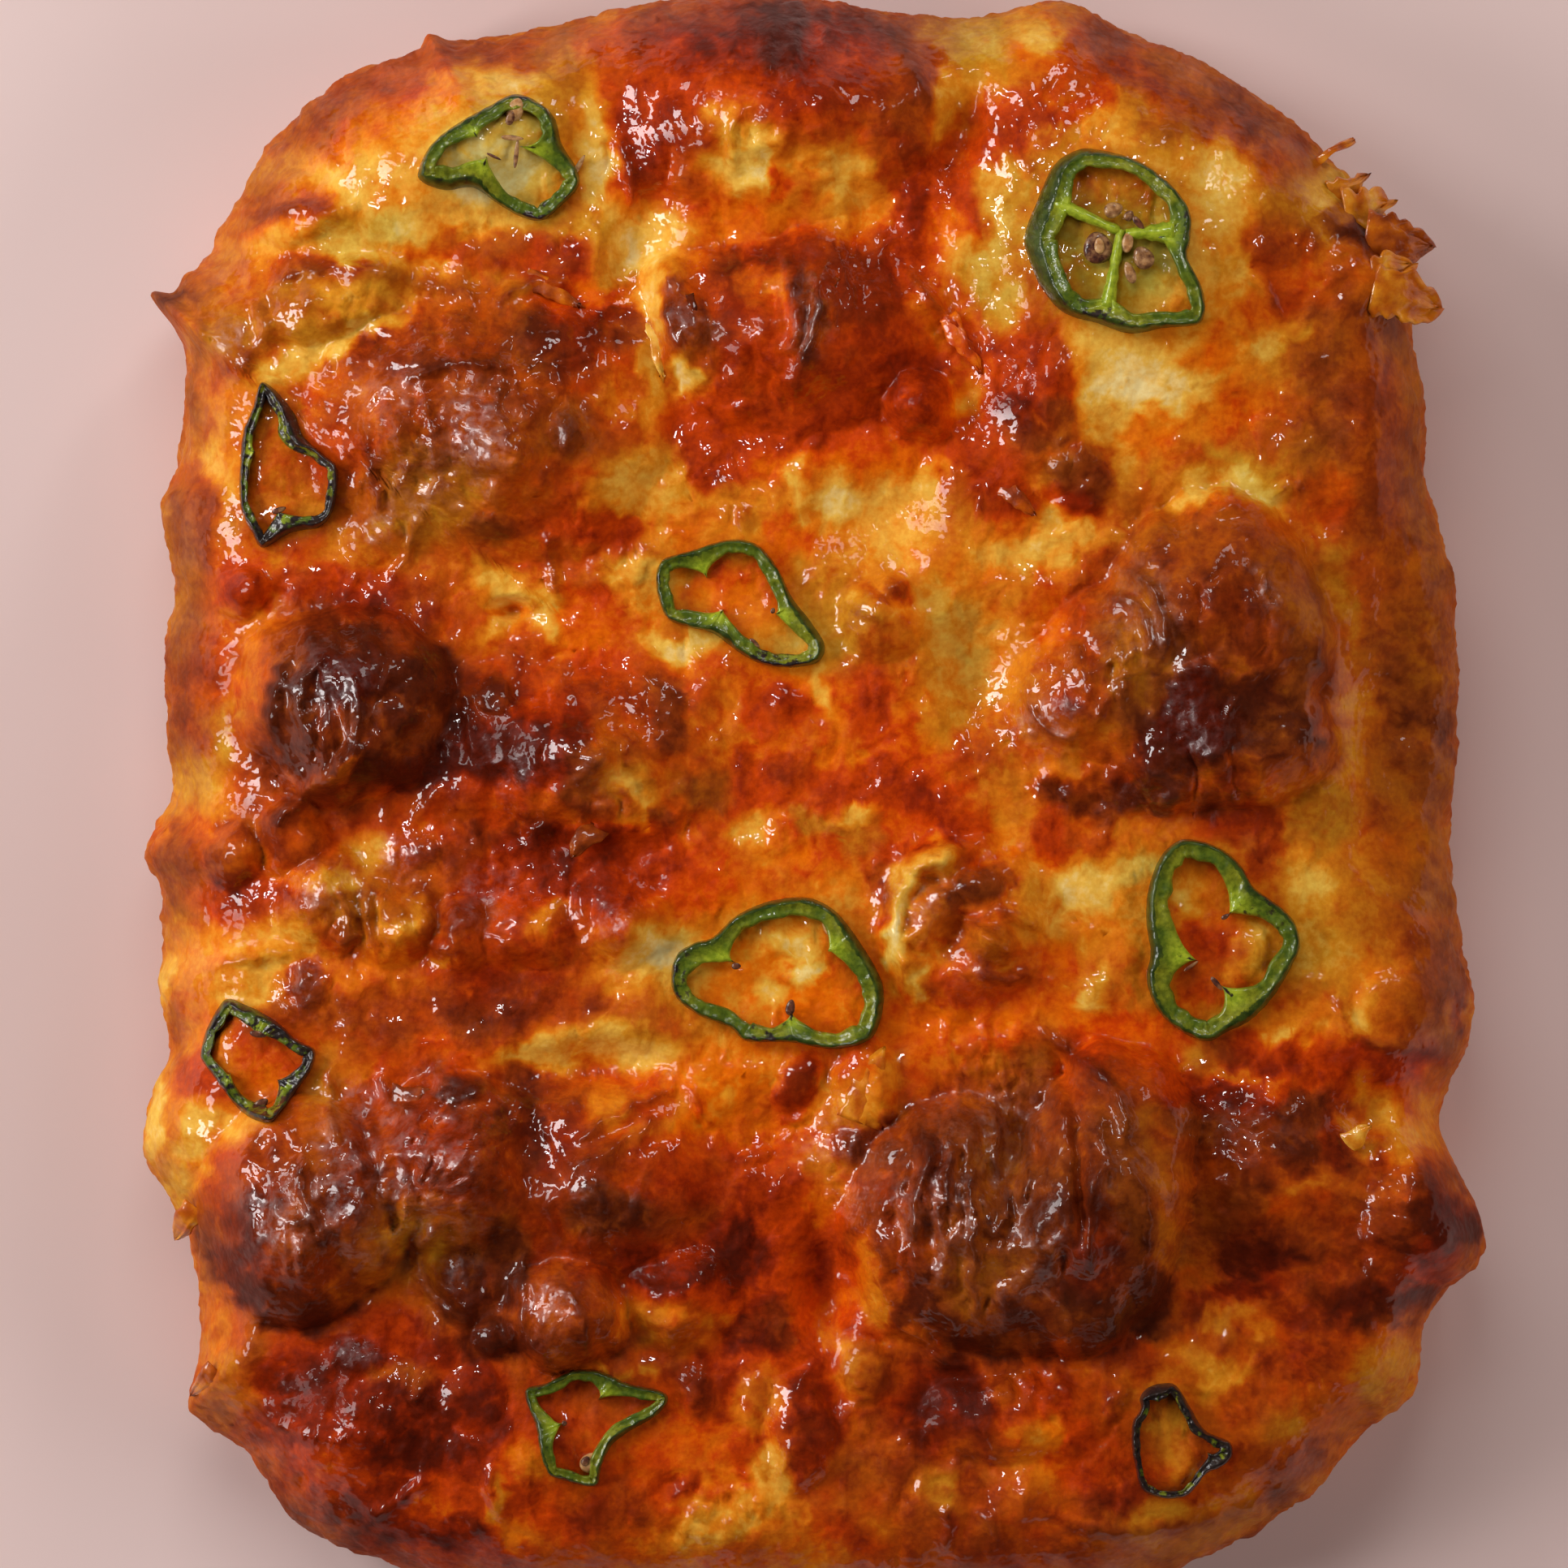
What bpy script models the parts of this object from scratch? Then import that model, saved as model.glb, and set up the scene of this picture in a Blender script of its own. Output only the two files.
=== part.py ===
"""A blistered focaccia: one loaf with nine jalapeno rings lying in its crust.

The loaf is one solid. Its outline is a rounded rectangle with lobes and notches, and its top is a low crown
that carries swells, domed bubbles and hollows. Each pepper ring is a closed band that follows the crust.
All sizes below are millimetres, and the helper metres() turns them into Blender's metres. +X is the right side
of the loaf, +Y its far end and +Z is up.
"""

import math

import bmesh
import bpy
from mathutils import Vector, noise
from mathutils.bvhtree import BVHTree

# Loaf outline
HALF_WIDTH = 96.0
HALF_LENGTH = 119.0
CORNER_POWER = 3.7

# Loaf heights
RIM_TOP = 33.0
CROWN_TOP = 40.0
WIDEST_HEIGHT = 13.0
SHOULDER_RUN = 15.0
BASE_INSET = 7.0
CREASE_POWER = 5.0
LOBE_SHARE_AT_BASE = 0.3
UNEVEN_HEIGHT = 1.1
UNEVEN_SPAN = 14.0

# Loaf mesh
ROWS_ACROSS = 46
ROWS_ALONG = 56
SHOULDER_ANGLES = (24, 44, 62, 77, 90)
UNDERSIDE_ANGLES = (38, 68, 90)

# Where the finished part's box is centred before it is moved onto the origin
BOX_CENTRE_X = 0.25
BOX_CENTRE_Y = 0.55

# Pepper rings
RING_STATIONS = 40
RING_GAP = 0.35
LIFT_STEP = 0.15
RING_CROWN = 0.35
RING_LEAN = 0.3
SEED_SIZE = (3.8, 2.7, 1.5)

# Lobes and notches of the outline: direction in degrees, spread in degrees, millimetres outward
LOBES = (
    (28, 6, -4.6),
    (38, 5, -3.0),
    (43, 1.0, 1.6),
    (48, 3, -1.6),
    (51.5, 2.5, -1.5),
    (57, 7, -4.4),
    (66, 5, -1.8),
    (73, 3, 2.4),
    (80, 7, -2.2),
    (94, 8, 1.2),
    (112, 7, -3.2),
    (116.4, 0.8, 2.0),
    (140.8, 2.4, 4.2),
    (142.4, 0.8, 4.8),
    (150, 4, -1.4),
    (155, 2.2, 1.4),
    (162.5, 2.5, -1.6),
    (178, 3, -1.6),
    (184, 2.6, 3.0),
    (195.5, 2.0, 1.2),
    (201, 1.5, -1.2),
    (207, 4.2, 4.8),
    (216, 3, -1.0),
    (224, 1.0, 2.0),
    (225, 3, 5.0),
    (234, 6, 3.2),
    (301, 6, -2.0),
    (310, 3, -1.6),
    (316, 3, 2.6),
    (326.5, 4.0, 7.6),
    (333.5, 3.2, -2.6),
    (342.5, 4, 3.0),
    (357, 6, -1.4),
)

# Broad swells of the crust: x, y, half-width, half-length, turn in degrees, height
SWELLS = (
    (-55, 96, 28, 15, 30, 5.0),
    (48, 79, 33, 35, 0, 6.0),
    (33, 58, 13, 17, 0, 4.0),
    (-68, -92, 16, 12, 25, 4.0),
    (67, -55, 16, 16, 0, 6.0),
    (84, 56, 9, 18, 0, 3.0),
    (83, 84, 9, 14, 20, 3.5),
    (-42, -96, 22, 10, 0, 2.5),
    (-26, -18.5, 7, 7, 0, 2.5),
    (-67, -49, 8, 8, 0, 3.0),
    (-51, -52, 7, 7, 0, 2.4),
    (-76, -66, 7, 7, 0, 2.0),
    (-62, 54, 6, 6, 0, 2.0),
    (-43.5, 50, 7, 7.5, 0, 3.2),
    (-33, 8, 6, 6, 0, 2.0),
    (52, 28, 6, 7, 0, 1.6),
    (-65, -60, 9, 13, 0, 4.0),
    (38, -58, 10, 20, 0, 3.0),
    (-47, -60, 9, 10, 0, 2.0),
)

# Bubbles, blisters and short folds: x, y, half-width, half-length, turn in degrees, height
BUBBLES = (
    (-4, 103, 24, 17, 0, 8.0),
    (-48, 56, 28, 21, -5, 10.5),
    (-2, 70, 21, 16, 0, 9.5),
    (-19, 72, 6, 9, 20, 7.0),
    (16, 60, 6, 6, 0, 7.5),
    (-76, 86, 10, 3.5, 15, 3.0),
    (-71, 75, 12, 4.5, 25, 4.0),
    (-68, 15, 17, 16, 0, 13.0),
    (-37, 7, 24, 14, -5, 8.0),
    (-84, 31, 4.5, 4.5, 0, 3.5),
    (-76, -5, 6, 6, 0, 4.5),
    (-86, -8, 5, 5, 0, 4.0),
    (11, 28, 6, 8, 0, 4.0),
    (55, 23, 23, 23, 0, 14.0),
    (-72, -14, 7, 8, 0, 5.0),
    (-62, -18, 7, 7, 0, 5.0),
    (-52, -19, 6, 6, 0, 4.5),
    (-42, -19, 8, 6, 0, 4.0),
    (-29, -17, 7, 8, 0, 4.0),
    (23, -18, 12, 13, 0, 5.5),
    (-76, -61, 15, 17, 0, 12.0),
    (-53, -53, 15, 14, 0, 11.0),
    (-31, -56, 17, 15, 0, 8.0),
    (-37, -76, 10, 8, 0, 9.0),
    (-19, -73, 9, 8, 0, 5.5),
    (32, -60, 27, 22, 0, 16.0),
    (8, -42, 5, 7, 0, 4.0),
    (91, -65, 10, 14, 0, 4.0),
    (-2, -93, 4.5, 8.5, 0, 4.0),
    (30, -91, 14, 7, 0, 4.0),
    (32, -101, 6, 6, 0, 3.0),
)

# Hollows and valleys: x, y, half-width, half-length, turn in degrees, depth
HOLLOWS = (
    (10, 43, 16, 10, 0, 4.5),
    (-25, 83, 7, 14, -20, 4.0),
    (22, 100, 6, 12, -15, 4.0),
    (-43, 28, 4.5, 3.5, 0, 2.5),
    (25, 20, 9, 16, 0, 4.0),
    (86, 11, 13, 42, 0, 8.0),
    (-34, -39, 20, 6, 5, 4.5),
    (21, -19, 6, 7, 0, 4.0),
    (-6, -48, 11, 10, 0, 3.0),
    (82, -46, 7, 8, 0, 4.5),
    (2, -72, 7, 13, 0, 5.0),
    (-94, -3, 6, 8, 0, 3.0),
)

# Pepper rings. Each has its middle, the points of its outer edge round that middle, its wall and height,
# spurs of the cut ribs as direction in degrees and length, ribs that cross it as pairs of points round the middle,
# and seeds as x, y and turn round the middle.
RINGS = (
    dict(
        middle=(-46, 96),
        edge=(
            (2, 9), (6, 7.5), (8.5, 3.5), (12, -3.5), (11.5, -6), (6, -10),
            (1.5, -9), (-2.5, -6), (-8.5, -5.5), (-12, -4), (-12, -2), (-5, 5.5),
        ),
        wall=2.2, height=3.2,
        spurs=((190, 3.0), (5, 3.0), (150, 2.0)),
        ribs=(), seeds=((2.0, 6.2, 80),),
    ),
    dict(
        middle=(45, 83),
        edge=(
            (-2.5, 14), (4, 11.5), (9.5, 7.5), (11.5, 3.5), (11, -1.5), (13.5, -8.5),
            (12, -12), (1.5, -13.5), (-6, -11), (-11, -7), (-14, -1), (-9, 11.5), (-6, 13.5),
        ),
        wall=2.8, height=4.2,
        spurs=(),
        ribs=(
            ((-9.0, 7.5), (0.5, 1.5)),
            ((0.5, 2.5), (-0.8, -11.5)),
            ((-0.5, 1.0), (9.5, 1.0)),
        ),
        seeds=(
            (-2.2, -0.8, 100), (-0.3, 4.2, 20), (2.4, 2.6, 60),
            (2.2, 0.2, 160), (1.8, -2.6, 120), (-1.6, -4.2, 30),
        ),
    ),
    dict(
        middle=(-77.5, 50),
        edge=(
            (-3.5, 12.5), (-1, 11), (2.5, 4), (7, 0.5), (7.5, -3.5), (6, -8),
            (0.5, -10), (-4, -12), (-7, -6.5), (-6.5, 5), (-4.5, 11),
        ),
        wall=1.9, height=3.0,
        spurs=((195, 2.2), (262, 2.5)),
        ribs=(), seeds=(),
    ),
    dict(
        middle=(-11, 29.5),
        edge=(
            (-11, 6.5), (-6.5, 8), (-1.5, 9.5), (3, 9), (6, 5.5), (8.5, 0.5), (13, -6),
            (12, -9), (6, -9), (0.5, -7.5), (-3.5, -4.5), (-10.5, -2), (-12, 3),
        ),
        wall=2.2, height=3.2,
        spurs=((210, 3.0), (100, 2.0), (330, 1.8)),
        ribs=(), seeds=(),
    ),
    dict(
        middle=(-5, -24.5),
        edge=(
            (-16, -1.5), (-15, 2.5), (-10.5, 4.5), (-6, 8.5), (-0.5, 10.5), (5, 10.5),
            (10, 8), (16, -4), (14.5, -9.5), (9, -12), (-4.5, -10.5), (-9, -8), (-13.5, -6),
        ),
        wall=2.3, height=3.4,
        spurs=((150, 3.0), (40, 2.6), (280, 3.2)),
        ribs=(), seeds=((7.2, 6.8, 150),),
    ),
    dict(
        middle=(60.5, -20),
        edge=(
            (-6, 14.5), (-2, 14.5), (1.5, 12.5), (5, 8), (11, 3), (11.5, -1), (10, -6),
            (4.5, -12), (-2, -15.5), (-7, -13), (-10, -9), (-11, 1), (-9, 12),
        ),
        wall=2.5, height=3.6,
        spurs=((85, 3.0), (190, 4.0), (255, 3.0)),
        ribs=(), seeds=(),
    ),
    dict(
        middle=(-82, -38),
        edge=(
            (-5.5, 9), (-2.5, 9), (3, 7), (6, 3.5), (8.5, 1.5), (7, -2.5),
            (2.5, -9), (-1, -8.5), (-3.5, -6), (-8, 0), (-8, 4),
        ),
        wall=1.9, height=3.0,
        spurs=((110, 2.0), (215, 2.0), (310, 2.6)),
        ribs=(), seeds=(),
    ),
    dict(
        middle=(-32, -92),
        edge=(
            (-10.5, 5), (-6.5, 6), (-3, 8), (1, 8), (5, 6.5), (10.5, 5), (9.5, 2),
            (3, -2.5), (1, -6.5), (0, -9), (-4, -9), (-7, -8), (-8, -4),
        ),
        wall=1.9, height=2.8,
        spurs=((170, 3.0), (80, 2.4)),
        ribs=(), seeds=((-1.8, -5.8, 90),),
    ),
    dict(
        middle=(54.5, -94),
        edge=(
            (-5.5, 8), (-3, 8.5), (-0.5, 8), (3, 2), (7, 0.5), (7.5, -1.5),
            (6.5, -4), (3, -5.5), (1.5, -7.5), (-1.5, -9), (-6, -7), (-7.5, 1.5),
        ),
        wall=1.6, height=2.8,
        spurs=((150, 2.0), (300, 1.6)),
        ribs=(), seeds=(),
    ),
)


def metres(point):
    return Vector(point) * 0.001


def remove_everything():
    for thing in list(bpy.data.objects):
        bpy.data.objects.remove(thing, do_unlink=True)


def make_material(name, colour, roughness):
    material = bpy.data.materials.new(name)
    material.use_nodes = True
    shader = material.node_tree.nodes["Principled BSDF"]
    shader.inputs["Base Color"].default_value = (*colour, 1.0)
    shader.inputs["Roughness"].default_value = roughness
    shader.inputs["Metallic"].default_value = 0.0
    return material


def object_from(bm, name, material):
    """An object of the finished shape, split into triangles here so that every later step sees the same ones."""
    bmesh.ops.triangulate(bm, faces=bm.faces)
    mesh = bpy.data.meshes.new(name)
    bm.to_mesh(mesh)
    bm.free()
    mesh.materials.append(material)
    mesh.shade_smooth()
    thing = bpy.data.objects.new(name, mesh)
    bpy.context.collection.objects.link(thing)
    return thing


# Shape of the loaf

def outline_radius(angle, lobe_share=1.0):
    """Distance from the middle to the loaf's edge in one direction, with its lobes at full size or less."""
    across = abs(math.cos(angle) / HALF_WIDTH) ** CORNER_POWER
    along = abs(math.sin(angle) / HALF_LENGTH) ** CORNER_POWER
    radius = (across + along) ** (-1.0 / CORNER_POWER)
    for direction, spread, outward in LOBES:
        apart = (math.degrees(angle) - direction + 180.0) % 360.0 - 180.0
        radius += lobe_share * outward * math.exp(-((apart / spread) ** 2))
    return radius


def off_centre(x, y, form):
    """How far a point lies out in an oval: 0 at its middle and 1 at its edge."""
    turn = math.radians(form[4])
    dx = x - form[0]
    dy = y - form[1]
    across = dx * math.cos(turn) + dy * math.sin(turn)
    along = dy * math.cos(turn) - dx * math.sin(turn)
    return math.hypot(across / form[2], along / form[3])


def soft_bump(distance):
    return math.cos(0.5 * math.pi * distance) ** 2 if distance < 1.0 else 0.0


def steep_dome(distance):
    return (1.0 - distance * distance) ** 0.7 if distance < 1.0 else 0.0


def crust_height(x, y):
    """Height of the top crust, before the shoulder rounds it down."""
    across = abs(x / HALF_WIDTH) ** CORNER_POWER
    along = abs(y / HALF_LENGTH) ** CORNER_POWER
    outward = min(1.0, (across + along) ** (1.0 / CORNER_POWER))
    height = RIM_TOP + (CROWN_TOP - RIM_TOP) * (1.0 - outward ** 2)
    height += UNEVEN_HEIGHT * noise.noise(Vector((x, y, 0.0)) / UNEVEN_SPAN)
    for form in SWELLS:
        height += form[5] * soft_bump(off_centre(x, y, form))
    for form in HOLLOWS:
        height -= form[5] * soft_bump(off_centre(x, y, form))
    lifts = [form[5] * steep_dome(off_centre(x, y, form)) for form in BUBBLES]
    return height + sum(lift ** CREASE_POWER for lift in lifts) ** (1.0 / CREASE_POWER)


def outline_direction(u, v):
    """Direction in the loaf of a point of the square grid that is drawn over it."""
    return math.atan2(v * HALF_LENGTH, u * HALF_WIDTH)


def make_loaf(material):
    bm = bmesh.new()
    bmesh.ops.create_grid(bm, x_segments=ROWS_ACROSS, y_segments=ROWS_ALONG, size=1.0)
    directions = {}
    for vert in bm.verts:
        u, v = vert.co.x, vert.co.y
        reach = max(abs(u), abs(v))
        angle = outline_direction(u, v)
        radius = reach * (outline_radius(angle) - SHOULDER_RUN)
        x, y = radius * math.cos(angle), radius * math.sin(angle)
        directions[vert] = angle
        vert.co = metres((x, y, crust_height(x, y)))

    rim = [edge for edge in bm.edges if edge.is_boundary]
    for degrees in SHOULDER_ANGLES:
        turn = math.radians(degrees)
        rim = extrude_rim(bm, rim, directions, SHOULDER_RUN * (1.0 - math.sin(turn)), math.cos(turn), False)
    for degrees in UNDERSIDE_ANGLES:
        turn = math.radians(degrees)
        rim = extrude_rim(bm, rim, directions, BASE_INSET * (1.0 - math.cos(turn)), 1.0 - math.sin(turn), True)
    bmesh.ops.contextual_create(bm, geom=rim)
    bmesh.ops.recalc_face_normals(bm, faces=bm.faces)
    return object_from(bm, "focaccia_loaf", material)


def extrude_rim(bm, rim, directions, inset, rise, below):
    """Adds one row round the side. rise is 1 at the top of its arc and 0 at the end of it."""
    old = {vert for edge in rim for vert in edge.verts}
    made = bmesh.ops.extrude_edge_only(bm, edges=rim)["geom"]
    new_edges = [part for part in made if isinstance(part, bmesh.types.BMEdge) and part.is_boundary]
    for vert in [part for part in made if isinstance(part, bmesh.types.BMVert)]:
        angle = next(directions[edge.other_vert(vert)] for edge in vert.link_edges if edge.other_vert(vert) in old)
        directions[vert] = angle
        lobe_share = LOBE_SHARE_AT_BASE + (1.0 - LOBE_SHARE_AT_BASE) * rise if below else 1.0
        radius = outline_radius(angle, lobe_share) - inset
        x, y = radius * math.cos(angle), radius * math.sin(angle)
        if below:
            height = WIDEST_HEIGHT * rise
        else:
            height = WIDEST_HEIGHT + (crust_height(x, y) - WIDEST_HEIGHT) * rise
        vert.co = metres((x, y, height))
    return new_edges


# Pepper rings

def smooth_loop(points, stations):
    """Evenly spaced points on a closed curve that passes through every given point."""
    count = len(points)
    fine = []
    for i in range(count):
        before, start, end, after = (Vector(points[(i + k) % count]) for k in (-1, 0, 1, 2))
        for step in range(12):
            t = step / 12.0
            fine.append(
                0.5 * (2.0 * start + (end - before) * t
                       + (2.0 * before - 5.0 * start + 4.0 * end - after) * t ** 2
                       + (3.0 * start - before - 3.0 * end + after) * t ** 3)
            )
    lengths = [0.0]
    for i, point in enumerate(fine):
        lengths.append(lengths[-1] + (fine[(i + 1) % len(fine)] - point).length)
    loop = []
    i = 0
    for station in range(stations):
        target = lengths[-1] * station / stations
        while lengths[i + 1] < target:
            i += 1
        share = (target - lengths[i]) / (lengths[i + 1] - lengths[i])
        loop.append(fine[i].lerp(fine[(i + 1) % len(fine)], share))
    return loop


def rest_height(crust, x, y, reach=1.2):
    """Highest crust near a point, with the gap that keeps two touching solids apart."""
    tops = []
    for dx, dy in ((0, 0), (reach, 0), (-reach, 0), (0, reach), (0, -reach)):
        hit = crust.ray_cast(metres((x + dx, y + dy, 200.0)), Vector((0.0, 0.0, -1.0)))[0]
        if hit is not None:
            tops.append(hit.z * 1000.0)
    return max(tops) + RING_GAP


def spur_length(spurs, place):
    """How far the inner wall reaches in towards the middle at one station."""
    length = 0.0
    for direction, reach in spurs:
        apart = (math.degrees(math.atan2(place.y, place.x)) - direction + 180.0) % 360.0 - 180.0
        length = max(length, reach * max(0.0, 1.0 - abs(apart) / 16.0))
    return length


def join_sections(bm, sections, closed):
    """Faces between neighbouring sections of a band, each a loop of points in millimetres."""
    loops = [[bm.verts.new(metres(point)) for point in section] for section in sections]
    size = len(loops[0])
    pairs = len(loops) if closed else len(loops) - 1
    for i in range(pairs):
        here, there = loops[i], loops[(i + 1) % len(loops)]
        for k in range(size):
            bm.faces.new((here[k], there[k], there[(k + 1) % size], here[(k + 1) % size]))
    if not closed:
        bm.faces.new(loops[0])
        bm.faces.new(reversed(loops[-1]))
    bmesh.ops.recalc_face_normals(bm, faces=bm.faces)


def make_band(name, ring, crust, material):
    """The closed wall of one pepper slice, with the stubs of its ribs."""
    middle = Vector(ring["middle"])
    loop = smooth_loop(ring["edge"], RING_STATIONS)
    sections = []
    for i, place in enumerate(loop):
        along = (loop[(i + 1) % len(loop)] - loop[i - 1]).normalized()
        inward = Vector((along.y, -along.x))
        if inward.dot(place) > 0.0:
            inward = -inward
        outer = middle + place
        inner = outer + inward * (ring["wall"] + spur_length(ring["spurs"], place))
        low_outer = rest_height(crust, outer.x, outer.y)
        low_inner = rest_height(crust, inner.x, inner.y)
        crown = 0.5 * (low_outer + low_inner) + ring["height"]
        lean = inward * RING_LEAN
        top_outer = outer + lean
        top_inner = inner - lean
        ridge = outer + inward * 0.5 * ring["wall"]
        sections.append((
            (outer.x, outer.y, low_outer),
            (top_outer.x, top_outer.y, crown - RING_CROWN),
            (ridge.x, ridge.y, crown),
            (top_inner.x, top_inner.y, crown - RING_CROWN),
            (inner.x, inner.y, low_inner),
        ))
    bm = bmesh.new()
    join_sections(bm, sections, closed=True)
    return object_from(bm, name, material)


def make_rib(ring, ends, crust, material):
    """A rib that crosses a slice, from wall to middle."""
    start = Vector(ring["middle"]) + Vector(ends[0])
    end = Vector(ring["middle"]) + Vector(ends[1])
    side = (end - start).normalized().orthogonal() * 0.45 * ring["wall"]
    sections = []
    for step in range(6):
        place = start.lerp(end, step / 5.0)
        low = rest_height(crust, place.x, place.y, reach=1.6) + 0.2
        high = low + ring["height"] - 1.0
        left, right = place + side, place - side
        sections.append((
            (left.x, left.y, low), (left.x, left.y, high), (right.x, right.y, high), (right.x, right.y, low),
        ))
    bm = bmesh.new()
    join_sections(bm, sections, closed=False)
    return object_from(bm, "rib", material)


def make_seed(ring, spot, crust, material):
    """A flat oval seed that lies against a rib or the wall."""
    x, y = ring["middle"][0] + spot[0], ring["middle"][1] + spot[1]
    bm = bmesh.new()
    bmesh.ops.create_uvsphere(bm, u_segments=8, v_segments=4, radius=0.5)
    bmesh.ops.scale(bm, vec=metres(SEED_SIZE), verts=bm.verts)
    turn = math.radians(spot[2])
    for vert in bm.verts:
        across, along = vert.co.x, vert.co.y
        vert.co.x = across * math.cos(turn) - along * math.sin(turn)
        vert.co.y = across * math.sin(turn) + along * math.cos(turn)
    low = rest_height(crust, x, y, reach=1.8) + 0.6 * SEED_SIZE[2] + 0.25 * ring["height"]
    bmesh.ops.translate(bm, vec=metres((x, y, low)), verts=bm.verts)
    return object_from(bm, "seed", material)


def fuse(body, additions):
    """One union of the band with its ribs and seeds."""
    if not additions:
        return
    group = bpy.data.collections.new("additions")
    bpy.context.scene.collection.children.link(group)
    for thing in additions:
        group.objects.link(thing)
    union = body.modifiers.new("union", "BOOLEAN")
    union.operation = "UNION"
    union.operand_type = "COLLECTION"
    union.collection = group
    union.solver = "EXACT"
    bpy.context.view_layer.objects.active = body
    bpy.ops.object.modifier_apply(modifier=union.name)
    for thing in additions:
        bpy.data.objects.remove(thing, do_unlink=True)
    bpy.data.collections.remove(group)


def make_pepper_ring(number, ring, crust, material):
    body = make_band(f"pepper_ring_{number}", ring, crust, material)
    additions = [make_rib(ring, ends, crust, material) for ends in ring["ribs"]]
    additions += [make_seed(ring, spot, crust, material) for spot in ring["seeds"]]
    fuse(body, additions)
    lift_clear(body, crust)
    return body


def surface_of(thing, lower=0.0):
    """The triangles of an object, ready for rays and overlap tests, moved down a little if asked."""
    bm = bmesh.new()
    bm.from_mesh(thing.data)
    bmesh.ops.triangulate(bm, faces=bm.faces)
    bmesh.ops.translate(bm, vec=metres((0.0, 0.0, -lower)), verts=bm.verts)
    surface = BVHTree.FromBMesh(bm)
    bm.free()
    return surface


def lift_clear(body, crust):
    """Raises a ring in small steps until it clears the crust by the gap."""
    while surface_of(body, lower=0.6 * RING_GAP).overlap(crust):
        for vert in body.data.vertices:
            vert.co.z += 0.001 * LIFT_STEP


def main():
    remove_everything()
    crust_material = make_material("baked_crust", (0.48, 0.17, 0.03), 0.35)
    loaf = make_loaf(crust_material)
    crust = surface_of(loaf)
    pieces = [loaf]
    for number, ring in enumerate(RINGS, start=1):
        pepper = make_material(f"pepper_{number}", (0.13, 0.17, 0.02), 0.3)
        pieces.append(make_pepper_ring(number, ring, crust, pepper))
    for piece in pieces:
        for vert in piece.data.vertices:
            vert.co -= metres((BOX_CENTRE_X, BOX_CENTRE_Y, 0.0))


main()
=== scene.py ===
import math

import bpy
import numpy as np
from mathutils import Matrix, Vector
from mathutils.bvhtree import BVHTree


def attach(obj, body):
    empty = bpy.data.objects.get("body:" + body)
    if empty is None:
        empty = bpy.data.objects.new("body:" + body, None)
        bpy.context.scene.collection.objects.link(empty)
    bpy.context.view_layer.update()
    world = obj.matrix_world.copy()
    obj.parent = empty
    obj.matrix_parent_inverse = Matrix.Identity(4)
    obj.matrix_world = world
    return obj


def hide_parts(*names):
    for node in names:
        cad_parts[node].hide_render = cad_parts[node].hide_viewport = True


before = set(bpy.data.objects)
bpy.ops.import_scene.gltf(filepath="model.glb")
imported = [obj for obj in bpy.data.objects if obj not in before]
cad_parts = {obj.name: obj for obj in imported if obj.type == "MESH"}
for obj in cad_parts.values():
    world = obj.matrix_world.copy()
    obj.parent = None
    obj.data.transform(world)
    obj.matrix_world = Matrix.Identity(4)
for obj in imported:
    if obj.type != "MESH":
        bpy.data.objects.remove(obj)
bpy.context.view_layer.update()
bpy.ops.object.select_all(action="DESELECT")

# All sizes below are millimetres, and MM turns them into metres.
# +X is the loaf's right side and +Y its far end.
MM = 0.001

# Loaf outline and heights, as in the solid part
HALF_WIDTH = 96.0
HALF_LENGTH = 119.0
CORNER_POWER = 3.7
RIM_TOP = 33.0
CROWN_TOP = 40.0
WIDEST_HEIGHT = 13.0
SHOULDER_RUN = 15.0
BASE_INSET = 7.0
CREASE_POWER = 5.0
LOBE_SHARE_AT_BASE = 0.3

# Middle of the finished bread's box, which comes to lie at the frame's origin
BOX_CENTRE_X = 0.25
BOX_CENTRE_Y = 0.55

# Loaf mesh: quads across and along, of which SIDE_ROWS at each side turn down over shoulder and underside
QUADS_ACROSS = 450
QUADS_ALONG = 540
SIDE_ROWS = 50
UNDERSIDE_SHARE = 0.38
LOAF_TRIANGLES = 174000

# Lobes and notches of the outline: direction in degrees, spread in degrees, outward
LOBES = (
    (28, 6, -4.6), (38, 5, -3.0), (43, 1.0, 1.6), (48, 3, -1.6), (51.5, 2.5, -1.5), (57, 7, -4.4),
    (66, 5, -1.8), (73, 3, 2.4), (80, 7, -2.2), (94, 8, 1.2), (112, 7, -3.2), (116.4, 0.8, 2.0),
    (140.8, 2.4, 4.2), (142.4, 0.8, 4.8), (150, 4, -1.4), (155, 2.2, 1.4), (162.5, 2.5, -1.6),
    (178, 3, -1.6), (184, 2.6, 3.0), (195.5, 2.0, 1.2), (201, 1.5, -1.2), (207, 4.2, 4.8), (216, 3, -1.0),
    (224, 1.0, 2.0), (225, 3, 5.0), (234, 6, 3.2), (301, 6, -2.0), (310, 3, -1.6), (316, 3, 2.6),
    (326.5, 4.0, 7.6), (333.5, 3.2, -2.6), (342.5, 4, 3.0), (357, 6, -1.4),
)

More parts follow.
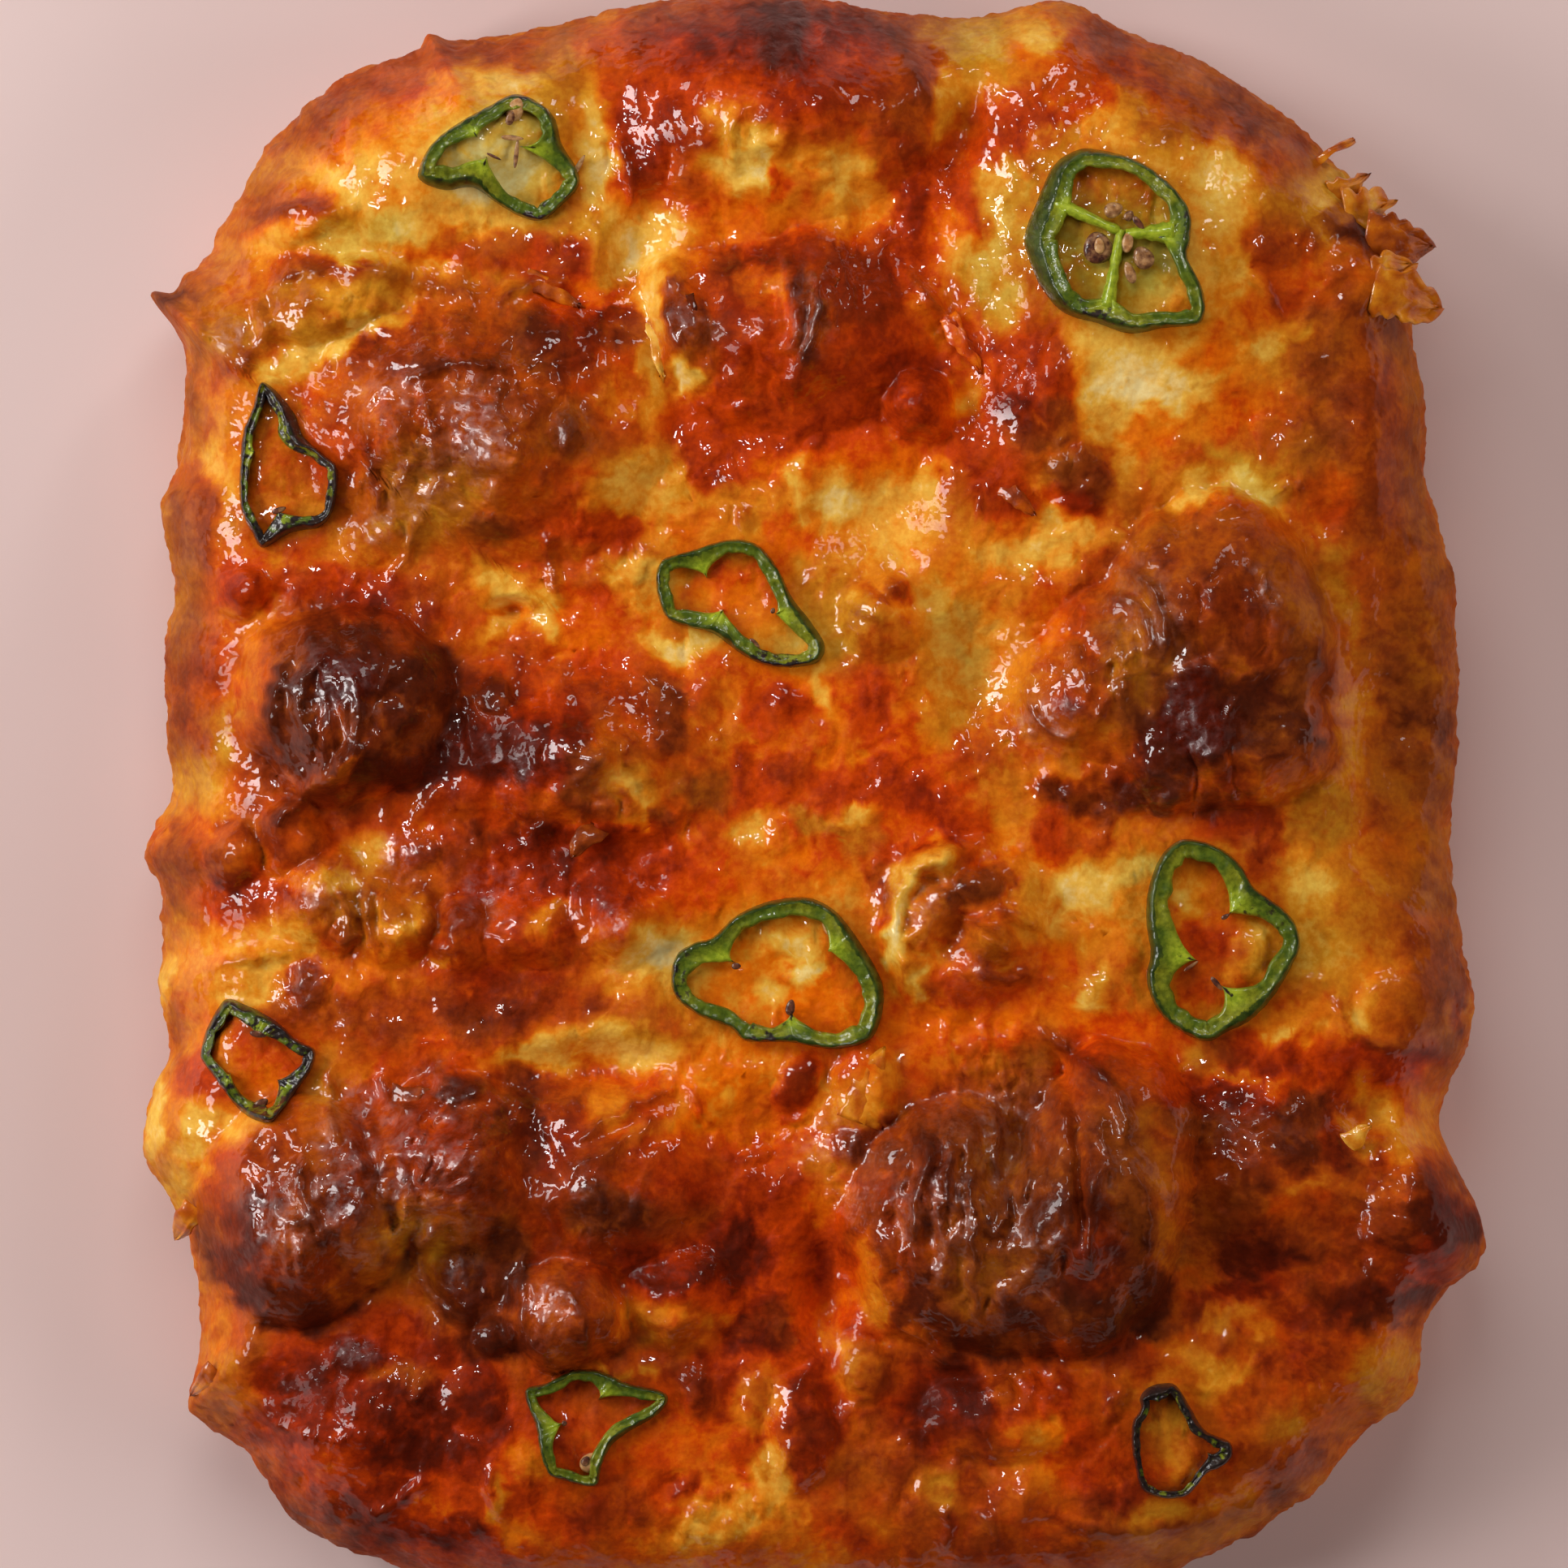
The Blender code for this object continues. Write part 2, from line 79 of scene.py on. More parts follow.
# Each form of the crust begins with its oval: x, y, half-width, half-length, turn in degrees.
# Broad rises: oval, height. Bubbles: oval, height, and how sharply they stand off the crust, from 0 to 1.
SWELLS = (
    (-55, 96, 28, 15, 30, 5.0), (48, 79, 33, 35, 0, 6.0), (33, 58, 13, 17, 0, 4.0),
    (-68, -92, 16, 12, 25, 4.0), (67, -55, 16, 16, 0, 6.0), (84, 56, 9, 18, 0, 3.0),
    (83, 84, 9, 14, 20, 3.5), (-42, -96, 22, 10, 0, 2.5), (-26, -18.5, 7, 7, 0, 2.5),
    (-67, -49, 8, 8, 0, 3.0), (-51, -52, 7, 7, 0, 2.4), (-76, -66, 7, 7, 0, 2.0), (-62, 54, 6, 6, 0, 2.0),
    (-43.5, 50, 7, 7.5, 0, 3.2), (-33, 8, 6, 6, 0, 2.0), (52, 28, 6, 7, 0, 1.6), (-65, -60, 9, 13, 0, 4.0),
    (38, -58, 10, 20, 0, 3.0), (-47, -60, 9, 10, 0, 2.0),
)
BUBBLES = (
    (-4, 103, 24, 17, 0, 8.0, 0.2), (-48, 56, 28, 21, -5, 10.5, 0.3), (-2, 70, 21, 16, 0, 9.5, 0.1),
    (-19, 72, 6, 9, 20, 7.0, 0.4), (16, 60, 6, 6, 0, 7.5, 0.3), (-76, 86, 10, 3.5, 15, 3.0, 0.4),
    (-71, 75, 12, 4.5, 25, 4.0, 0.4), (-69, 15, 16, 15, 0, 13.0, 0.7), (-37, 7, 24, 14, -5, 8.0, 0.0),
    (-84, 31, 4.5, 4.5, 0, 3.5, 0.8), (-76, -5, 6, 6, 0, 4.5, 0.4), (-86, -8, 5, 5, 0, 4.0, 0.6),
    (11, 28, 6, 8, 0, 4.0, 0.3), (60, 26, 17.5, 20, 0, 13.5, 0.9), (46, 16, 16, 17, -20, 9.5, 0.3),
    (60, 9, 18, 11, 5, 10.0, 0.9), (-72, -14, 7, 8, 0, 5.0, 0.3), (-62, -18, 7, 7, 0, 5.0, 0.3),
    (-52, -19, 6, 6, 0, 4.5, 0.3), (-42, -19, 8, 6, 0, 4.0, 0.2), (-29, -17, 7, 8, 0, 4.0, 0.3),
    (23, -18, 12, 13, 0, 5.5, 0.4), (-76, -61, 15, 17, 0, 12.0, 0.8), (-53, -53, 15, 14, 0, 11.0, 0.3),
    (-31, -56, 17, 15, 0, 8.0, 0.0), (-37, -76, 10, 8, 0, 9.0, 0.8), (-19, -73, 9, 8, 0, 5.5, 0.3),
    (20, -62, 15, 19, 0, 13.0, 0.5), (43, -58, 14, 24, -12, 15.0, 1.0), (32, -66, 18, 16, 0, 13.0, 0.8),
    (8, -42, 5, 7, 0, 4.0, 0.4), (91, -65, 10, 14, 0, 4.0, 0.8), (-2, -93, 4.5, 8.5, 0, 4.0, 0.4),
    (30, -91, 14, 7, 0, 4.0, 0.3), (32, -101, 6, 6, 0, 3.0, 0.3),
)

# Broad dips: oval, depth
HOLLOWS = (
    (10, 43, 16, 10, 0, 4.5), (-25, 83, 7, 14, -20, 4.0), (22, 100, 6, 12, -15, 4.0),
    (-43, 28, 4.5, 3.5, 0, 2.5), (25, 20, 9, 16, 0, 4.0), (86, 11, 13, 42, 0, 8.0),
    (-34, -39, 20, 6, 5, 4.5), (21, -19, 6, 7, 0, 4.0), (-6, -48, 11, 10, 0, 3.0), (82, -46, 7, 8, 0, 4.5),
    (2, -72, 7, 13, 0, 5.0), (-94, -3, 6, 8, 0, 3.0),
)

# Small blisters and, below 0, pits: oval, height
BLISTERS = (
    (-47, 41, 4, 2, 0, 1.2), (-47, 16, 3, 3, 0, 1.8), (-74, -27, 3, 4, 0, 1.5), (-58, -7, 3, 3, 0, 1.2),
    (-52, -42, 4, 2.6, 0, 1.6), (-76, -62, 1.1, 1.1, 0, 1.0), (37, -67, 1.5, 2, 0, -1.5),
    (-47, -79, 3.4, 3.2, 0, 2.2), (-28, -18, 4, 5, 0, 1.2), (-2, -41, 3, 5.5, -35, 1.8),
    (12.5, 32, 2.2, 2, 0, 1.8), (9, 29, 3.5, 2.2, 0, 1.2), (-3, 15, 3, 1.8, 0, 0.8),
    (18, -8, 4.5, 2.6, 15, 2.2), (18, -17, 4, 5.5, -25, 2.4), (27, -21, 4, 3.5, 0, 2.0),
    (25, -12, 4, 3, 0, 1.8), (33, -14, 4, 5, 0, 1.5), (8, -84, 4, 5, 0, 1.8), (13, -76, 2, 1.5, 0, 1.0),
    (28, -87, 2.6, 2, 0, 1.0), (6, -51, 3.4, 3, 0, 1.6), (12, -52, 3, 2.6, 0, 1.4),
    (12, -46.5, 2, 1.6, 0, 1.0), (17, -51, 2.4, 3, 0, 1.2), (22, -48, 3, 4, 0, 1.4),
    (80, -49, 3, 3.4, 20, 1.0), (87, -30, 7, 5.5, 0, 1.6), (40, 48, 5, 5, 0, 1.6), (88, 7, 4, 3, 0, 0.8),
    (93, -20, 3, 2, 0, 0.8), (42, -28, 3.4, 3.2, 0, 1.0), (65, -22, 3, 4, 0, 1.2), (4, 87, 3, 3.5, 0, 1.0),
    (-48, 53, 4, 5, 0, 1.5), (-36, 55, 3, 4, 0, 1.2), (-65, 39, 5, 4, 0, 1.2), (-40, -5, 3, 2, 40, 1.0),
    (-50, -16, 4, 2.5, 20, 1.0), (-55, -22, 1.6, 1.6, 0, 0.8), (-10, 42, 1.3, 3, 15, 1.0),
    (-13, 47, 1.2, 2.4, 40, 0.8), (-45, 29, 3.4, 1.9, 5, -2.4), (24, -36, 3, 2, 0, 1.0),
    (-67, -82, 4, 3, 0, 1.2), (-50, -88, 5, 5, 0, 1.4), (-17, -87, 2.5, 4, 10, 1.3),
    (-8, -88, 2.5, 4, 0, 1.0), (-21, 101, 3, 4, 0, 1.0), (-25, 95, 4, 5, 0, 1.2), (69, 82, 4, 3, 0, 0.8),
    (76, 42, 3, 3, 0, -1.2), (-92, -8, 4, 5, 0, 1.5), (-86, 69, 3, 4, 0, 1.2), (95, -31, 1.6, 3, 0, -2.0),
    (84, 86, 4, 2.5, -20, -3.0),
)

# Folds and, below 0, grooves: width, height, and the points that their crest passes through
FOLDS = (
    (2.0, 1.6, (-87, 84), (-80, 87.5), (-74, 88.5), (-68, 85.5)),
    (2.2, 1.6, (-80, 75), (-75, 79), (-67, 79.5), (-58, 77), (-50, 76)),
    (1.8, 1.4, (-88, 64), (-84, 65.5), (-81, 69), (-82, 75)),
    (1.5, 1.3, (-91, 75), (-90.5, 69), (-92, 62), (-91, 54)),
    (1.6, 1.5, (-47, 74), (-43, 76.5), (-38, 77), (-35, 75)),
    (1.2, 1.2, (-22, 75), (-21, 70), (-18.5, 66), (-17, 61)),
    (1.4, 1.6, (-2, 80), (-3, 75), (-2, 70), (-4, 66)),
    (1.4, 1.6, (1, 79), (1, 73), (0, 68), (-2, 64)),
    (1.3, 1.4, (14, 79), (18, 74), (22, 70), (25, 65)),
    (1.5, 1.4, (-6, 119), (-6, 113), (-7, 108)),
    (1.5, 1.4, (-2, 119), (-2.5, 112), (-4, 107)),
    (1.5, 1.2, (2, 119), (2, 113), (0, 108)),
    (2.0, 1.6, (4, 119), (11, 115), (15, 109), (17, 103)),
    (1.2, 1.0, (-10, 103), (-12, 98), (-11, 93)),
    (1.2, 1.2, (-29, 99), (-27, 94), (-26, 88)),
    (1.2, 1.2, (64, 79), (67, 76), (70, 71)),
    (1.0, 0.9, (67, 45), (70, 46.5), (73, 47.2)),
    (1.3, 1.4, (-66, 57), (-65, 50), (-64, 44), (-61, 40)),
    (1.2, 1.3, (-62, 58), (-60, 51), (-60.5, 45)),
    (1.2, 1.3, (-57.5, 62), (-56, 55), (-55.5, 48)),
    (1.2, 1.0, (-58, 42), (-59.5, 37), (-62, 32)),
    (1.2, 1.2, (-39, 40), (-38.5, 35), (-37, 29)),
    (1.6, 1.3, (-60, 63), (-52, 65), (-44, 64)),
    (1.5, 1.6, (-71, 22), (-75, 19), (-75.5, 13), (-73, 8)),
    (1.5, 1.4, (-78, 20), (-80, 14), (-78, 8), (-75, 4)),
    (1.2, 1.2, (-68, 20), (-66.5, 14), (-68, 8)),
    (2.4, 3.0, (-80, -3), (-75, 1), (-70, 4.5), (-66, 9)),
    (1.2, 1.0, (-51, 17), (-50.5, 12), (-50, 7)),
    (1.6, 1.4, (-94, -3), (-96, -9), (-94, -15), (-89, -18)),
    (1.8, 1.4, (-90, -24), (-84, -23), (-77, -22), (-75.5, -26), (-77, -28.5)),
    (1.6, 1.2, (-95, -26), (-94.5, -33), (-93, -40)),
    (1.2, 1.6, (-66.5, -13), (-65.5, -17), (-64.5, -22)),
    (1.2, 1.2, (-70, -12), (-68, -17), (-69, -22)),
    (3.2, 4.2, (24, -8.5), (20, -7.5), (16, -9.5), (13, -13), (12.2, -19), (14, -25), (17, -29)),
    (1.6, 1.6, (23, -17), (26, -20), (31, -22)),
    (1.6, 1.4, (24, -24), (28, -26), (33, -25)),
    (1.4, 1.4, (27, -15), (31, -17), (35, -19)),
    (1.3, 1.4, (-17.5, -42), (-16.5, -45.5), (-14, -47.5)),
    (1.3, 1.6, (-71.5, -39), (-71, -45), (-70, -50)),
    (1.2, 1.4, (-75, -52), (-75, -58), (-72, -63), (-71, -67)),
    (1.4, 1.4, (-64, -40), (-62, -44), (-58, -45.5)),
    (1.6, 2.0, (-59.5, -57), (-60.5, -63), (-64, -69)),
    (1.6, 2.4, (-55, -62), (-57.5, -66), (-57, -71), (-53, -75), (-50, -77)),
    (1.3, 1.4, (-42, -66), (-43, -72), (-42, -79), (-38, -83)),
    (1.2, 1.2, (-38, -70), (-34, -75), (-33, -81)),
    (1.2, 1.0, (-31, -69), (-29, -75), (-31, -80)),
    (1.3, 1.2, (-35, -50), (-27, -45), (-20, -42)),
    (1.3, 1.2, (-36, -54), (-28, -50), (-22, -46)),
    (1.6, 2.0, (33, -33), (38, -36.5), (43, -40), (46, -45), (46.5, -52)),
    (1.3, 1.6, (46.5, -53), (49.5, -58), (50, -64), (48.5, -69)),
    (1.2, 1.4, (42, -45), (43.5, -51), (45, -57)),
    (1.6, -1.8, (36, -36), (38.5, -44), (39.5, -54), (39.5, -66)),
    (1.3, 1.4, (43, -52), (41, -60), (41, -70)),
    (1.2, 1.5, (16, -46), (17, -52), (15, -60), (16, -67)),
    (1.2, 1.5, (20, -46), (20, -54), (19, -62), (21, -69)),
    (1.2, 1.5, (24, -45), (23.5, -53), (24, -62), (24, -71), (25, -80)),
    (1.2, 1.4, (28, -46), (27, -52), (29, -58), (27, -64)),
    (1.2, 1.4, (32, -47), (32, -53), (30, -60)),
    (1.2, 1.4, (46, 35), (50, 32), (52, 26), (51, 19)),
    (1.2, 1.4, (43, 31), (48, 29.5), (50, 25), (50, 19)),
    (1.2, 1.4, (44, 25), (46, 20), (46, 15)),
    (1.2, 1.3, (31, 18), (33, 13), (36, 10), (39, 9.5)),
    (1.0, -0.8, (62, 35), (58, 32), (57, 26), (59, 21), (64, 20), (67, 24), (66.5, 30), (62, 35)),
    (1.0, 1.0, (68.5, 37), (67.5, 34), (67, 30)),
    (1.5, 1.2, (72, 36), (75, 29), (75.5, 21), (77.5, 15)),
    (0.7, -1.2, (55, 9), (57, 4), (56, -2)),
    (0.7, -1.0, (62, 9), (62, 4), (64, 0)),
    (0.7, -1.0, (48, 3), (51, -1), (56, 0)),
    (1.5, 1.2, (80, -33), (83, -35.5), (90, -36), (95, -37)),
    (1.2, 1.0, (77, -28), (79, -32), (80.5, -35)),
    (1.6, 1.2, (34, -105), (45, -108), (60, -106), (72, -101)),
    (1.5, 1.3, (-84, -87), (-79, -92), (-71, -94), (-63, -93.5)),
    (1.4, 1.3, (-47, -98), (-47.5, -102), (-45.5, -106)),
    (1.5, 1.4, (-66, -106), (-61, -103), (-56, -100)),
    (1.6, 1.2, (-88, -96), (-81, -103), (-73, -110)),
    (1.5, 1.6, (10, -77), (15, -78.5), (19, -82), (24, -83.5)),
    (1.2, 1.2, (20, -104), (20.5, -108), (20, -111)),
    (1.2, 1.0, (24, -104), (27, -107), (28, -110)),
)

# Wrinkled skin: an upright oval with the direction of the lines in degrees as its turn, depth, spacing
WRINKLES = (
    (-60, 50, 13, 13, 90, 0.9, 3.2), (-73, 14, 9, 12, 90, 0.9, 3.0), (21, -58, 13, 17, 95, 1.0, 2.6),
    (46, -52, 9, 17, 85, 0.4, 3.5), (-78, -62, 11, 12, 100, 0.6, 2.4), (-55, -52, 11, 10, 60, 0.8, 2.2),
    (42, 18, 12, 12, 70, 0.7, 2.8), (-38, -74, 8, 9, 80, 0.5, 2.4), (0, 74, 8, 9, 100, 0.7, 3.0),
    (-4, 112, 14, 8, 92, 0.5, 3.2), (62, 25, 14, 15, 90, 0.25, 3.0), (27, -21, 9, 9, -20, 0.5, 3.0),
    (-93, 10, 6, 50, 90, 0.5, 4.0), (-66, -17, 9, 7, 80, 0.8, 2.2), (60, -48, 15, 9, 10, 0.35, 2.0),
    (90, -66, 11, 13, -30, 0.4, 3.0), (-80, -96, 13, 9, -40, 0.5, 2.6), (50, -108, 28, 6, 8, 0.4, 3.0),
    (72, 98, 14, 6, -40, 0.4, 2.6), (86, 55, 7, 20, 90, 0.3, 3.0), (-45, 64, 18, 6, 5, 0.5, 2.4),
)

# Skin that is covered in small round bumps: oval, height, size of a bump
BUMPS = (
    (-62, -17, 20, 8, 0, 0.9, 3.4), (-10, 62, 14, 7, 0, 0.7, 3.0), (-28, 2, 14, 12, 0, 1.0, 3.6),
    (-6, -50, 13, 10, 0, 0.7, 3.0), (-55, -55, 16, 13, 0, 0.8, 2.8), (-48, 54, 20, 15, 0, 0.7, 3.2),
    (38, 48, 9, 9, 0, 0.9, 3.2), (40, -90, 11, 12, 0, 0.6, 2.6), (-12, -106, 15, 7, 0, 0.9, 2.8),
    (-72, 97, 10, 9, 0, 0.7, 3.0), (-72, 74, 10, 6, 0, 0.7, 2.6), (-60, -91, 9, 6, 0, 0.8, 2.4),
    (-70, -103, 14, 8, 0, 0.6, 2.6), (42, 3, 16, 7, 0, 0.9, 3.0), (28, -42, 10, 6, 0, 0.8, 2.8),
    (68, -48, 14, 10, 0, 0.5, 2.4), (-45, -4, 20, 8, 0, 0.7, 3.0), (-30, 38, 10, 8, 0, 0.6, 3.0),
    (78, 86, 8, 10, 0, 0.8, 3.2), (-2, 103, 26, 16, 0, 0.35, 2.6),
)
FIRST_BUMP_SEED = 100

# Taut or matt skin without wrinkles: oval, how calm
CALM = (
    (63, 31, 14, 13, 0, 0.85), (46, -54, 9, 20, 0, 0.8), (-39, -74, 6, 7, 0, 0.6), (86, -29, 9, 7, 0, 0.8),
    (84, 55, 11, 24, 0, 0.7), (92, 10, 8, 30, 0, 0.6), (80, -15, 10, 12, 0, 0.4), (85, -85, 8, 8, 0, 0.6),
    (18, -88, 12, 7, 0, 0.6), (-88, -72, 5, 20, 0, 0.7), (-4, 108, 26, 10, 0, 0.5),
    (54, -66, 8, 14, 0, 0.5), (-88, 20, 7, 40, 0, 0.5), (60, -106, 25, 6, 12, 0.5),
    (-84, -19, 11, 4, 0, 0.7), (50, 62, 20, 10, 0, 0.5), (-78, -75, 12, 7, 0, 0.5), (14, 41, 12, 6, 0, 0.4),
    (-70, 98, 14, 14, 40, 0.3), (-29, -17, 4, 4, 0, 0.8), (-71, -47, 5, 4, 0, 0.8),
    (-54, -50.5, 4, 4, 0, 0.7), (-79, -64.5, 4, 4, 0, 0.6), (-65, 55.5, 4, 4, 0, 0.6),
    (-47.5, 52.5, 4, 5, 0, 0.7),
)

# Colour of the crust, laid on in order: oval, browning, redness.
# Browning runs from 0, pale cream, to 1, nearly black.
# Redness runs from 0, straw and olive, to 1, orange and rust.
# The darkest dabs along the near, lower sides of the tall bubbles, at (58, 10), (60, 15), (51, 11), (-77,
# -75), (45, -75) and (50, -73), are partly browning and partly painted shade.
WASHES = (
    (-70, 98, 22, 20, 40, 0.36, 0.5), (-48, 98, 16, 14, 20, 0.2, 0.15), (-4, 108, 26, 14, 0, 0.66, 0.8),
    (-25, 100, 8, 14, 0, 0.55, 0.95), (15, 112, 5, 8, -30, 0.6, 0.5), (24, 112, 8, 8, 0, 0.3, 0.05),
    (30, 102, 12, 5, 22, 0.52, 1.0), (48, 88, 22, 20, 0, 0.2, 0.15), (60, 102, 20, 8, -30, 0.48, 0.45),
    (80, 62, 10, 22, 0, 0.62, 0.5), (50, 62, 18, 9, 0, 0.2, 0.2), (-45, 56, 30, 22, -5, 0.66, 0.85),
    (-4, 72, 20, 15, 0, 0.66, 0.9), (-26, 78, 12, 12, 0, 0.3, 0.4), (30, 55, 12, 14, 0, 0.6, 0.9),
    (-4, 56, 24, 7, 0, 0.58, 1.0), (-22, 46, 14, 8, 0, 0.34, 0.5), (10, 42, 18, 8, 0, 0.2, 0.2),
    (-70, 15, 18, 17, 0, 0.85, 0.6), (-38, 12, 22, 14, 0, 0.66, 0.85), (-50, 30, 18, 8, 0, 0.42, 0.6),
    (-88, 30, 10, 34, 0, 0.42, 0.6), (0, 20, 14, 14, 0, 0.45, 0.9), (22, 18, 10, 18, 0, 0.32, 0.3),
    # Partly painted shade: the dark wash (58, 10) under the bubble's lower side
    (55, 23, 22, 22, 0, 0.58, 0.55), (58, 10, 22, 9, -5, 0.85, 0.6), (86, 20, 12, 45, 0, 0.5, 0.4),
    (-55, -12, 30, 14, 0, 0.58, 0.9), (-84, -20, 14, 8, 0, 0.26, 0.3), (-10, -2, 30, 8, -10, 0.5, 0.9),
    (-5, -26, 20, 14, 0, 0.42, 0.9), (20, -18, 14, 14, 0, 0.5, 0.7), (45, -15, 18, 12, 0, 0.3, 0.4),
    (78, -12, 16, 24, 0, 0.36, 0.25), (-55, -36, 26, 9, 0, 0.52, 0.85), (-90, -40, 10, 20, 0, 0.36, 0.6),
    (-60, -58, 32, 18, 0, 0.74, 0.75), (-30, -60, 22, 14, 0, 0.66, 0.8), (-10, -48, 12, 12, 0, 0.48, 1.0),
    (31, -60, 27, 23, 0, 0.78, 0.6), (66, -52, 18, 12, 0, 0.64, 0.6), (62, -38, 18, 6, 0, 0.45, 0.8),
    (90, -64, 12, 14, 0, 0.6, 0.5), (0, -75, 10, 12, 0, 0.52, 1.0), (-70, -92, 24, 16, 0, 0.55, 0.8),
    (-40, -104, 26, 12, 0, 0.52, 0.9), (-15, -98, 18, 14, 0, 0.42, 0.9), (18, -94, 18, 12, 0, 0.55, 0.7),
    (42, -93, 14, 10, 0, 0.5, 1.0), (64, -88, 18, 12, 0, 0.42, 0.5), (60, -108, 30, 6, 12, 0.5, 0.5),
    (0, -113, 50, 6, 0, 0.55, 0.6), (90, 70, 8, 26, 10, 0.6, 0.25), (92, 25, 7, 30, 0, 0.62, 0.3),
    (94, -25, 5, 20, 0, 0.58, 0.3), (72, 100, 24, 7, -45, 0.5, 0.25), (40, 116, 20, 5, -15, 0.52, 0.5),
    (-78, 100, 20, 7, 45, 0.5, 0.3), (-50, 112, 20, 4, 15, 0.5, 0.45), (-95, 40, 4, 40, 0, 0.46, 0.35),
)
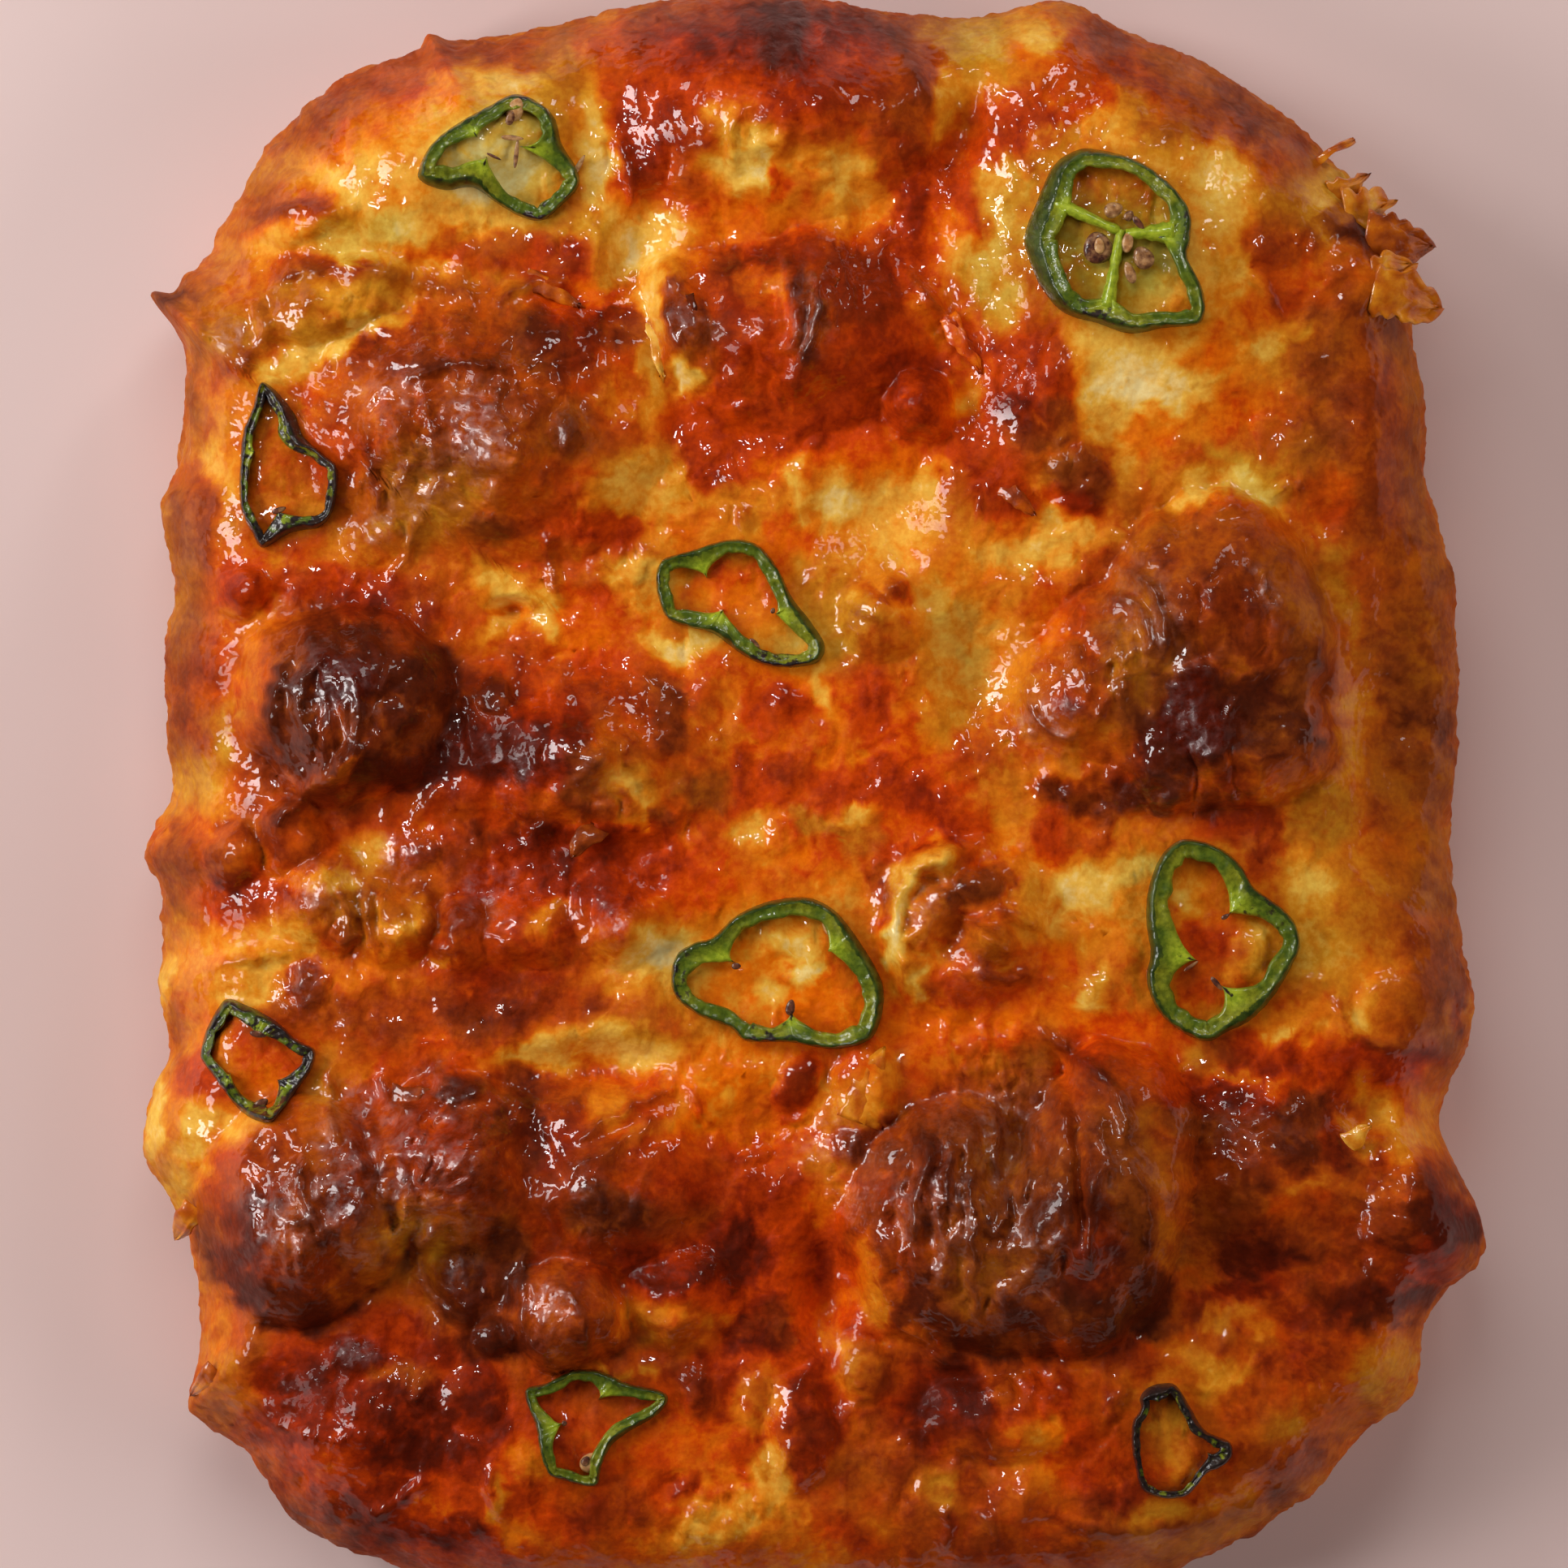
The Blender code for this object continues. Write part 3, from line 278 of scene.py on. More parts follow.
PATCHES = (
    # Far left
    (-84, 92, 5, 13, -30, 0.48, 0.6), (-74, 104, 10, 4, 45, 0.5, 0.65), (-60, 110, 12, 4, 22, 0.52, 0.6),
    (-42, 113, 12, 3, 5, 0.5, 0.7), (-68, 92, 6, 4, 20, 0.22, 0.2), (-61, 85, 5, 4, 0, 0.16, 0.1),
    (-45, 96, 8, 7, 0, 0.1, 0.0), (-46, 107, 7, 2, 10, 0.14, 0.2), (-50, 86, 11, 3.5, 0, 0.34, 1.0),
    (-46, 81, 15, 3, -5, 0.6, 1.0), (-78, 88, 10, 2.5, 12, 0.54, 0.7), (-67, 83, 6, 4, 0, 0.22, 0.0),
    (-78, 83, 6, 3, 10, 0.34, 0.5), (-68, 78.5, 13, 2.5, -5, 0.6, 0.75), (-73, 74, 9, 3, 10, 0.48, 0.9),
    (-68, 69.5, 11, 2.2, 20, 0.17, 0.1), (-95, 75, 3.5, 2, -20, 0.62, 0.4), (-86, 69, 3.5, 5, 0, 0.42, 0.7),
    (-84, 65, 6, 2, 20, 0.52, 0.7), (-78, 64, 5, 2.5, 10, 0.22, 0.2), (-40, 76, 5, 1.5, 0, 0.42, 0.6),
    (-38, 74, 5, 3, 0, 0.5, 1.0), (-38, 68, 9, 5, 0, 0.86, 0.6), (-60, 66, 7, 4, 0, 0.72, 0.7),
    # Far middle
    (-5, 113, 4, 7, 0, 0.7, 0.6), (8, 110, 8, 7, 0, 0.7, 0.7), (-20, 112, 9, 6, 0, 0.6, 0.8),
    (-30, 108, 4, 6, 0, 0.48, 0.8), (-12, 104, 5, 5, 0, 0.36, 0.5), (-10, 95, 6.5, 6, 0, 0.1, 0.05),
    (-14, 101, 3, 4, 20, 0.16, 0.1), (-25, 96, 4, 6, 0, 0.62, 1.0), (-5, 91, 1.6, 3.5, 0, 0.55, 1.0),
    (3, 93, 6, 5, 0, 0.28, 0.4), (-23, 83, 8, 4, 30, 0.12, 0.1), (-32, 99, 3, 12, 5, 0.13, 0.1),
    (-12, 87, 8, 3, 0, 0.45, 0.85), (-2, 82, 13, 2.5, 0, 0.72, 0.85), (14, 90, 4, 13, 0, 0.62, 0.95),
    (21, 96, 4, 3, 20, 0.56, 1.0), (-10, 79, 6, 3, 0, 0.72, 0.7), (-7, 77, 5, 3, 0, 0.42, 0.5),
    (0, 72, 3.5, 8, 8, 0.84, 0.4), (8, 75, 5, 6, 0, 0.72, 0.85), (-18, 72, 2.8, 6, 30, 0.78, 0.5),
    (-23, 73, 1.5, 5, 0, 0.24, 0.3), (-24, 65, 1.6, 6, 15, 0.24, 0.2), (-18, 63, 2, 4, 10, 0.14, 0.2),
    (-30, 70, 6, 4, 0, 0.85, 0.5), (-10, 65, 7, 4, 0, 0.6, 1.0), (8, 66, 8, 5, 0, 0.6, 1.0),
    (16, 62, 6, 5, 0, 0.68, 1.0), (16, 75, 3, 4, 0, 0.4, 0.6), (24, 66, 3, 6, 15, 0.42, 0.9),
    (21, 83, 2.4, 5, 0, 0.14, 0.2), (25, 79, 4, 5, 0, 0.2, 0.05), (28, 90, 3, 9, 0, 0.1, 0.05),
    (23, 90, 1.8, 6, 0, 0.4, 0.9), (28, 74, 4, 4, 0, 0.22, 0.15), (22, 112, 7, 6, 0, 0.3, 0.0),
    (31, 116, 5, 4, 0, 0.34, 0.3), (19, 104, 2.5, 5, 15, 0.25, 0.15), (28, 99, 9, 3, 22, 0.52, 1.0),
    (15, 106, 4, 7, -25, 0.64, 0.5),
    # Far right
    (37, 117, 7, 3, -20, 0.48, 0.7), (45, 111, 7, 3, -35, 0.6, 0.7), (34, 111, 5, 3, 0, 0.38, 0.7),
    (34, 114, 4, 1.6, 20, 0.18, 0.2), (38, 102, 9, 2.4, 20, 0.5, 1.0), (47, 107, 5, 3, 0, 0.58, 0.8),
    (58, 106, 9, 3, -30, 0.52, 0.45), (67, 101, 8, 4.5, -40, 0.6, 0.5), (72, 96, 4, 4, 0, 0.55, 0.6),
    (50, 98, 10, 4, -10, 0.17, 0.15), (60, 92, 6, 7, 0, 0.16, 0.15), (45, 83, 10, 11, 0, 0.24, 0.1),
    (50, 103, 6, 3, -20, 0.3, 0.3), (61, 80, 4, 6, 0, 0.27, 0.3), (69, 83, 5, 4.5, -20, 0.6, 0.75),
    (71, 77, 3, 5, 10, 0.6, 0.75), (66, 74, 5, 3, 0, 0.46, 0.8), (78, 92, 6, 5, -40, 0.28, 0.3),
    (80, 86, 5, 3.5, -20, 0.74, 0.6), (86, 83, 4, 3, -20, 0.6, 0.5), (84, 78, 4, 4, 0, 0.42, 0.5),
    (88, 74, 4, 4, 0, 0.46, 0.3), (86, 67, 5, 6, 0, 0.68, 0.35), (76, 68, 6, 5, 0, 0.6, 0.6),
    (70, 68, 3.5, 3, 0, 0.26, 0.3), (59, 66, 5, 3, 0, 0.38, 0.95), (48, 65, 6, 3.5, 0, 0.13, 0.15),
    (41, 67, 4, 4, 0, 0.18, 0.2), (35, 66, 3.5, 6, 0, 0.5, 1.0),
    # Middle left
    (-93, 54, 2.5, 7, 0, 0.34, 0.5), (-92, 40, 3.5, 12, 0, 0.52, 0.65), (-87, 50, 3, 12, 0, 0.28, 0.35),
    (-84, 32, 4, 5, 10, 0.66, 1.0), (-82, 38, 2, 4, 0, 0.5, 1.0), (-78, 47, 6, 8, 0, 0.48, 1.0),
    (-68, 50, 8, 9, 0, 0.6, 0.9), (-65, 39, 6, 3.5, 0, 0.38, 0.8), (-73, 33, 9, 3.5, 0, 0.62, 1.0),
    (-66, 30, 10, 2, 0, 0.64, 0.8), (-58, 15, 8, 9, 0, 0.96, 0.5), (-60, 5, 8, 4, 0, 0.96, 0.5),
    (-76, 14, 5, 10, 0, 0.78, 0.45), (-70, 22, 8, 5, 0, 0.84, 0.6), (-45, 32, 7, 2.6, -10, 0.16, 0.1),
    (-39, 28, 2.4, 3.5, 0, 0.2, 0.2), (-54, 30, 7, 3, 0, 0.35, 0.3), (-45, 26, 6, 2, 10, 0.26, 0.3),
    (-43, 37, 6, 2.5, 0, 0.42, 0.85), (-47, 41, 4, 2, 0, 0.62, 0.6), (-45, 46, 7, 3, 0, 0.62, 0.8),
    (-47, 16, 3.5, 3.5, 0, 0.76, 0.7), (-39, 13, 4, 4, 0, 0.5, 1.0), (-88, 20, 4, 6, 0, 0.42, 0.7),
    (-87, 11, 3, 5, 0, 0.25, 0.1), (-93, 15, 3, 6, 0, 0.45, 0.7), (-83.5, 15, 2, 10, 0, 0.5, 0.5),
    (-92, 3, 4, 4, 0, 0.2, 0.1), (-70, 4, 5, 1.8, 40, 0.46, 0.5), (-52, 56, 10, 8, 0, 0.68, 0.8),
    (-36, 56, 5, 6, 0, 0.7, 0.7),
    # Middle
    (-27, 60, 5, 4, 0, 0.52, 0.6), (-35, 57, 3, 5, 0, 0.76, 0.6), (-22, 57, 4, 6, 10, 0.34, 0.3),
    (-24, 47, 10, 5, 10, 0.24, 0.25), (-31, 41, 6, 4, 0, 0.58, 0.95), (-26, 34, 6, 3, 10, 0.2, 0.3),
    (-14, 56, 9, 7, 0, 0.58, 1.0), (-14, 50, 6, 4, 0, 0.6, 1.0), (-5, 51, 6, 3.5, 0, 0.36, 0.9),
    (-3, 50, 2.5, 3, 0, 0.22, 0.3), (4, 43.5, 5, 3, -8, 0.05, 0.1), (-4, 48, 4, 1.2, -45, 0.12, 0.2),
    (8, 40, 2.4, 2, 0, 0.28, 0.9), (14, 40, 9, 5, 0, 0.16, 0.15), (18, 47, 3, 6, -12, 0.12, 0.15),
    (-3, 39, 5, 6, 0, 0.46, 1.0), (12, 58, 7, 4, 0, 0.7, 1.0), (4, 57, 8, 4, 0, 0.6, 1.0),
    (23, 60, 4, 3, 0, 0.3, 0.5), (32, 57, 4, 5, 0, 0.74, 0.5), (26, 50, 6, 4, -40, 0.58, 0.95),
    (29, 45, 4, 4, -30, 0.58, 0.95), (28, 37, 8, 3, 0, 0.24, 0.25), (6, 35, 8, 3, 0, 0.34, 0.4),
    (9, 29, 3.6, 2.2, 0, 0.22, 0.7), (12.5, 32, 2.2, 2, 0, 0.64, 0.8), (-13, 33, 7, 3, 0, 0.5, 0.95),
    (-5, 25, 5, 4, 0, 0.28, 0.4), (-19, 24, 7, 2.6, -5, 0.1, 0.1), (-33, 28, 5, 5, 0, 0.46, 1.0),
    (-24, 30, 4, 3, 0, 0.3, 0.7), (-33, 14, 5, 6, 0, 0.7, 0.7), (-21, 14, 4, 7, 0, 0.78, 0.4),
    (-28, 9, 5, 4, 0, 0.6, 0.8), (-34, 4, 4, 5, 0, 0.86, 0.5), (-14, 12, 5, 4, -20, 0.5, 0.55),
    (-10, 20, 9, 2.5, 0, 0.4, 0.9), (-5, 14, 6, 4, 0, 0.56, 1.0), (2, 17, 2, 6, 0, 0.24, 0.3),
    (8, 20, 3.5, 4, 0, 0.5, 1.0), (9, 13, 3, 5, 0, 0.6, 1.0), (13, 13, 1.8, 7, 0, 0.3, 0.5),
    (20, 15, 5, 10, -8, 0.25, 0.0), (20, 28, 5, 5, 0, 0.3, 0.1), (30, 31, 5, 4, 0, 0.36, 0.6),
    (27, 8, 5, 6, 0, 0.44, 0.9), (6, 4, 8, 3, 0, 0.58, 1.0), (-6, 5, 7, 3, 0, 0.6, 0.8),
    # Middle right
    (48, 60, 9, 4, 0, 0.09, 0.1), (45, 53, 6, 5, 0, 0.33, 0.25), (51, 55, 5, 4, 0, 0.42, 0.7),
    (57, 47, 4, 3, 0, 0.18, 0.15), (65, 47, 4, 2.4, 0, 0.16, 0.05), (63, 52, 5, 3, 0, 0.3, 0.0),
    (35, 57, 4, 5, 0, 0.74, 0.4), (40, 49, 5, 5, 0, 0.62, 0.5), (38, 44, 5, 3, 0, 0.6, 1.0),
    (42, 40, 5, 2, 0, 0.26, 0.3), (36, 39, 4, 4, 0, 0.2, 0.3), (66, 57, 10, 6, 0, 0.5, 0.8),
    (83, 50, 7, 15, 0, 0.68, 0.5), (76, 45, 5, 4, 0, 0.58, 0.9), (73, 39, 5, 3, 0, 0.5, 0.7),
    (53, 38, 9, 4, 10, 0.48, 0.25), (61, 41, 6, 3, 0, 0.52, 0.4), (60, 30, 12, 12, 0, 0.6, 0.4),
    (62, 28, 5, 6, 0, 0.6, 0.5), (73, 26, 2.6, 10, -8, 0.56, 0.25), (35, 30, 4, 8, 0, 0.4, 0.9),
    # Partly painted shade: (60, 15) at the end of this line and (51, 11) on the next lie under the bubble's
    # lower side
    (42, 28, 5, 6, 0, 0.58, 0.8), (48, 32, 3, 4, 0, 0.5, 0.4), (60, 15, 13, 4, -3, 0.86, 0.7),
    (51, 11, 5, 5, 0, 0.92, 0.5), (43, 8, 6, 4, 20, 0.62, 0.5), (70, 12, 7, 4, 20, 0.76, 0.4),
    (76, 15, 2.4, 6, 0, 0.54, 0.7), (63, 5, 5, 3, 0, 0.64, 0.6), (54, 8, 3, 4, 0, 0.86, 0.4),
    (58, 4, 3, 2.4, 0, 0.5, 0.4), (79, 29, 4, 9, 0, 0.34, 0.05), (80, 11, 3, 8, 0, 0.32, 0.05),
    (86, 33, 6, 6, 0, 0.5, 0.5), (87, 23, 5, 4, 0, 0.47, 0.4), (88, 15, 5, 6, 20, 0.66, 0.45),
    (93, 27, 3, 8, 0, 0.56, 0.5), (95, 12, 2.5, 8, 0, 0.6, 0.5), (93, 38, 3, 3, 0, 0.42, 0.5),
    (88, 7, 4.5, 3, 0, 0.44, 0.5),
    # Between middle and near end, left
    (-90, 2, 4, 5, 0, 0.22, 0.1), (-96, 0, 3, 3, 0, 0.26, 0.4), (-94, -6, 4, 4, 0, 0.42, 0.7),
    (-93, -9, 3.4, 4.5, 0, 0.42, 0.6), (-96, -14, 2, 5, 0, 0.44, 0.5), (-86, -9, 4.5, 5, 0, 0.68, 0.4),
    (-85, -4, 4, 3, 0, 0.66, 0.6), (-76, -5, 5, 4, 0, 0.72, 0.7), (-66, -7, 5.5, 3, 0, 0.3, 0.3),
    (-75, -12, 9, 2, 5, 0.3, 0.5), (-72, -17, 7, 5, 0, 0.6, 0.9), (-66, -17, 4, 5, 0, 0.62, 0.85),
    (-60, -19, 3.5, 3.5, 0, 0.36, 0.8), (-50, -22, 12, 4.5, 0, 0.56, 0.85),
    (-47, -8, 10, 4.5, 0, 0.72, 0.75), (-40, -6, 5, 4, 0, 0.74, 0.8), (-38, -17, 4, 3, 0, 0.3, 0.4),
    (-55, -22.5, 1.6, 1.6, 0, 0.3, 0.5), (-85, -19, 12, 3.5, 0, 0.22, 0.2), (-80, -22, 6, 3, 0, 0.24, 0.3),
    (-84, -27, 6, 2, 0, 0.22, 0.2), (-96, -27, 2, 5, 0, 0.2, 0.3), (-94, -35, 3, 6, 0, 0.4, 0.6),
    (-91, -41, 4, 4, 0, 0.56, 0.95), (-74, -27, 3, 4, 0, 0.6, 0.7), (-65, -25, 5, 3, 0, 0.34, 0.8),
    (-60, -32, 16, 4, 0, 0.52, 0.85), (-50, -33, 8, 3, 0, 0.58, 0.8), (-40, -37, 9, 3, 10, 0.22, 0.2),
    (-80, -38, 6, 5, 0, 0.46, 0.95), (-98, -46, 2.4, 8, 0, 0.12, 0.15), (-91, -50, 3, 7, 0, 0.24, 0.1),
    (-84, -47, 5, 3, 0, 0.26, 0.4), (-83, -56, 4, 5, 0, 0.58, 0.7), (-52, -42, 4.5, 3, 0, 0.74, 0.5),
    (-66, -44, 5, 4, 0, 0.62, 0.8), (-55, -50, 7, 6, 0, 0.6, 0.85), (-43, -46, 4, 8, 0, 0.76, 0.5),
    (-72, -52, 6, 7, 0, 0.64, 0.8),
    # Between middle and near end, middle
    (-31, 0, 5, 4, 0, 0.76, 0.8), (-23, -3, 3, 3, 0, 0.8, 0.5), (-24, 2, 3, 3, 0, 0.48, 0.6),
    (-15, 2, 4, 3, 0, 0.54, 0.5), (-26, -8, 9, 4, 0, 0.62, 1.0), (-32, -13, 6, 3, 0, 0.66, 1.0),
    (-17, -13, 7, 4, 10, 0.44, 1.0), (-22, -22, 6, 4, 10, 0.28, 0.5), (-33, -20, 6, 5, 0, 0.58, 0.85),
    (-8, -5, 5, 4, 0, 0.28, 0.4), (-2, -6, 4, 4, 0, 0.4, 0.9), (2, -3, 5, 1.6, -10, 0.46, 0.1),
    (6, -1, 3.5, 2, 0, 0.18, 0.3), (7, -5, 3, 3, 0, 0.5, 0.2), (4, -13, 5, 4, 0, 0.33, 0.7),
    (14, 1, 6, 3, 0, 0.56, 1.0), (21, -3, 5, 3, 0, 0.55, 1.0), (25, 1, 4, 3, 0, 0.42, 0.9),
    (-3, -21, 3.5, 2, 0, 0.2, 0.5), (0, -25.5, 3, 3, 20, 0.08, 0.2), (-6, -28, 3.5, 3, 0, 0.2, 0.4),
    (-14, -26, 4, 3, 0, 0.42, 0.8), (4, -29, 5, 3, 0, 0.36, 1.0), (14, -11, 3, 3, 40, 0.08, 0.2),
    (12.3, -18, 2.8, 8, 0, 0.1, 0.15), (15, -27, 2, 4, -30, 0.1, 0.2), (18, -8, 4.5, 2.6, 15, 0.1, 0.25),
    (18, -16, 3.6, 5, -25, 0.62, 0.6), (22, -13, 3, 3, 0, 0.76, 0.4), (27, -12, 4, 3, 0, 0.64, 0.4),
    (27, -21, 4.5, 3.5, 0, 0.36, 0.4), (21, -27, 6, 2.6, 0, 0.6, 0.85), (30, -26, 4, 3, 0, 0.5, 0.8),
    (33, -14, 3, 5, 0, 0.26, 0.4), (10, -20, 1.5, 6, 0, 0.42, 1.0), (-26, -35.5, 10, 3.4, -12, 0.18, 0.2),
    (-14, -42, 7, 8, 0, 0.46, 1.0), (-2, -41, 3, 5.5, -35, 0.66, 0.95), (8, -43, 4.5, 5.5, 0, 0.34, 0.35),
    (15, -33, 7, 4, 0, 0.44, 1.0), (25, -36, 5, 2.4, 0, 0.34, 0.7), (17, -42, 5, 3, 0, 0.46, 0.8),
    (6, -51, 3.5, 3, 0, 0.66, 0.7), (12, -50, 4, 4, 0, 0.72, 0.6), (24, -43, 6, 3.5, 0, 0.72, 0.7),
    (-30, -45, 5, 2.4, 20, 0.38, 0.4), (-33, -53, 6, 4, 0, 0.64, 0.7), (-19, -53, 8, 5, 0, 0.58, 0.9),
    (-24, -48, 8, 1.6, 25, 0.46, 0.5),
    # Between middle and near end, right
    (42, 1, 9, 4, 0, 0.78, 0.5), (50, 2, 5, 4, 0, 0.86, 0.4), (60, 1, 6, 3, 0, 0.7, 0.7),
    (63, -3, 6, 3, 0, 0.6, 0.9), (36, -5, 4, 4, 0, 0.54, 1.0), (42, -5, 4, 2.4, 0, 0.54, 0.7),
    (40, -13, 6.5, 3.2, 0, 0.05, 0.1), (48, -10, 5, 3, 30, 0.16, 0.05), (35, -17, 4, 2.4, 0, 0.28, 0.5),
    (45, -18, 5, 2.4, 0, 0.3, 0.7), (55, -14, 3, 3.5, 0, 0.2, 0.2), (58, -20, 4, 3, 0, 0.5, 1.0),
    (56, -27, 4, 3, 0, 0.54, 0.8), (65, -22, 3, 4, 0, 0.12, 0.2), (42, -28, 3.6, 3, 0, 0.12, 0.2),
    (37, -24, 3, 4, 0, 0.44, 1.0), (49, -33, 6, 3, 0, 0.5, 1.0), (42, -36, 6, 3, -20, 0.5, 1.0),
    (67, -6, 3, 6, 0, 0.56, 0.9), (73, -12, 5, 5, 0, 0.2, 0.1), (75, -22, 7, 7, 0, 0.24, 0.1),
    (75, -1, 6, 4, 30, 0.42, 0.0), (86, -4, 7, 5, 0, 0.42, 0.5), (88, -10, 7, 2, 0, 0.46, 0.4),
    (92, -20, 5, 4, 0, 0.46, 0.6), (95, -26, 3, 5, 0, 0.6, 0.5), (96, -31, 1.6, 3.5, 0, 0.76, 0.9),
    (86, -29, 7, 6, 0, 0.36, 0.5), (81, -31, 2, 4, 15, 0.14, 0.3), (86, -38, 8, 3, 0, 0.58, 0.9),
    (70, -33, 2.6, 1.5, 0, 0.12, 0.2), (76, -33, 5, 3, 0, 0.32, 0.6), (62, -33, 4, 2, 0, 0.3, 0.2),
    (67, -37, 7, 3, 0, 0.55, 1.0), (64, -41, 7, 1.8, 0, 0.18, 0.2), (57, -38, 4, 2.4, 0, 0.3, 0.5),
    (64, -48, 12, 6, 0, 0.66, 0.6), (57, -47, 5, 4, 0, 0.7, 0.35), (73, -48, 5, 6, 0, 0.74, 0.3),
    (77, -51, 3, 5, 0, 0.64, 0.9), (84, -45, 3.5, 8, 30, 0.24, 0.1), (80, -49, 2.4, 3, 20, 0.2, 0.3),
    (88, -51, 4, 3, 0, 0.34, 0.4), (92, -45, 3, 6, 0, 0.42, 0.5), (45, -48, 5, 10, 0, 0.62, 0.65),
    # Near left
    (-95, -58, 4, 6, -30, 0.26, 0.25), (-92.5, -62.5, 1.6, 1.4, 0, 0.62, 0.9),
    # Partly painted shade: (-77, -75) on the next line lies on the dome's lower slope
    (-77, -64, 9, 10, 0, 0.78, 0.85), (-89, -67, 2.4, 9, 10, 0.6, 0.35), (-77, -75, 10, 4, -10, 0.88, 0.6),
    (-67, -58, 6, 6, 0, 0.72, 0.8), (-61, -63, 2, 6, -15, 0.5, 0.95), (-54, -58, 6, 3, 0, 0.56, 0.95),
    (-56, -69, 2, 6, 0, 0.56, 0.45), (-52, -70, 4, 5, 0, 0.86, 0.5), (-45, -66, 3, 7, 0, 0.86, 0.35),
    (-37, -75, 7, 7, 0, 0.62, 0.5), (-46, -80, 6, 4, 0, 0.7, 0.6), (-63, -77, 6, 3, 0, 0.62, 1.0),
    (-66, -82, 5.5, 3, 0, 0.58, 1.0), (-61, -85, 5.5, 2.2, 15, 0.34, 0.15), (-80, -84, 6, 4, 0, 0.6, 0.8),
    (-87, -84, 4, 11, 15, 0.42, 0.7), (-87, -74, 3, 5, 30, 0.28, 0.5), (-73, -84, 6, 4, 0, 0.58, 0.9),
    (-77, -92, 7, 1.4, -20, 0.32, 0.5), (-77, -97, 7, 4, 0, 0.46, 0.65), (-84, -98, 6, 3, -50, 0.55, 0.4),
    (-60, -90, 8, 4, 0, 0.56, 0.8), (-58, -96, 11, 2.6, 0, 0.8, 0.8), (-67, -98, 4, 3, 0, 0.6, 0.8),
    (-49, -90, 5, 7, 0, 0.58, 1.0), (-65, -104, 8, 3, 15, 0.76, 0.7), (-56, -102, 4, 3, 0, 0.46, 0.8),
    (-56, -108, 9, 3, 0, 0.76, 0.7), (-75, -107, 7, 2.4, -40, 0.5, 0.5), (-47, -102, 1.8, 5, 0, 0.17, 0.3),
    (-42, -97, 5, 4, 0, 0.22, 0.35), (-39, -104, 5, 3.4, 0, 0.58, 1.0), (-43, -108, 4, 2.4, 0, 0.34, 0.6),
    # Near middle
    (-30, -60, 6, 5, 0, 0.78, 0.3), (-20, -57, 8, 3, 0, 0.58, 1.0), (-20, -63, 6, 3, 0, 0.64, 0.6),
    (-20, -69, 12, 3.4, 0, 0.72, 0.9), (-10, -67, 6, 4, 0, 0.8, 0.9), (-15, -74, 6, 3, 15, 0.32, 0.25),
    (-24, -77, 6, 3.4, 20, 0.34, 0.3), (-17, -80, 5, 2, 15, 0.4, 0.5), (-27, -83.6, 6, 1.5, 0, 0.1, 0.1),
    (-8, -77, 5, 5, 0, 0.78, 0.7), (-7, -58, 7, 4, 0, 0.54, 1.0), (-2, -69, 3, 3.4, 0, 0.34, 0.6),
    (4, -73, 6, 5, 0, 0.47, 1.0), (8, -67, 2.4, 6, 0, 0.32, 0.7), (10, -75, 2, 4, 20, 0.26, 0.5),
    (15, -79, 5, 1.6, -30, 0.38, 0.8), (8, -84, 4, 5, 0, 0.3, 0.45), (3, -80, 3, 2, 0, 0.36, 0.5),
    (-14, -86, 4, 5, 0, 0.6, 0.9), (-22, -93, 8, 4, 15, 0.42, 1.0), (-8, -88, 3, 6, 0, 0.3, 0.6),
    (-10, -96, 3.4, 3, 0, 0.58, 1.0), (-5, -99, 4, 5, 0, 0.25, 0.3), (0, -92, 4.4, 9, 0, 0.72, 0.9),
    (-12, -105, 9, 4, 15, 0.14, 0.25), (-20, -101, 5, 2.4, 0, 0.6, 1.0), (-30, -104, 8, 4, 0, 0.64, 0.9),
    (18, -88, 10, 7, 0, 0.64, 0.65), (28, -87, 2.8, 2.2, 0, 0.25, 0.4), (11, -98, 7, 4, 0, 0.5, 0.5),
    (19, -101, 5, 4, 0, 0.15, 0.15), (10, -105, 7, 3, 0, 0.42, 0.5), (25, -102, 3, 4, 0, 0.55, 1.0),
    (32, -101, 5, 5, 0, 0.38, 0.6), (33, -92, 4, 3, 0, 0.34, 0.6), (5, -109, 7, 3, 0, 0.56, 0.9),
    (21, -58, 8, 12, 0, 0.76, 0.7), (20, -73, 7, 6, 0, 0.88, 0.5), (30, -78, 12, 4, 0, 0.86, 0.5),
    (12, -62, 3, 8, 0, 0.62, 0.8),
    # Near right
    # Partly painted shade: (45, -75) on this line and (50, -73) on the next lie under the big bubble's lower
    # edge
    (46, -62, 5, 9, 0, 0.66, 0.6), (53, -62, 3, 10, 0, 0.62, 0.35), (45, -75, 10, 4, 0, 0.86, 0.3),
    (50, -73, 4, 3, 0, 0.94, 0.4), (62, -59, 6, 6, 0, 0.7, 0.5), (67, -66, 9, 4, 0, 0.82, 0.85),
    (62, -72, 7, 2, 10, 0.64, 1.0), (75, -57, 6, 2.6, 0, 0.34, 0.4), (73, -61, 5, 3, 0, 0.5, 0.85),
    (78, -65, 8, 4, 0, 0.6, 0.7), (84, -57, 5, 2, 0, 0.42, 0.5), (90, -61, 5, 3, -20, 0.72, 0.4),
    (97, -57, 3, 4, 30, 0.42, 0.4), (95, -63, 4, 3, 0, 0.78, 0.3), (92, -68, 5, 4, 0, 0.45, 0.8),
    (88, -75, 9, 2.6, 20, 0.68, 0.3), (80, -72, 7, 4, 0, 0.64, 0.6), (61, -76, 5, 2.4, 0, 0.22, 0.3),
    (66, -79, 4, 2, -30, 0.28, 0.5), (75, -77, 6, 3, 0, 0.54, 0.7), (73, -83, 7, 3, 0, 0.6, 0.75),
    (59, -84, 6.5, 3.6, -10, 0.15, 0.2), (66, -88, 4, 3, 0, 0.48, 0.6), (85, -84, 6.5, 6, 0, 0.36, 0.25),
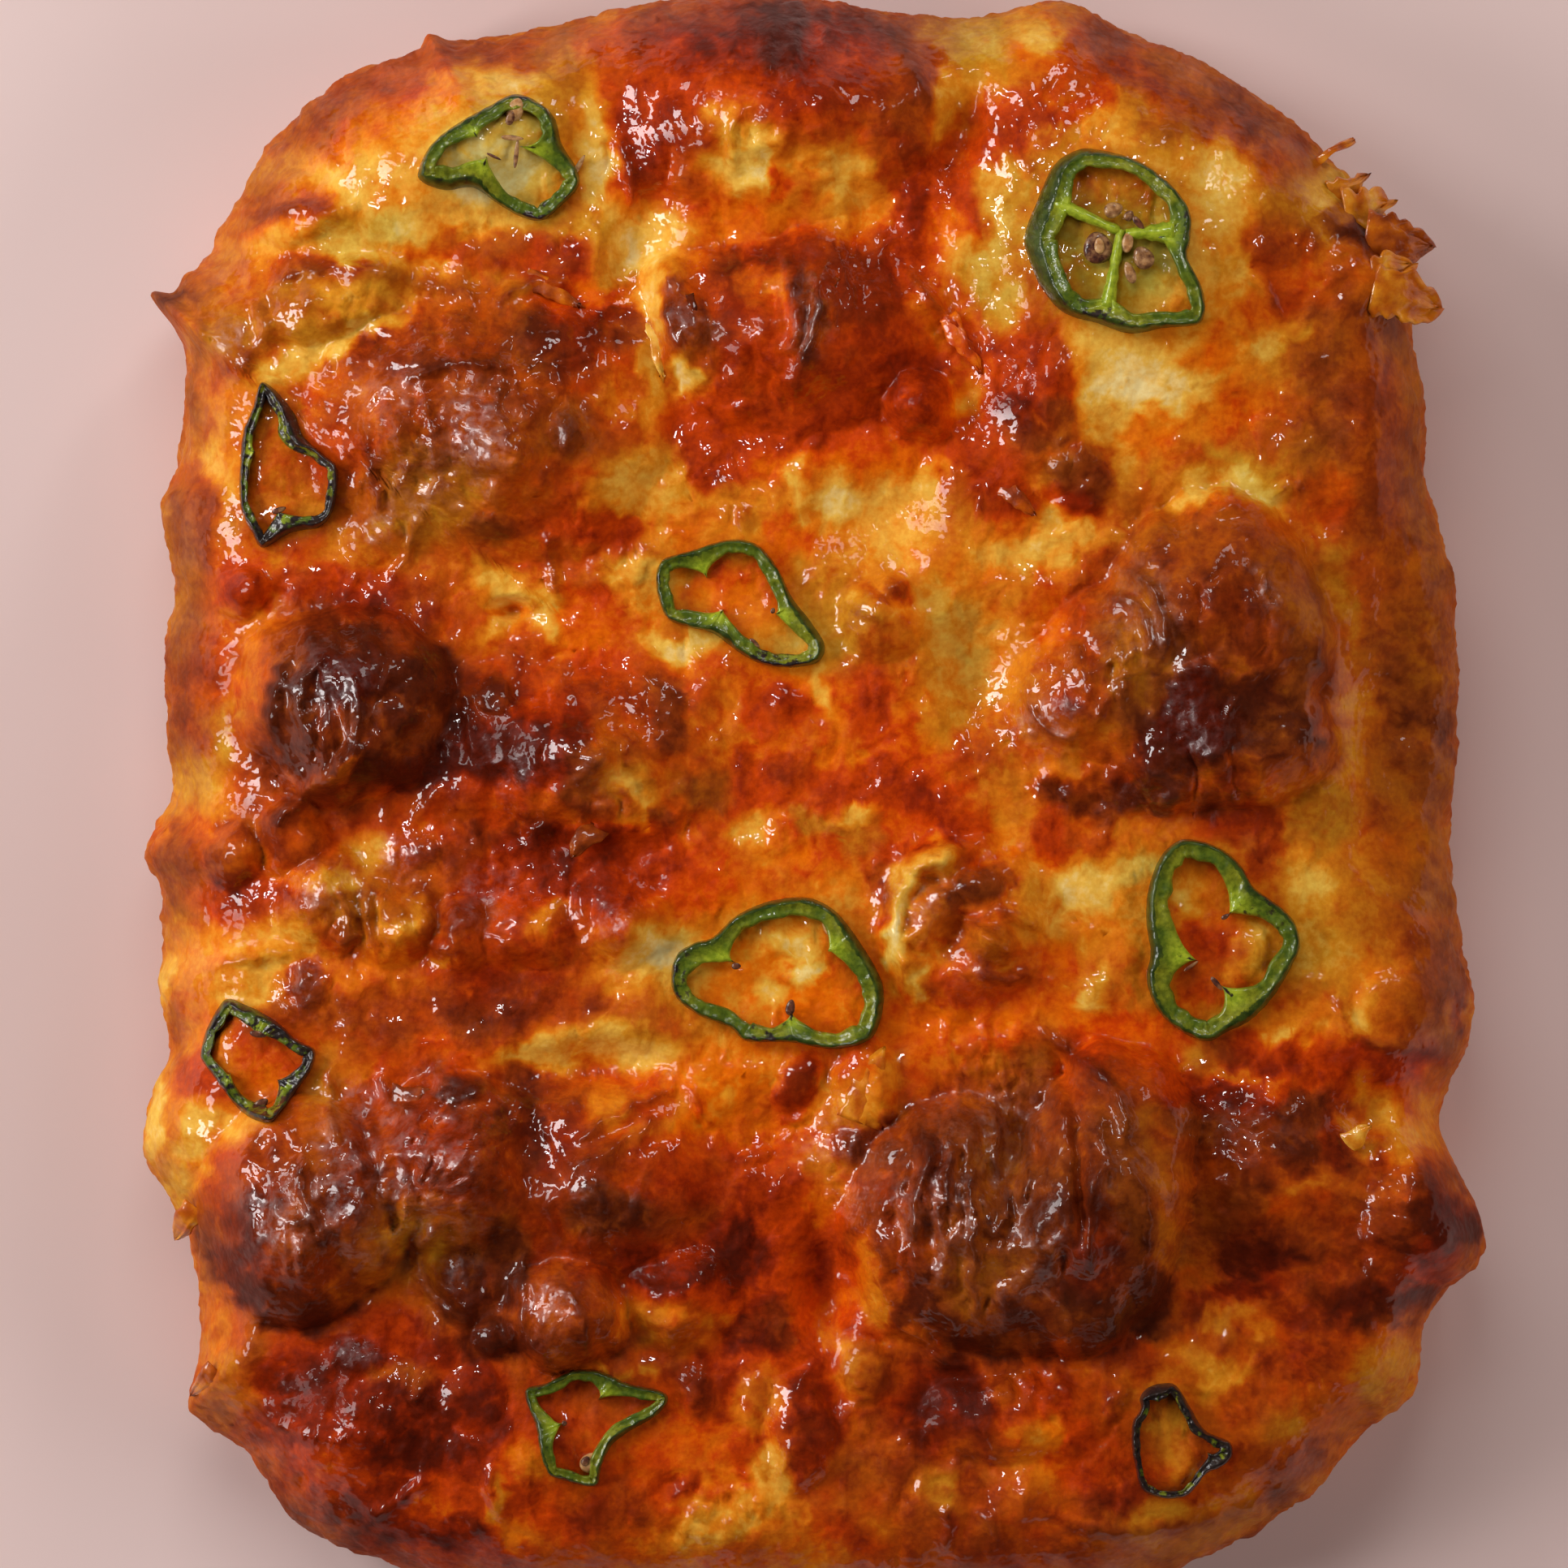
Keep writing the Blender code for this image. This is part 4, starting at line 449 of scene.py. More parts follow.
    (70, -91, 5, 3, 0, 0.3, 0.1), (78, -92, 4, 3, 0, 0.36, 0.4), (73, -98, 9, 4, 40, 0.6, 0.5),
    (47, -82, 5, 3, 0, 0.6, 0.9), (38, -84, 4, 2.4, 0, 0.34, 0.8), (42, -90, 5, 4, 0, 0.44, 1.0),
    (42, -97, 4, 3, 0, 0.5, 1.0), (46, -102, 5, 2.6, 0, 0.64, 0.95), (54, -94, 4, 6, 0, 0.27, 0.15),
    (52, -105, 8, 2.4, 5, 0.3, 0.25), (62, -101, 5, 4, 30, 0.4, 0.6), (55, -111, 14, 2.4, 8, 0.54, 0.5),
    (35, -112, 12, 2.4, 0, 0.52, 0.7),
)

# Places that are browner, paler, redder or less red than the dabs alone: oval, and what is added to each.
# Many are the crust's own tone, but the paler, less red ovals on the lit flanks of the glossy bubbles are
# painted highlight and sheen, and the dark ovals along the near end are painted shade.
TINTS_AND_PAINTED_LIGHT = (
    (31, -60, 24, 20, 0, 0.04, -0.2), (-74, -54, 12, 14, 0, 0.06, -0.1), (-54, -62, 12, 12, 0, 0.06, -0.1),
    (-46, 54, 20, 16, 0, -0.03, -0.35), (-32, 70, 10, 6, 0, -0.06, -0.1), (-58, 44, 12, 8, 0, -0.05, -0.4),
    (-30, 4, 9, 9, 0, -0.12, -0.3), (-66, 13, 14, 10, 0, -0.06, -0.1), (-50, 8, 8, 6, 0, 0.26, -0.1),
    (-85, -14, 9, 4, 0, 0.22, 0.4), (-42, -28, 14, 5, 0, 0.18, 0.3), (90, 5, 8, 50, 0, 0.16, -0.1),
    (84, -42, 10, 6, 0, 0.2, 0.1), (76, -72, 22, 10, 0, 0.16, 0.1), (-72, -87, 20, 8, 0, 0.16, 0.1),
    (-30, -84, 18, 6, 0, 0.2, 0.0), (24, -86, 20, 6, 0, 0.14, 0.0), (-50, -94, 16, 8, 0, 0.14, 0.1),
    (40, -106, 40, 7, 0, 0.14, 0.0), (0, 117, 30, 6, 0, 0.08, 0.0), (-93, 25, 6, 45, 0, 0.12, 0.0),
    (18, 10, 8, 14, 0, 0.12, 0.4), (62, 36, 16, 8, 0, 0.06, 0.0), (50, 17, 8, 7, -20, -0.02, -0.2),
    (17, -16, 6, 7, 0, -0.1, -0.1), (70, -10, 20, 30, 0, 0.06, 0.0), (66, -92, 24, 10, 0, 0.12, 0.0),
    (22, 78, 14, 18, 0, 0.05, 0.2), (48, -47, 7, 12, 0, -0.08, -0.1), (-75, -106, 14, 8, -40, 0.12, 0.0),
    (34, 66, 6, 16, 0, 0.14, 0.3), (44, 90, 7, 6, 0, 0.1, 0.0), (55, 104, 22, 8, -20, 0.12, 0.1),
    (-60, 108, 22, 8, 25, 0.12, 0.2), (10, 110, 20, 8, 0, 0.0, 0.1), (-35, 108, 6, 12, 0, 0.12, 0.1),
    (-90, 76, 12, 5, 0, 0.12, 0.0), (-60, 29, 14, 5, 0, 0.14, 0.3), (62, 30, 16, 14, 0, 0.1, 0.0),
    (60, -40, 26, 6, 0, 0.14, 0.3), (30, -38, 14, 5, 0, 0.08, 0.1), (92, -60, 8, 8, 0, 0.14, 0.1),
    (-4, -64, 8, 8, 0, 0.08, 0.5), (-38, -10, 12, 5, 0, 0.02, 0.5), (14, 56, 10, 10, 0, 0.0, 0.4),
    (-38, 44, 14, 6, 0, 0.0, 0.3), (14, 2, 8, 10, 0, 0.04, 0.4), (-60, -98, 30, 10, 0, 0.0, 0.3),
    (4, 26, 8, 6, 0, -0.08, -0.4), (38, 13, 12, 8, 20, -0.03, -0.2), (-30, 0, 10, 8, 0, -0.1, 0.0),
    (17, -14, 6, 8, 0, -0.1, 0.0), (-58, 10, 8, 8, 0, -0.08, 0.0), (-46, 53, 6, 5, 0, -0.1, 0.0),
    (-8, -44, 10, 8, 0, -0.06, 0.0), (-18, 64, 5, 6, 0, -0.1, -0.3), (8, 90, 8, 5, 30, -0.1, -0.2),
    (-50, 86, 14, 6, 0, -0.06, -0.2), (-62, 57, 6, 6, 0, -0.1, 0.0), (0, 73, 8, 6, 0, -0.12, 0.0),
    (50, 18, 7, 7, 0, -0.12, -0.2), (85, -40, 7, 4, 0, -0.12, 0.2), (60, -107, 20, 5, 10, -0.12, -0.3),
    (-60, -106, 10, 4, 0, -0.06, 0.2), (15, 40, 11, 5, 0, 0.12, 0.15), (-87, -19, 10, 4, 0, 0.14, 0.2),
    (40, -13, 7, 4, 0, 0.05, 0.0), (-41, 11, 7, 7, 0, 0.13, 0.2), (-90, 15, 5, 7, 0, 0.08, 0.0),
    (58, -84, 7, 4, 0, 0.06, 0.0), (79, 29, 4, 9, 0, 0.08, 0.3), (-62, 78, 7, 3, 10, -0.12, -0.3),
    (36, 53, 6, 9, 0, -0.1, -0.2), (-68, -15, 7, 6, 0, -0.07, -0.2), (-25, -24, 10, 6, 0, -0.08, -0.3),
    (0, -18, 14, 5, 0, -0.07, -0.1), (51, -60, 4, 10, 0, -0.08, 0.0), (12, -86, 5, 4, 0, -0.1, 0.0),
    (25, 87, 7, 10, 0, 0.05, 0.1), (0, 118, 12, 4, 0, 0.1, 0.1), (-52, 3, 6, 4, 0, 0.1, 0.1),
    (-10, 3, 10, 5, 0, 0.05, 0.1), (-32, -10, 12, 5, 0, 0.06, 0.5), (56, 13, 6, 5, 0, 0.1, 0.5),
    (-57, -79, 9, 4, 0, 0.14, 0.1), (-47, -75, 4, 5, 0, 0.14, 0.0), (-18, -72, 10, 6, 0, 0.1, 0.4),
    (0, -88, 5, 8, 0, 0.05, 0.1), (17, -97, 6, 5, 0, 0.1, 0.1), (42, -69, 6, 6, 0, 0.12, 0.1),
    (-88, -70, 4, 10, 0, 0.08, 0.0), (-75, -85, 8, 6, 0, 0.09, 0.4), (74, -76, 18, 6, 0, 0.08, 0.1),
    (12, 54, 9, 9, 0, 0.0, 0.3), (27, -32, 6, 4, 0, 0.0, 0.4), (-32, 75, 7, 4, 0, 0.05, 0.4),
    (36, 43, 6, 4, 0, 0.0, 0.4), (18, 88, 5, 9, 0, 0.03, 0.4), (62, -42, 8, 4, 0, 0.03, 0.4),
    (-88, 70, 5, 6, 0, 0.0, -0.4), (-72, 74, 12, 5, 10, 0.0, -0.5), (-42, 85, 14, 5, 0, 0.0, -0.4),
    (35, 70, 4, 12, 0, 0.0, -0.5), (76, 88, 9, 8, 0, 0.0, -0.6), (72, 51, 9, 10, 0, 0.0, -0.4),
    (49, 25, 7, 9, 0, 0.0, -0.5), (29, -1, 7, 8, 0, 0.0, -0.3), (2, 28, 6, 8, 30, 0.0, -0.4),
    (-37, 110, 6, 8, 0, 0.0, -0.4), (-95, 35, 5, 12, 0, 0.0, -0.3), (-64, -14, 14, 8, 0, 0.0, -0.4),
    (-20, -34, 9, 6, 0, 0.0, -0.3), (-90, -88, 6, 7, 0, 0.0, -0.3), (32, -40, 9, 5, 0, -0.1, -0.4),
    (46, -50, 6, 12, 0, -0.04, -0.3), (72, 34, 8, 8, 0, -0.06, -0.2), (88, 3, 6, 6, 0, -0.08, 0.0),
    (-80, 72, 14, 10, 0, 0.0, -0.3), (-84, 96, 9, 16, -30, 0.0, -0.2), (-48, 74, 12, 6, 0, 0.02, -0.35),
    (-60, 44, 20, 8, 0, 0.02, -0.3), (-78, 42, 8, 8, 0, 0.0, -0.3), (-72, 20, 12, 10, 0, 0.05, -0.2),
    (-88, 25, 5, 20, 0, 0.06, 0.0), (-54, 3, 7, 5, 0, 0.08, -0.1), (-50, -44, 14, 7, 0, 0.1, 0.0),
    (-56, -31, 22, 5, 0, 0.1, -0.25), (-84, -75, 5, 9, 0, 0.1, 0.0), (-70, -90, 12, 6, 0, 0.08, 0.2),
    (-52, -86, 10, 5, 0, 0.1, 0.1), (-35, -90, 8, 6, 0, 0.08, 0.1), (-20, -69, 10, 5, 0, 0.06, 0.2),
    (-11, -81, 6, 5, 0, 0.14, 0.3), (0, -90, 5, 8, 0, 0.08, 0.0), (19, -88, 10, 7, 0, 0.14, 0.1),
    (19, -99, 6, 5, 0, 0.14, 0.1), (-13, -104, 8, 4, 0, 0.1, 0.2), (13, -10, 5, 4, 0, 0.08, 0.0),
    (5, -38, 5, 5, 0, 0.1, 0.2), (76, -50, 8, 8, 0, 0.12, 0.0), (92, -60, 9, 8, 0, 0.12, 0.0),
    (57, 12, 5, 4, 0, 0.1, 0.3), (81, 13, 5, 6, 0, 0.08, 0.1), (-15, 111, 8, 9, 0, 0.08, 0.0),
    (46, 94, 9, 7, 0, 0.06, 0.1), (0, 98, 8, 6, 0, -0.14, 0.0), (-25, 90, 5, 6, 0, -0.1, 0.0),
    (-62, 77, 12, 4, 10, -0.08, -0.1), (-52, 94, 6, 6, 0, -0.06, 0.0), (-33, -9, 9, 6, 0, 0.04, 0.4),
    (-25, -8, 5, 5, 0, 0.0, 0.4), (0, -69, 6, 8, 0, 0.06, 0.3), (30, 62, 5, 8, 0, 0.04, 0.3),
    (12, 60, 6, 6, 0, 0.0, 0.3), (-35, 70, 8, 5, 0, 0.0, 0.3), (-12, -40, 12, 6, 0, -0.08, 0.0),
    (-5, -20, 14, 5, 0, -0.07, 0.0), (-24, -24, 8, 6, 0, -0.06, 0.0), (16, -22, 6, 8, 0, -0.1, 0.0),
    (-60, 44, 16, 5, 0, -0.07, 0.0), (-65, -17, 7, 6, 0, -0.08, -0.1), (-36, 55, 5, 6, 0, -0.08, 0.0),
    (-28, 2, 4, 8, 0, -0.08, 0.0), (-57, 9, 5, 5, 0, -0.06, 0.0), (27, -55, 8, 10, 0, -0.08, -0.1),
    # Painted highlight and sheen: (28, -72), (-58, -64), (-73, -48) and (-76, -60) below are paler where the
    # bubbles' lit flanks shine
    (28, -72, 6, 7, 0, -0.12, -0.1), (-58, -64, 10, 6, 0, -0.12, -0.15), (-73, -48, 5, 9, 0, -0.14, -0.3),
    (-76, -60, 5, 8, 0, -0.06, -0.1), (8, -86, 6, 5, 0, -0.1, 0.0), (3, -92, 3, 8, 0, -0.1, 0.0),
    (40, -84, 8, 4, 0, -0.1, 0.0), (52, -88, 6, 4, 0, -0.07, 0.0), (48, 20, 4, 7, 20, -0.08, -0.2),
    (-68, 20, 6, 6, 0, 0.1, 0.0), (-80, 5, 4, 14, 0, 0.06, 0.0), (-57, -81, 10, 3, 0, 0.08, 0.2),
    (-85, -70, 4, 12, 0, 0.1, 0.0), (-40, -48, 5, 5, 0, 0.1, 0.1), (-25, -44, 8, 4, 0, 0.06, 0.0),
    (38, 95, 26, 9, 10, 0.06, 0.0), (42, 84, 7, 8, 0, 0.08, 0.0), (-9, 78, 8, 5, 0, 0.08, 0.1),
    (-25, 101, 4, 6, 0, 0.08, 0.0), (80, 60, 5, 22, 0, 0.07, 0.0), (45, 7, 6, 5, 0, 0.1, 0.2),
    (62, -14, 6, 6, 0, 0.05, 0.1), (72, -56, 12, 8, 0, 0.07, 0.0), (96, -61, 5, 5, 0, 0.2, 0.2),
    (12, -11, 3, 3, 0, 0.1, 0.0), (66, 14, 9, 8, 0, 0.0, -0.2), (74, 20, 6, 20, 0, 0.0, -0.2),
    (34, 48, 4, 8, 0, 0.0, -0.3), (26, 8, 4, 7, 0, 0.0, -0.4), (20, 98, 9, 4, 20, 0.0, -0.2),
    (27, 80, 4, 14, 0, 0.0, -0.3), (60, -38, 6, 4, 0, 0.0, -0.5), (65, -68, 16, 10, 0, 0.0, -0.2),
    (-15, -105, 20, 6, 0, 0.0, -0.2), (46, -90, 8, 8, 0, 0.0, -0.2), (-58, -66, 14, 10, 0, 0.0, -0.2),
    (-83, -83, 5, 7, 0, 0.0, -0.5), (-17, 2, 5, 4, 0, 0.0, -0.4), (44, 82, 12, 12, 0, 0.02, -0.3),
    (57, 13, 6, 6, 0, 0.1, 0.5), (-48, 8, 14, 5, 15, 0.06, 0.4), (-75, -86, 9, 6, 0, 0.0, 0.5),
    # Painted shade: (-58, -111) on this line and the broad (0, -96) on the next darken the near end
    (-58, -111, 16, 5, 0, 0.14, 0.4), (-12, -68, 12, 6, 0, 0.05, 0.5), (20, -88, 10, 6, 0, 0.06, 0.4),
    (-8, 110, 18, 10, 0, 0.06, 0.3), (62, 22, 14, 14, 0, 0.06, 0.1), (0, -96, 100, 20, 0, 0.04, 0.0),
    # Painted highlight and sheen: (26, -50), (24, -67), (-60, -65), (-76, -63) and (-46, -63) below are paler
    # on lit bubble flanks
    (26, -50, 8, 7, 0, -0.1, -0.1), (24, -67, 7, 8, 0, -0.1, -0.1), (-60, -65, 9, 7, 0, -0.12, -0.1),
    (-76, -63, 5, 6, 0, -0.1, -0.1), (-46, -63, 6, 5, 0, -0.08, 0.0), (40, -66, 5, 6, 0, -0.08, 0.2),
    (75, 90, 7, 8, 0, -0.06, -0.1), (45, 85, 8, 8, 0, 0.0, 0.2), (54, 16, 4, 8, 0, 0.1, 0.3),
    (-32, -9, 6, 6, 0, 0.0, 0.3), (-22, -10, 4, 6, 0, 0.0, 0.3), (-68, 19, 7, 4, 0, 0.1, 0.3),
    (42, -58, 4, 12, 0, 0.0, 0.25), (-9, -66, 7, 7, 0, 0.0, 0.25), (-70, -40, 5, 10, 0, -0.05, -0.25),
    (60, -38, 4, 3, 0, 0.0, -0.3), (40, 9, 6, 4, 20, -0.1, 0.0), (-20, -26, 5, 5, 0, -0.08, 0.0),
    (-45, -80, 6, 4, 0, 0.06, 0.0), (-30, -68, 8, 6, 0, 0.08, 0.0), (66, -70, 8, 4, 0, 0.06, 0.2),
    (12, 56, 6, 5, 0, 0.0, 0.25), (-5, 50, 8, 5, 0, 0.0, 0.2), (-35, 66, 5, 8, 0, 0.0, 0.2),
    (-70, 18, 5, 5, 0, 0.12, 0.3), (-34, -9, 7, 5, 0, 0.0, 0.4), (-22, -8, 6, 4, 0, 0.0, 0.25),
    (-48, 5, 16, 5, 15, 0.0, 0.25), (-9, -67, 8, 6, 0, 0.03, 0.3), (30, -6, 8, 4, 0, 0.0, 0.3),
    # Painted highlight and sheen: (-60, -64) on this line and (-75, -62), (25, -50), (17, -62) on the next
    (40, 15, 5, 4, 0, 0.0, 0.3), (56, 15, 5, 5, 0, 0.06, 0.3), (-60, -64, 10, 9, 0, -0.06, -0.1),
    (-75, -62, 5, 6, 0, -0.08, 0.0), (25, -50, 7, 7, 0, -0.06, 0.0), (17, -62, 5, 6, 0, -0.08, 0.0),
    (-57, 10, 4, 4, 0, -0.1, 0.0), (-30, 3, 5, 6, 0, -0.08, 0.0), (-60, -20, 5, 4, 0, -0.08, 0.0),
    (-30, -20, 5, 4, 0, -0.08, 0.0), (-17, -24, 7, 5, 0, -0.07, 0.0), (48, 11, 6, 4, 20, -0.1, -0.2),
    (66, 1, 6, 4, 0, -0.07, 0.0), (67, 12, 6, 8, 0, -0.05, -0.2), (-48, 50, 6, 6, 0, -0.07, 0.0),
    (-58, 53, 5, 5, 0, -0.06, 0.0), (-72, 71, 8, 4, 20, -0.06, 0.0), (-10, -111, 20, 5, 0, -0.1, 0.0),
    (-47, -75, 4, 4, 0, 0.1, 0.0), (-50, -82, 6, 3, 0, 0.08, 0.0), (-60, 4, 7, 4, 0, 0.06, 0.1),
    (53, 89, 7, 6, 20, 0.06, 0.0), (-32, 77, 6, 4, 0, 0.08, 0.1), (96, -61, 4, 4, 0, 0.08, 0.3),
    (-78, -30, 4, 5, 0, 0.1, 0.1), (-40, 32, 10, 8, 0, 0.03, 0.0), (62, 18, 16, 12, 0, 0.04, -0.1),
    (45, -60, 8, 16, 0, 0.06, -0.25), (30, -60, 12, 16, 0, 0.03, -0.2), (34, -36, 8, 4, 0, 0.08, -0.2),
    (-72, -66, 14, 10, 0, 0.04, -0.15), (-40, -30, 16, 5, 0, 0.06, -0.1), (-40, 9, 8, 5, 0, 0.05, 0.3),
    (-17, -44, 7, 5, 0, -0.08, 0.0), (-12, -31, 6, 4, 0, -0.05, 0.0), (-47, -74, 4, 4, 0, 0.1, 0.0),
    (-38, -50, 4, 5, 0, 0.08, 0.2), (-69, 18, 6, 5, 0, 0.1, 0.3), (52, 12, 6, 5, 20, 0.07, 0.2),
    # Painted highlight and sheen: (16, -62), (26, -68) and (27, -80) below are paler on the lit flank of the
    # big bubble
    (16, -62, 5, 6, 0, -0.08, 0.0), (26, -68, 8, 8, 0, -0.08, 0.0), (27, -80, 8, 4, 0, -0.08, 0.0),
    (1, -93, 4, 6, 0, -0.08, 0.0), (-38, -60, 5, 5, 0, -0.05, 0.0), (7, 52, 6, 5, 0, -0.05, 0.0),
    (-55, 10, 4, 4, 0, -0.06, -0.1), (-36, -10, 6, 6, 0, 0.04, 0.3), (42, -62, 4, 12, 0, 0.0, 0.25),
    (-12, -68, 6, 6, 0, 0.0, 0.3), (27, -31, 5, 4, 0, 0.0, 0.3), (-25, 101, 3.5, 6, 0, 0.05, 0.4),
    (-37, 107, 5, 6, 0, 0.0, -0.3), (-30, 84, 5, 6, 0, -0.05, -0.3), (-68, 60, 6, 6, 0, 0.0, -0.3),
    (-78, 50, 5, 6, 0, 0.0, -0.3), (74, 66, 7, 8, 0, 0.0, -0.3), (50, 45, 8, 6, 0, 0.0, -0.3),
    (-37, -101, 6, 4, 0, -0.05, -0.3), (24, -101, 6, 7, 0, -0.03, -0.3), (31, 84, 4, 12, 0, -0.05, -0.35),
    (52, 102, 10, 4, -20, 0.0, -0.25), (80, 84.5, 4, 2.6, 25, 0.34, 0.1), (40, 81, 3, 8, 0, 0.05, 0.0),
    (-50, 50, 12, 10, 0, -0.03, 0.0), (-94, 76, 5, 4, 0, 0.1, -0.2), (-6, -88, 4, 7, 0, 0.06, 0.0),
    (30, 96, 7, 12, 0, 0.05, 0.0), (83, 74, 6, 8, 0, 0.07, -0.1), (90, -70, 7, 6, 0, 0.08, 0.2),
    (78, -74, 12, 5, 0, 0.05, 0.0), (-60, 25, 16, 8, 0, 0.04, 0.0), (-8, 4, 10, 8, 0, 0.04, 0.0),
    (75, 62, 6, 12, 0, 0.04, 0.0), (52, 88, 6, 8, 0, 0.05, 0.0),
)

# Crust under a pale green film of juice: oval, how green
STAINS = (
    (44, 82, 11, 12, 0, 0.9), (-46, 97, 9, 7, -20, 0.35), (20, 18, 6, 14, -5, 0.3),
    (79, 29, 4, 12, 0, 0.45), (27, 78, 7, 7, 0, 0.35), (76, -2, 6, 5, 0, 0.45), (63, 50, 8, 5, 0, 0.35),
    (-67, 84, 8, 4, 0, 0.35), (84, -83, 7, 6, 0, 0.3), (-87, 11, 4, 6, 0, 0.35), (70, -16, 8, 8, 0, 0.25),
    (24, 112, 7, 6, 0, 0.35), (57, -21, 6, 9, 0, 0.25), (-5, -22, 8, 6, 0, 0.2), (70, -91, 6, 4, 0, 0.3),
    (48, -10, 6, 4, 30, 0.25),
)

# Where the oil lies thick and shines broadly: oval, strength, below 0 where it is dull
SHEENS = (
    (-49, 54, 7, 10, 10, 1.0), (-57, 47, 5, 6, 0, 0.8), (-62, 60, 6, 5, 0, 0.6), (-35, 55, 4, 5, 0, 0.7),
    (-70, 17, 8, 8, 0, 0.7), (-57, 9, 6, 6, 0, 0.6), (-44, 5, 7, 6, 0, 0.5), (-30, 3, 5, 6, 0, 0.7),
    (-72, -14, 6, 6, 0, 0.9), (-60, -8, 5, 4, 0, 0.8), (-48, -14, 6, 6, 0, 0.8), (-29, -19, 4, 6, 0, 1.0),
    (-74, -27, 3, 4, 0, 0.7), (-53, -42, 6, 4, 0, 0.7), (-67, -49, 8, 10, 20, 1.0),
    (-78, -62, 8, 9, 0, 0.8), (-55, -52, 9, 9, 0, 0.9), (-54, -68, 7, 6, 0, 0.6), (-38, -72, 7, 8, 0, 0.6),
    (-66, -82, 5, 3, 0, 0.7), (-30, -58, 10, 8, 0, 0.4), (28, -50, 7, 8, 0, 1.0), (19, -61, 8, 10, 0, 0.9),
    (34, -66, 8, 9, 0, 0.6), (5, -50, 8, 6, 0, 0.6), (18, -15, 4, 5, 0, 0.8), (50, 28, 6, 9, 0, 0.6),
    (55, 17, 8, 6, 0, 0.5), (36, 11, 6, 6, 0, 0.8), (52, 1, 10, 5, 0, 0.6), (0, 73, 6, 9, 0, 0.7),
    (-19, 71, 4, 6, 20, 0.7), (-2, 112, 10, 7, 0, 0.4), (66, -48, 10, 6, 0, 0.4), (24, -26, 6, 4, 0, 0.6),
    (-86, 69, 3, 4, 0, 0.8), (-69, -58, 6, 9, 0, 1.0), (-59, -62, 8, 7, 0, 1.0), (29, -72, 6, 6, 0, 0.7),
    (-62, 42, 6, 5, 0, 0.7), (-78, 30, 5, 4, 0, -0.8), (-72, 22, 7, 4, 0, -0.6), (-46, 9, 12, 4, 15, -0.8),
    (-33, -10, 8, 5, 0, -0.9), (-25, -8, 6, 5, 0, -0.9), (-14, 69, 4, 6, 0, -0.6), (15, 60, 6, 7, 0, -0.7),
    (30, 62, 5, 6, 0, -0.8), (28, -5, 5, 5, 0, -0.8), (38, 14, 3, 3, 0, -0.7), (56, 14, 6, 6, 0, -0.9),
    (60, -46, 5, 4, 0, -0.7), (-24, -69, 5, 4, 0, -0.7), (-5, -68, 6, 6, 0, -0.8),
    (-75, -87, 9, 6, 0, -0.9), (-68, -80, 8, 3, 0, -0.7), (19, -88, 7, 5, 0, -0.9),
    (-8, 110, 16, 7, 0, -0.6), (-60, -109, 16, 6, 0, -0.6), (8, 76, 5, 6, 0, -0.6),
    (-47, -75, 3, 5, 0, -0.8), (62, 32, 9, 9, 0, -0.5), (-62, -64, 8, 7, 0, 1.0), (-52, -62, 6, 5, 0, 0.8),
    (24, -48, 8, 6, 0, 1.0), (17, -62, 5, 7, 0, 1.0), (-75, -61, 5, 7, 0, 1.0), (44, -58, 3, 10, 0, 0.7),
    (68, 30, 3, 5, 0, 0.9), (60, 10, 8, 4, 0, 0.8),
)

# Dabs paler than this have softer edges, and bubbles at least this high get a darker line along their foot,
# partly browning and partly painted shade
PALE_TONE = 0.42
TALL_BUBBLE = 5.0

# Flanks of the loaf: from SIDE_TOP down to SIDE_FOOT an even tone takes over, darker toward the near end as
# painted shade, since the near end faces away from the lights
SIDE_TOP = 24.0
SIDE_FOOT = 8.0
SIDE_SHARE = 0.8
SIDE_REDNESS = 0.25
SHADED_NEAR_END = (-92.0, -112.0)

# Crisp flakes that stand off the crust: foot x, y, tip x, y, rise from foot to tip, width, arch, browning,
# redness, and how ragged the edge is
FLAKES = (
    (75, 95, 80.5, 98.8, -4.0, 1.3, 0.8, 0.42, 0.4, 0.1),
    (77, 90.5, 82.5, 93.5, -5.0, 3.0, 0.6, 0.4, 0.3, 0.9),
    (79, 88, 85.5, 89.0, -6.0, 6.5, 0.4, 0.36, 0.3, 0.9),
    (82, 84.0, 91.5, 82.6, -7.0, 7.0, 1.0, 0.58, 0.3, 0.6),
    (83, 79, 88.5, 80.0, -6.0, 4.0, 0.4, 0.38, 0.3, 0.9),
    (83, 76, 92.5, 74, -8.0, 7.5, 0.8, 0.42, 0.3, 0.7),
    (-88, -84, -92, -88, -7.0, 4.0, 1.0, 0.5, 0.4, 0.2),
    (79, -50.5, 82.5, -47.5, 0.8, 3.4, 0.6, 0.26, 0.3, 0.3),
    (-19, 75, -17, 68, 1.0, 3.4, 1.2, 0.8, 0.4, 0.4),
    (-24, 72, -22, 63, 1.0, 2.2, 0.8, 0.24, 0.3, 0.3),
    (3, 78, -1, 68, 1.2, 3.0, 1.2, 0.74, 0.3, 0.3),
    (20, 72, 25, 64, 0.8, 3.0, 0.8, 0.46, 0.9, 0.4),
    (-43, 78, -34, 74, 0.8, 3.4, 1.0, 0.54, 0.4, 0.3),
    (-62, -44, -55, -44, 1.0, 5.0, 1.2, 0.7, 0.4, 0.3),
    (-32, -3, -35, -8, 1.0, 4.0, 1.2, 0.64, 0.3, 0.3),
    (-91, -60, -94.5, -64.5, -6.0, 4.0, 0.8, 0.4, 0.4, 0.5),
    (28, 47, 33, 43, 0.8, 3.0, 1.0, 0.62, 0.5, 0.4),
    (6.5, -47, 10.5, -36, 0.6, 7.0, 1.2, 0.42, 0.4, 0.25),
)

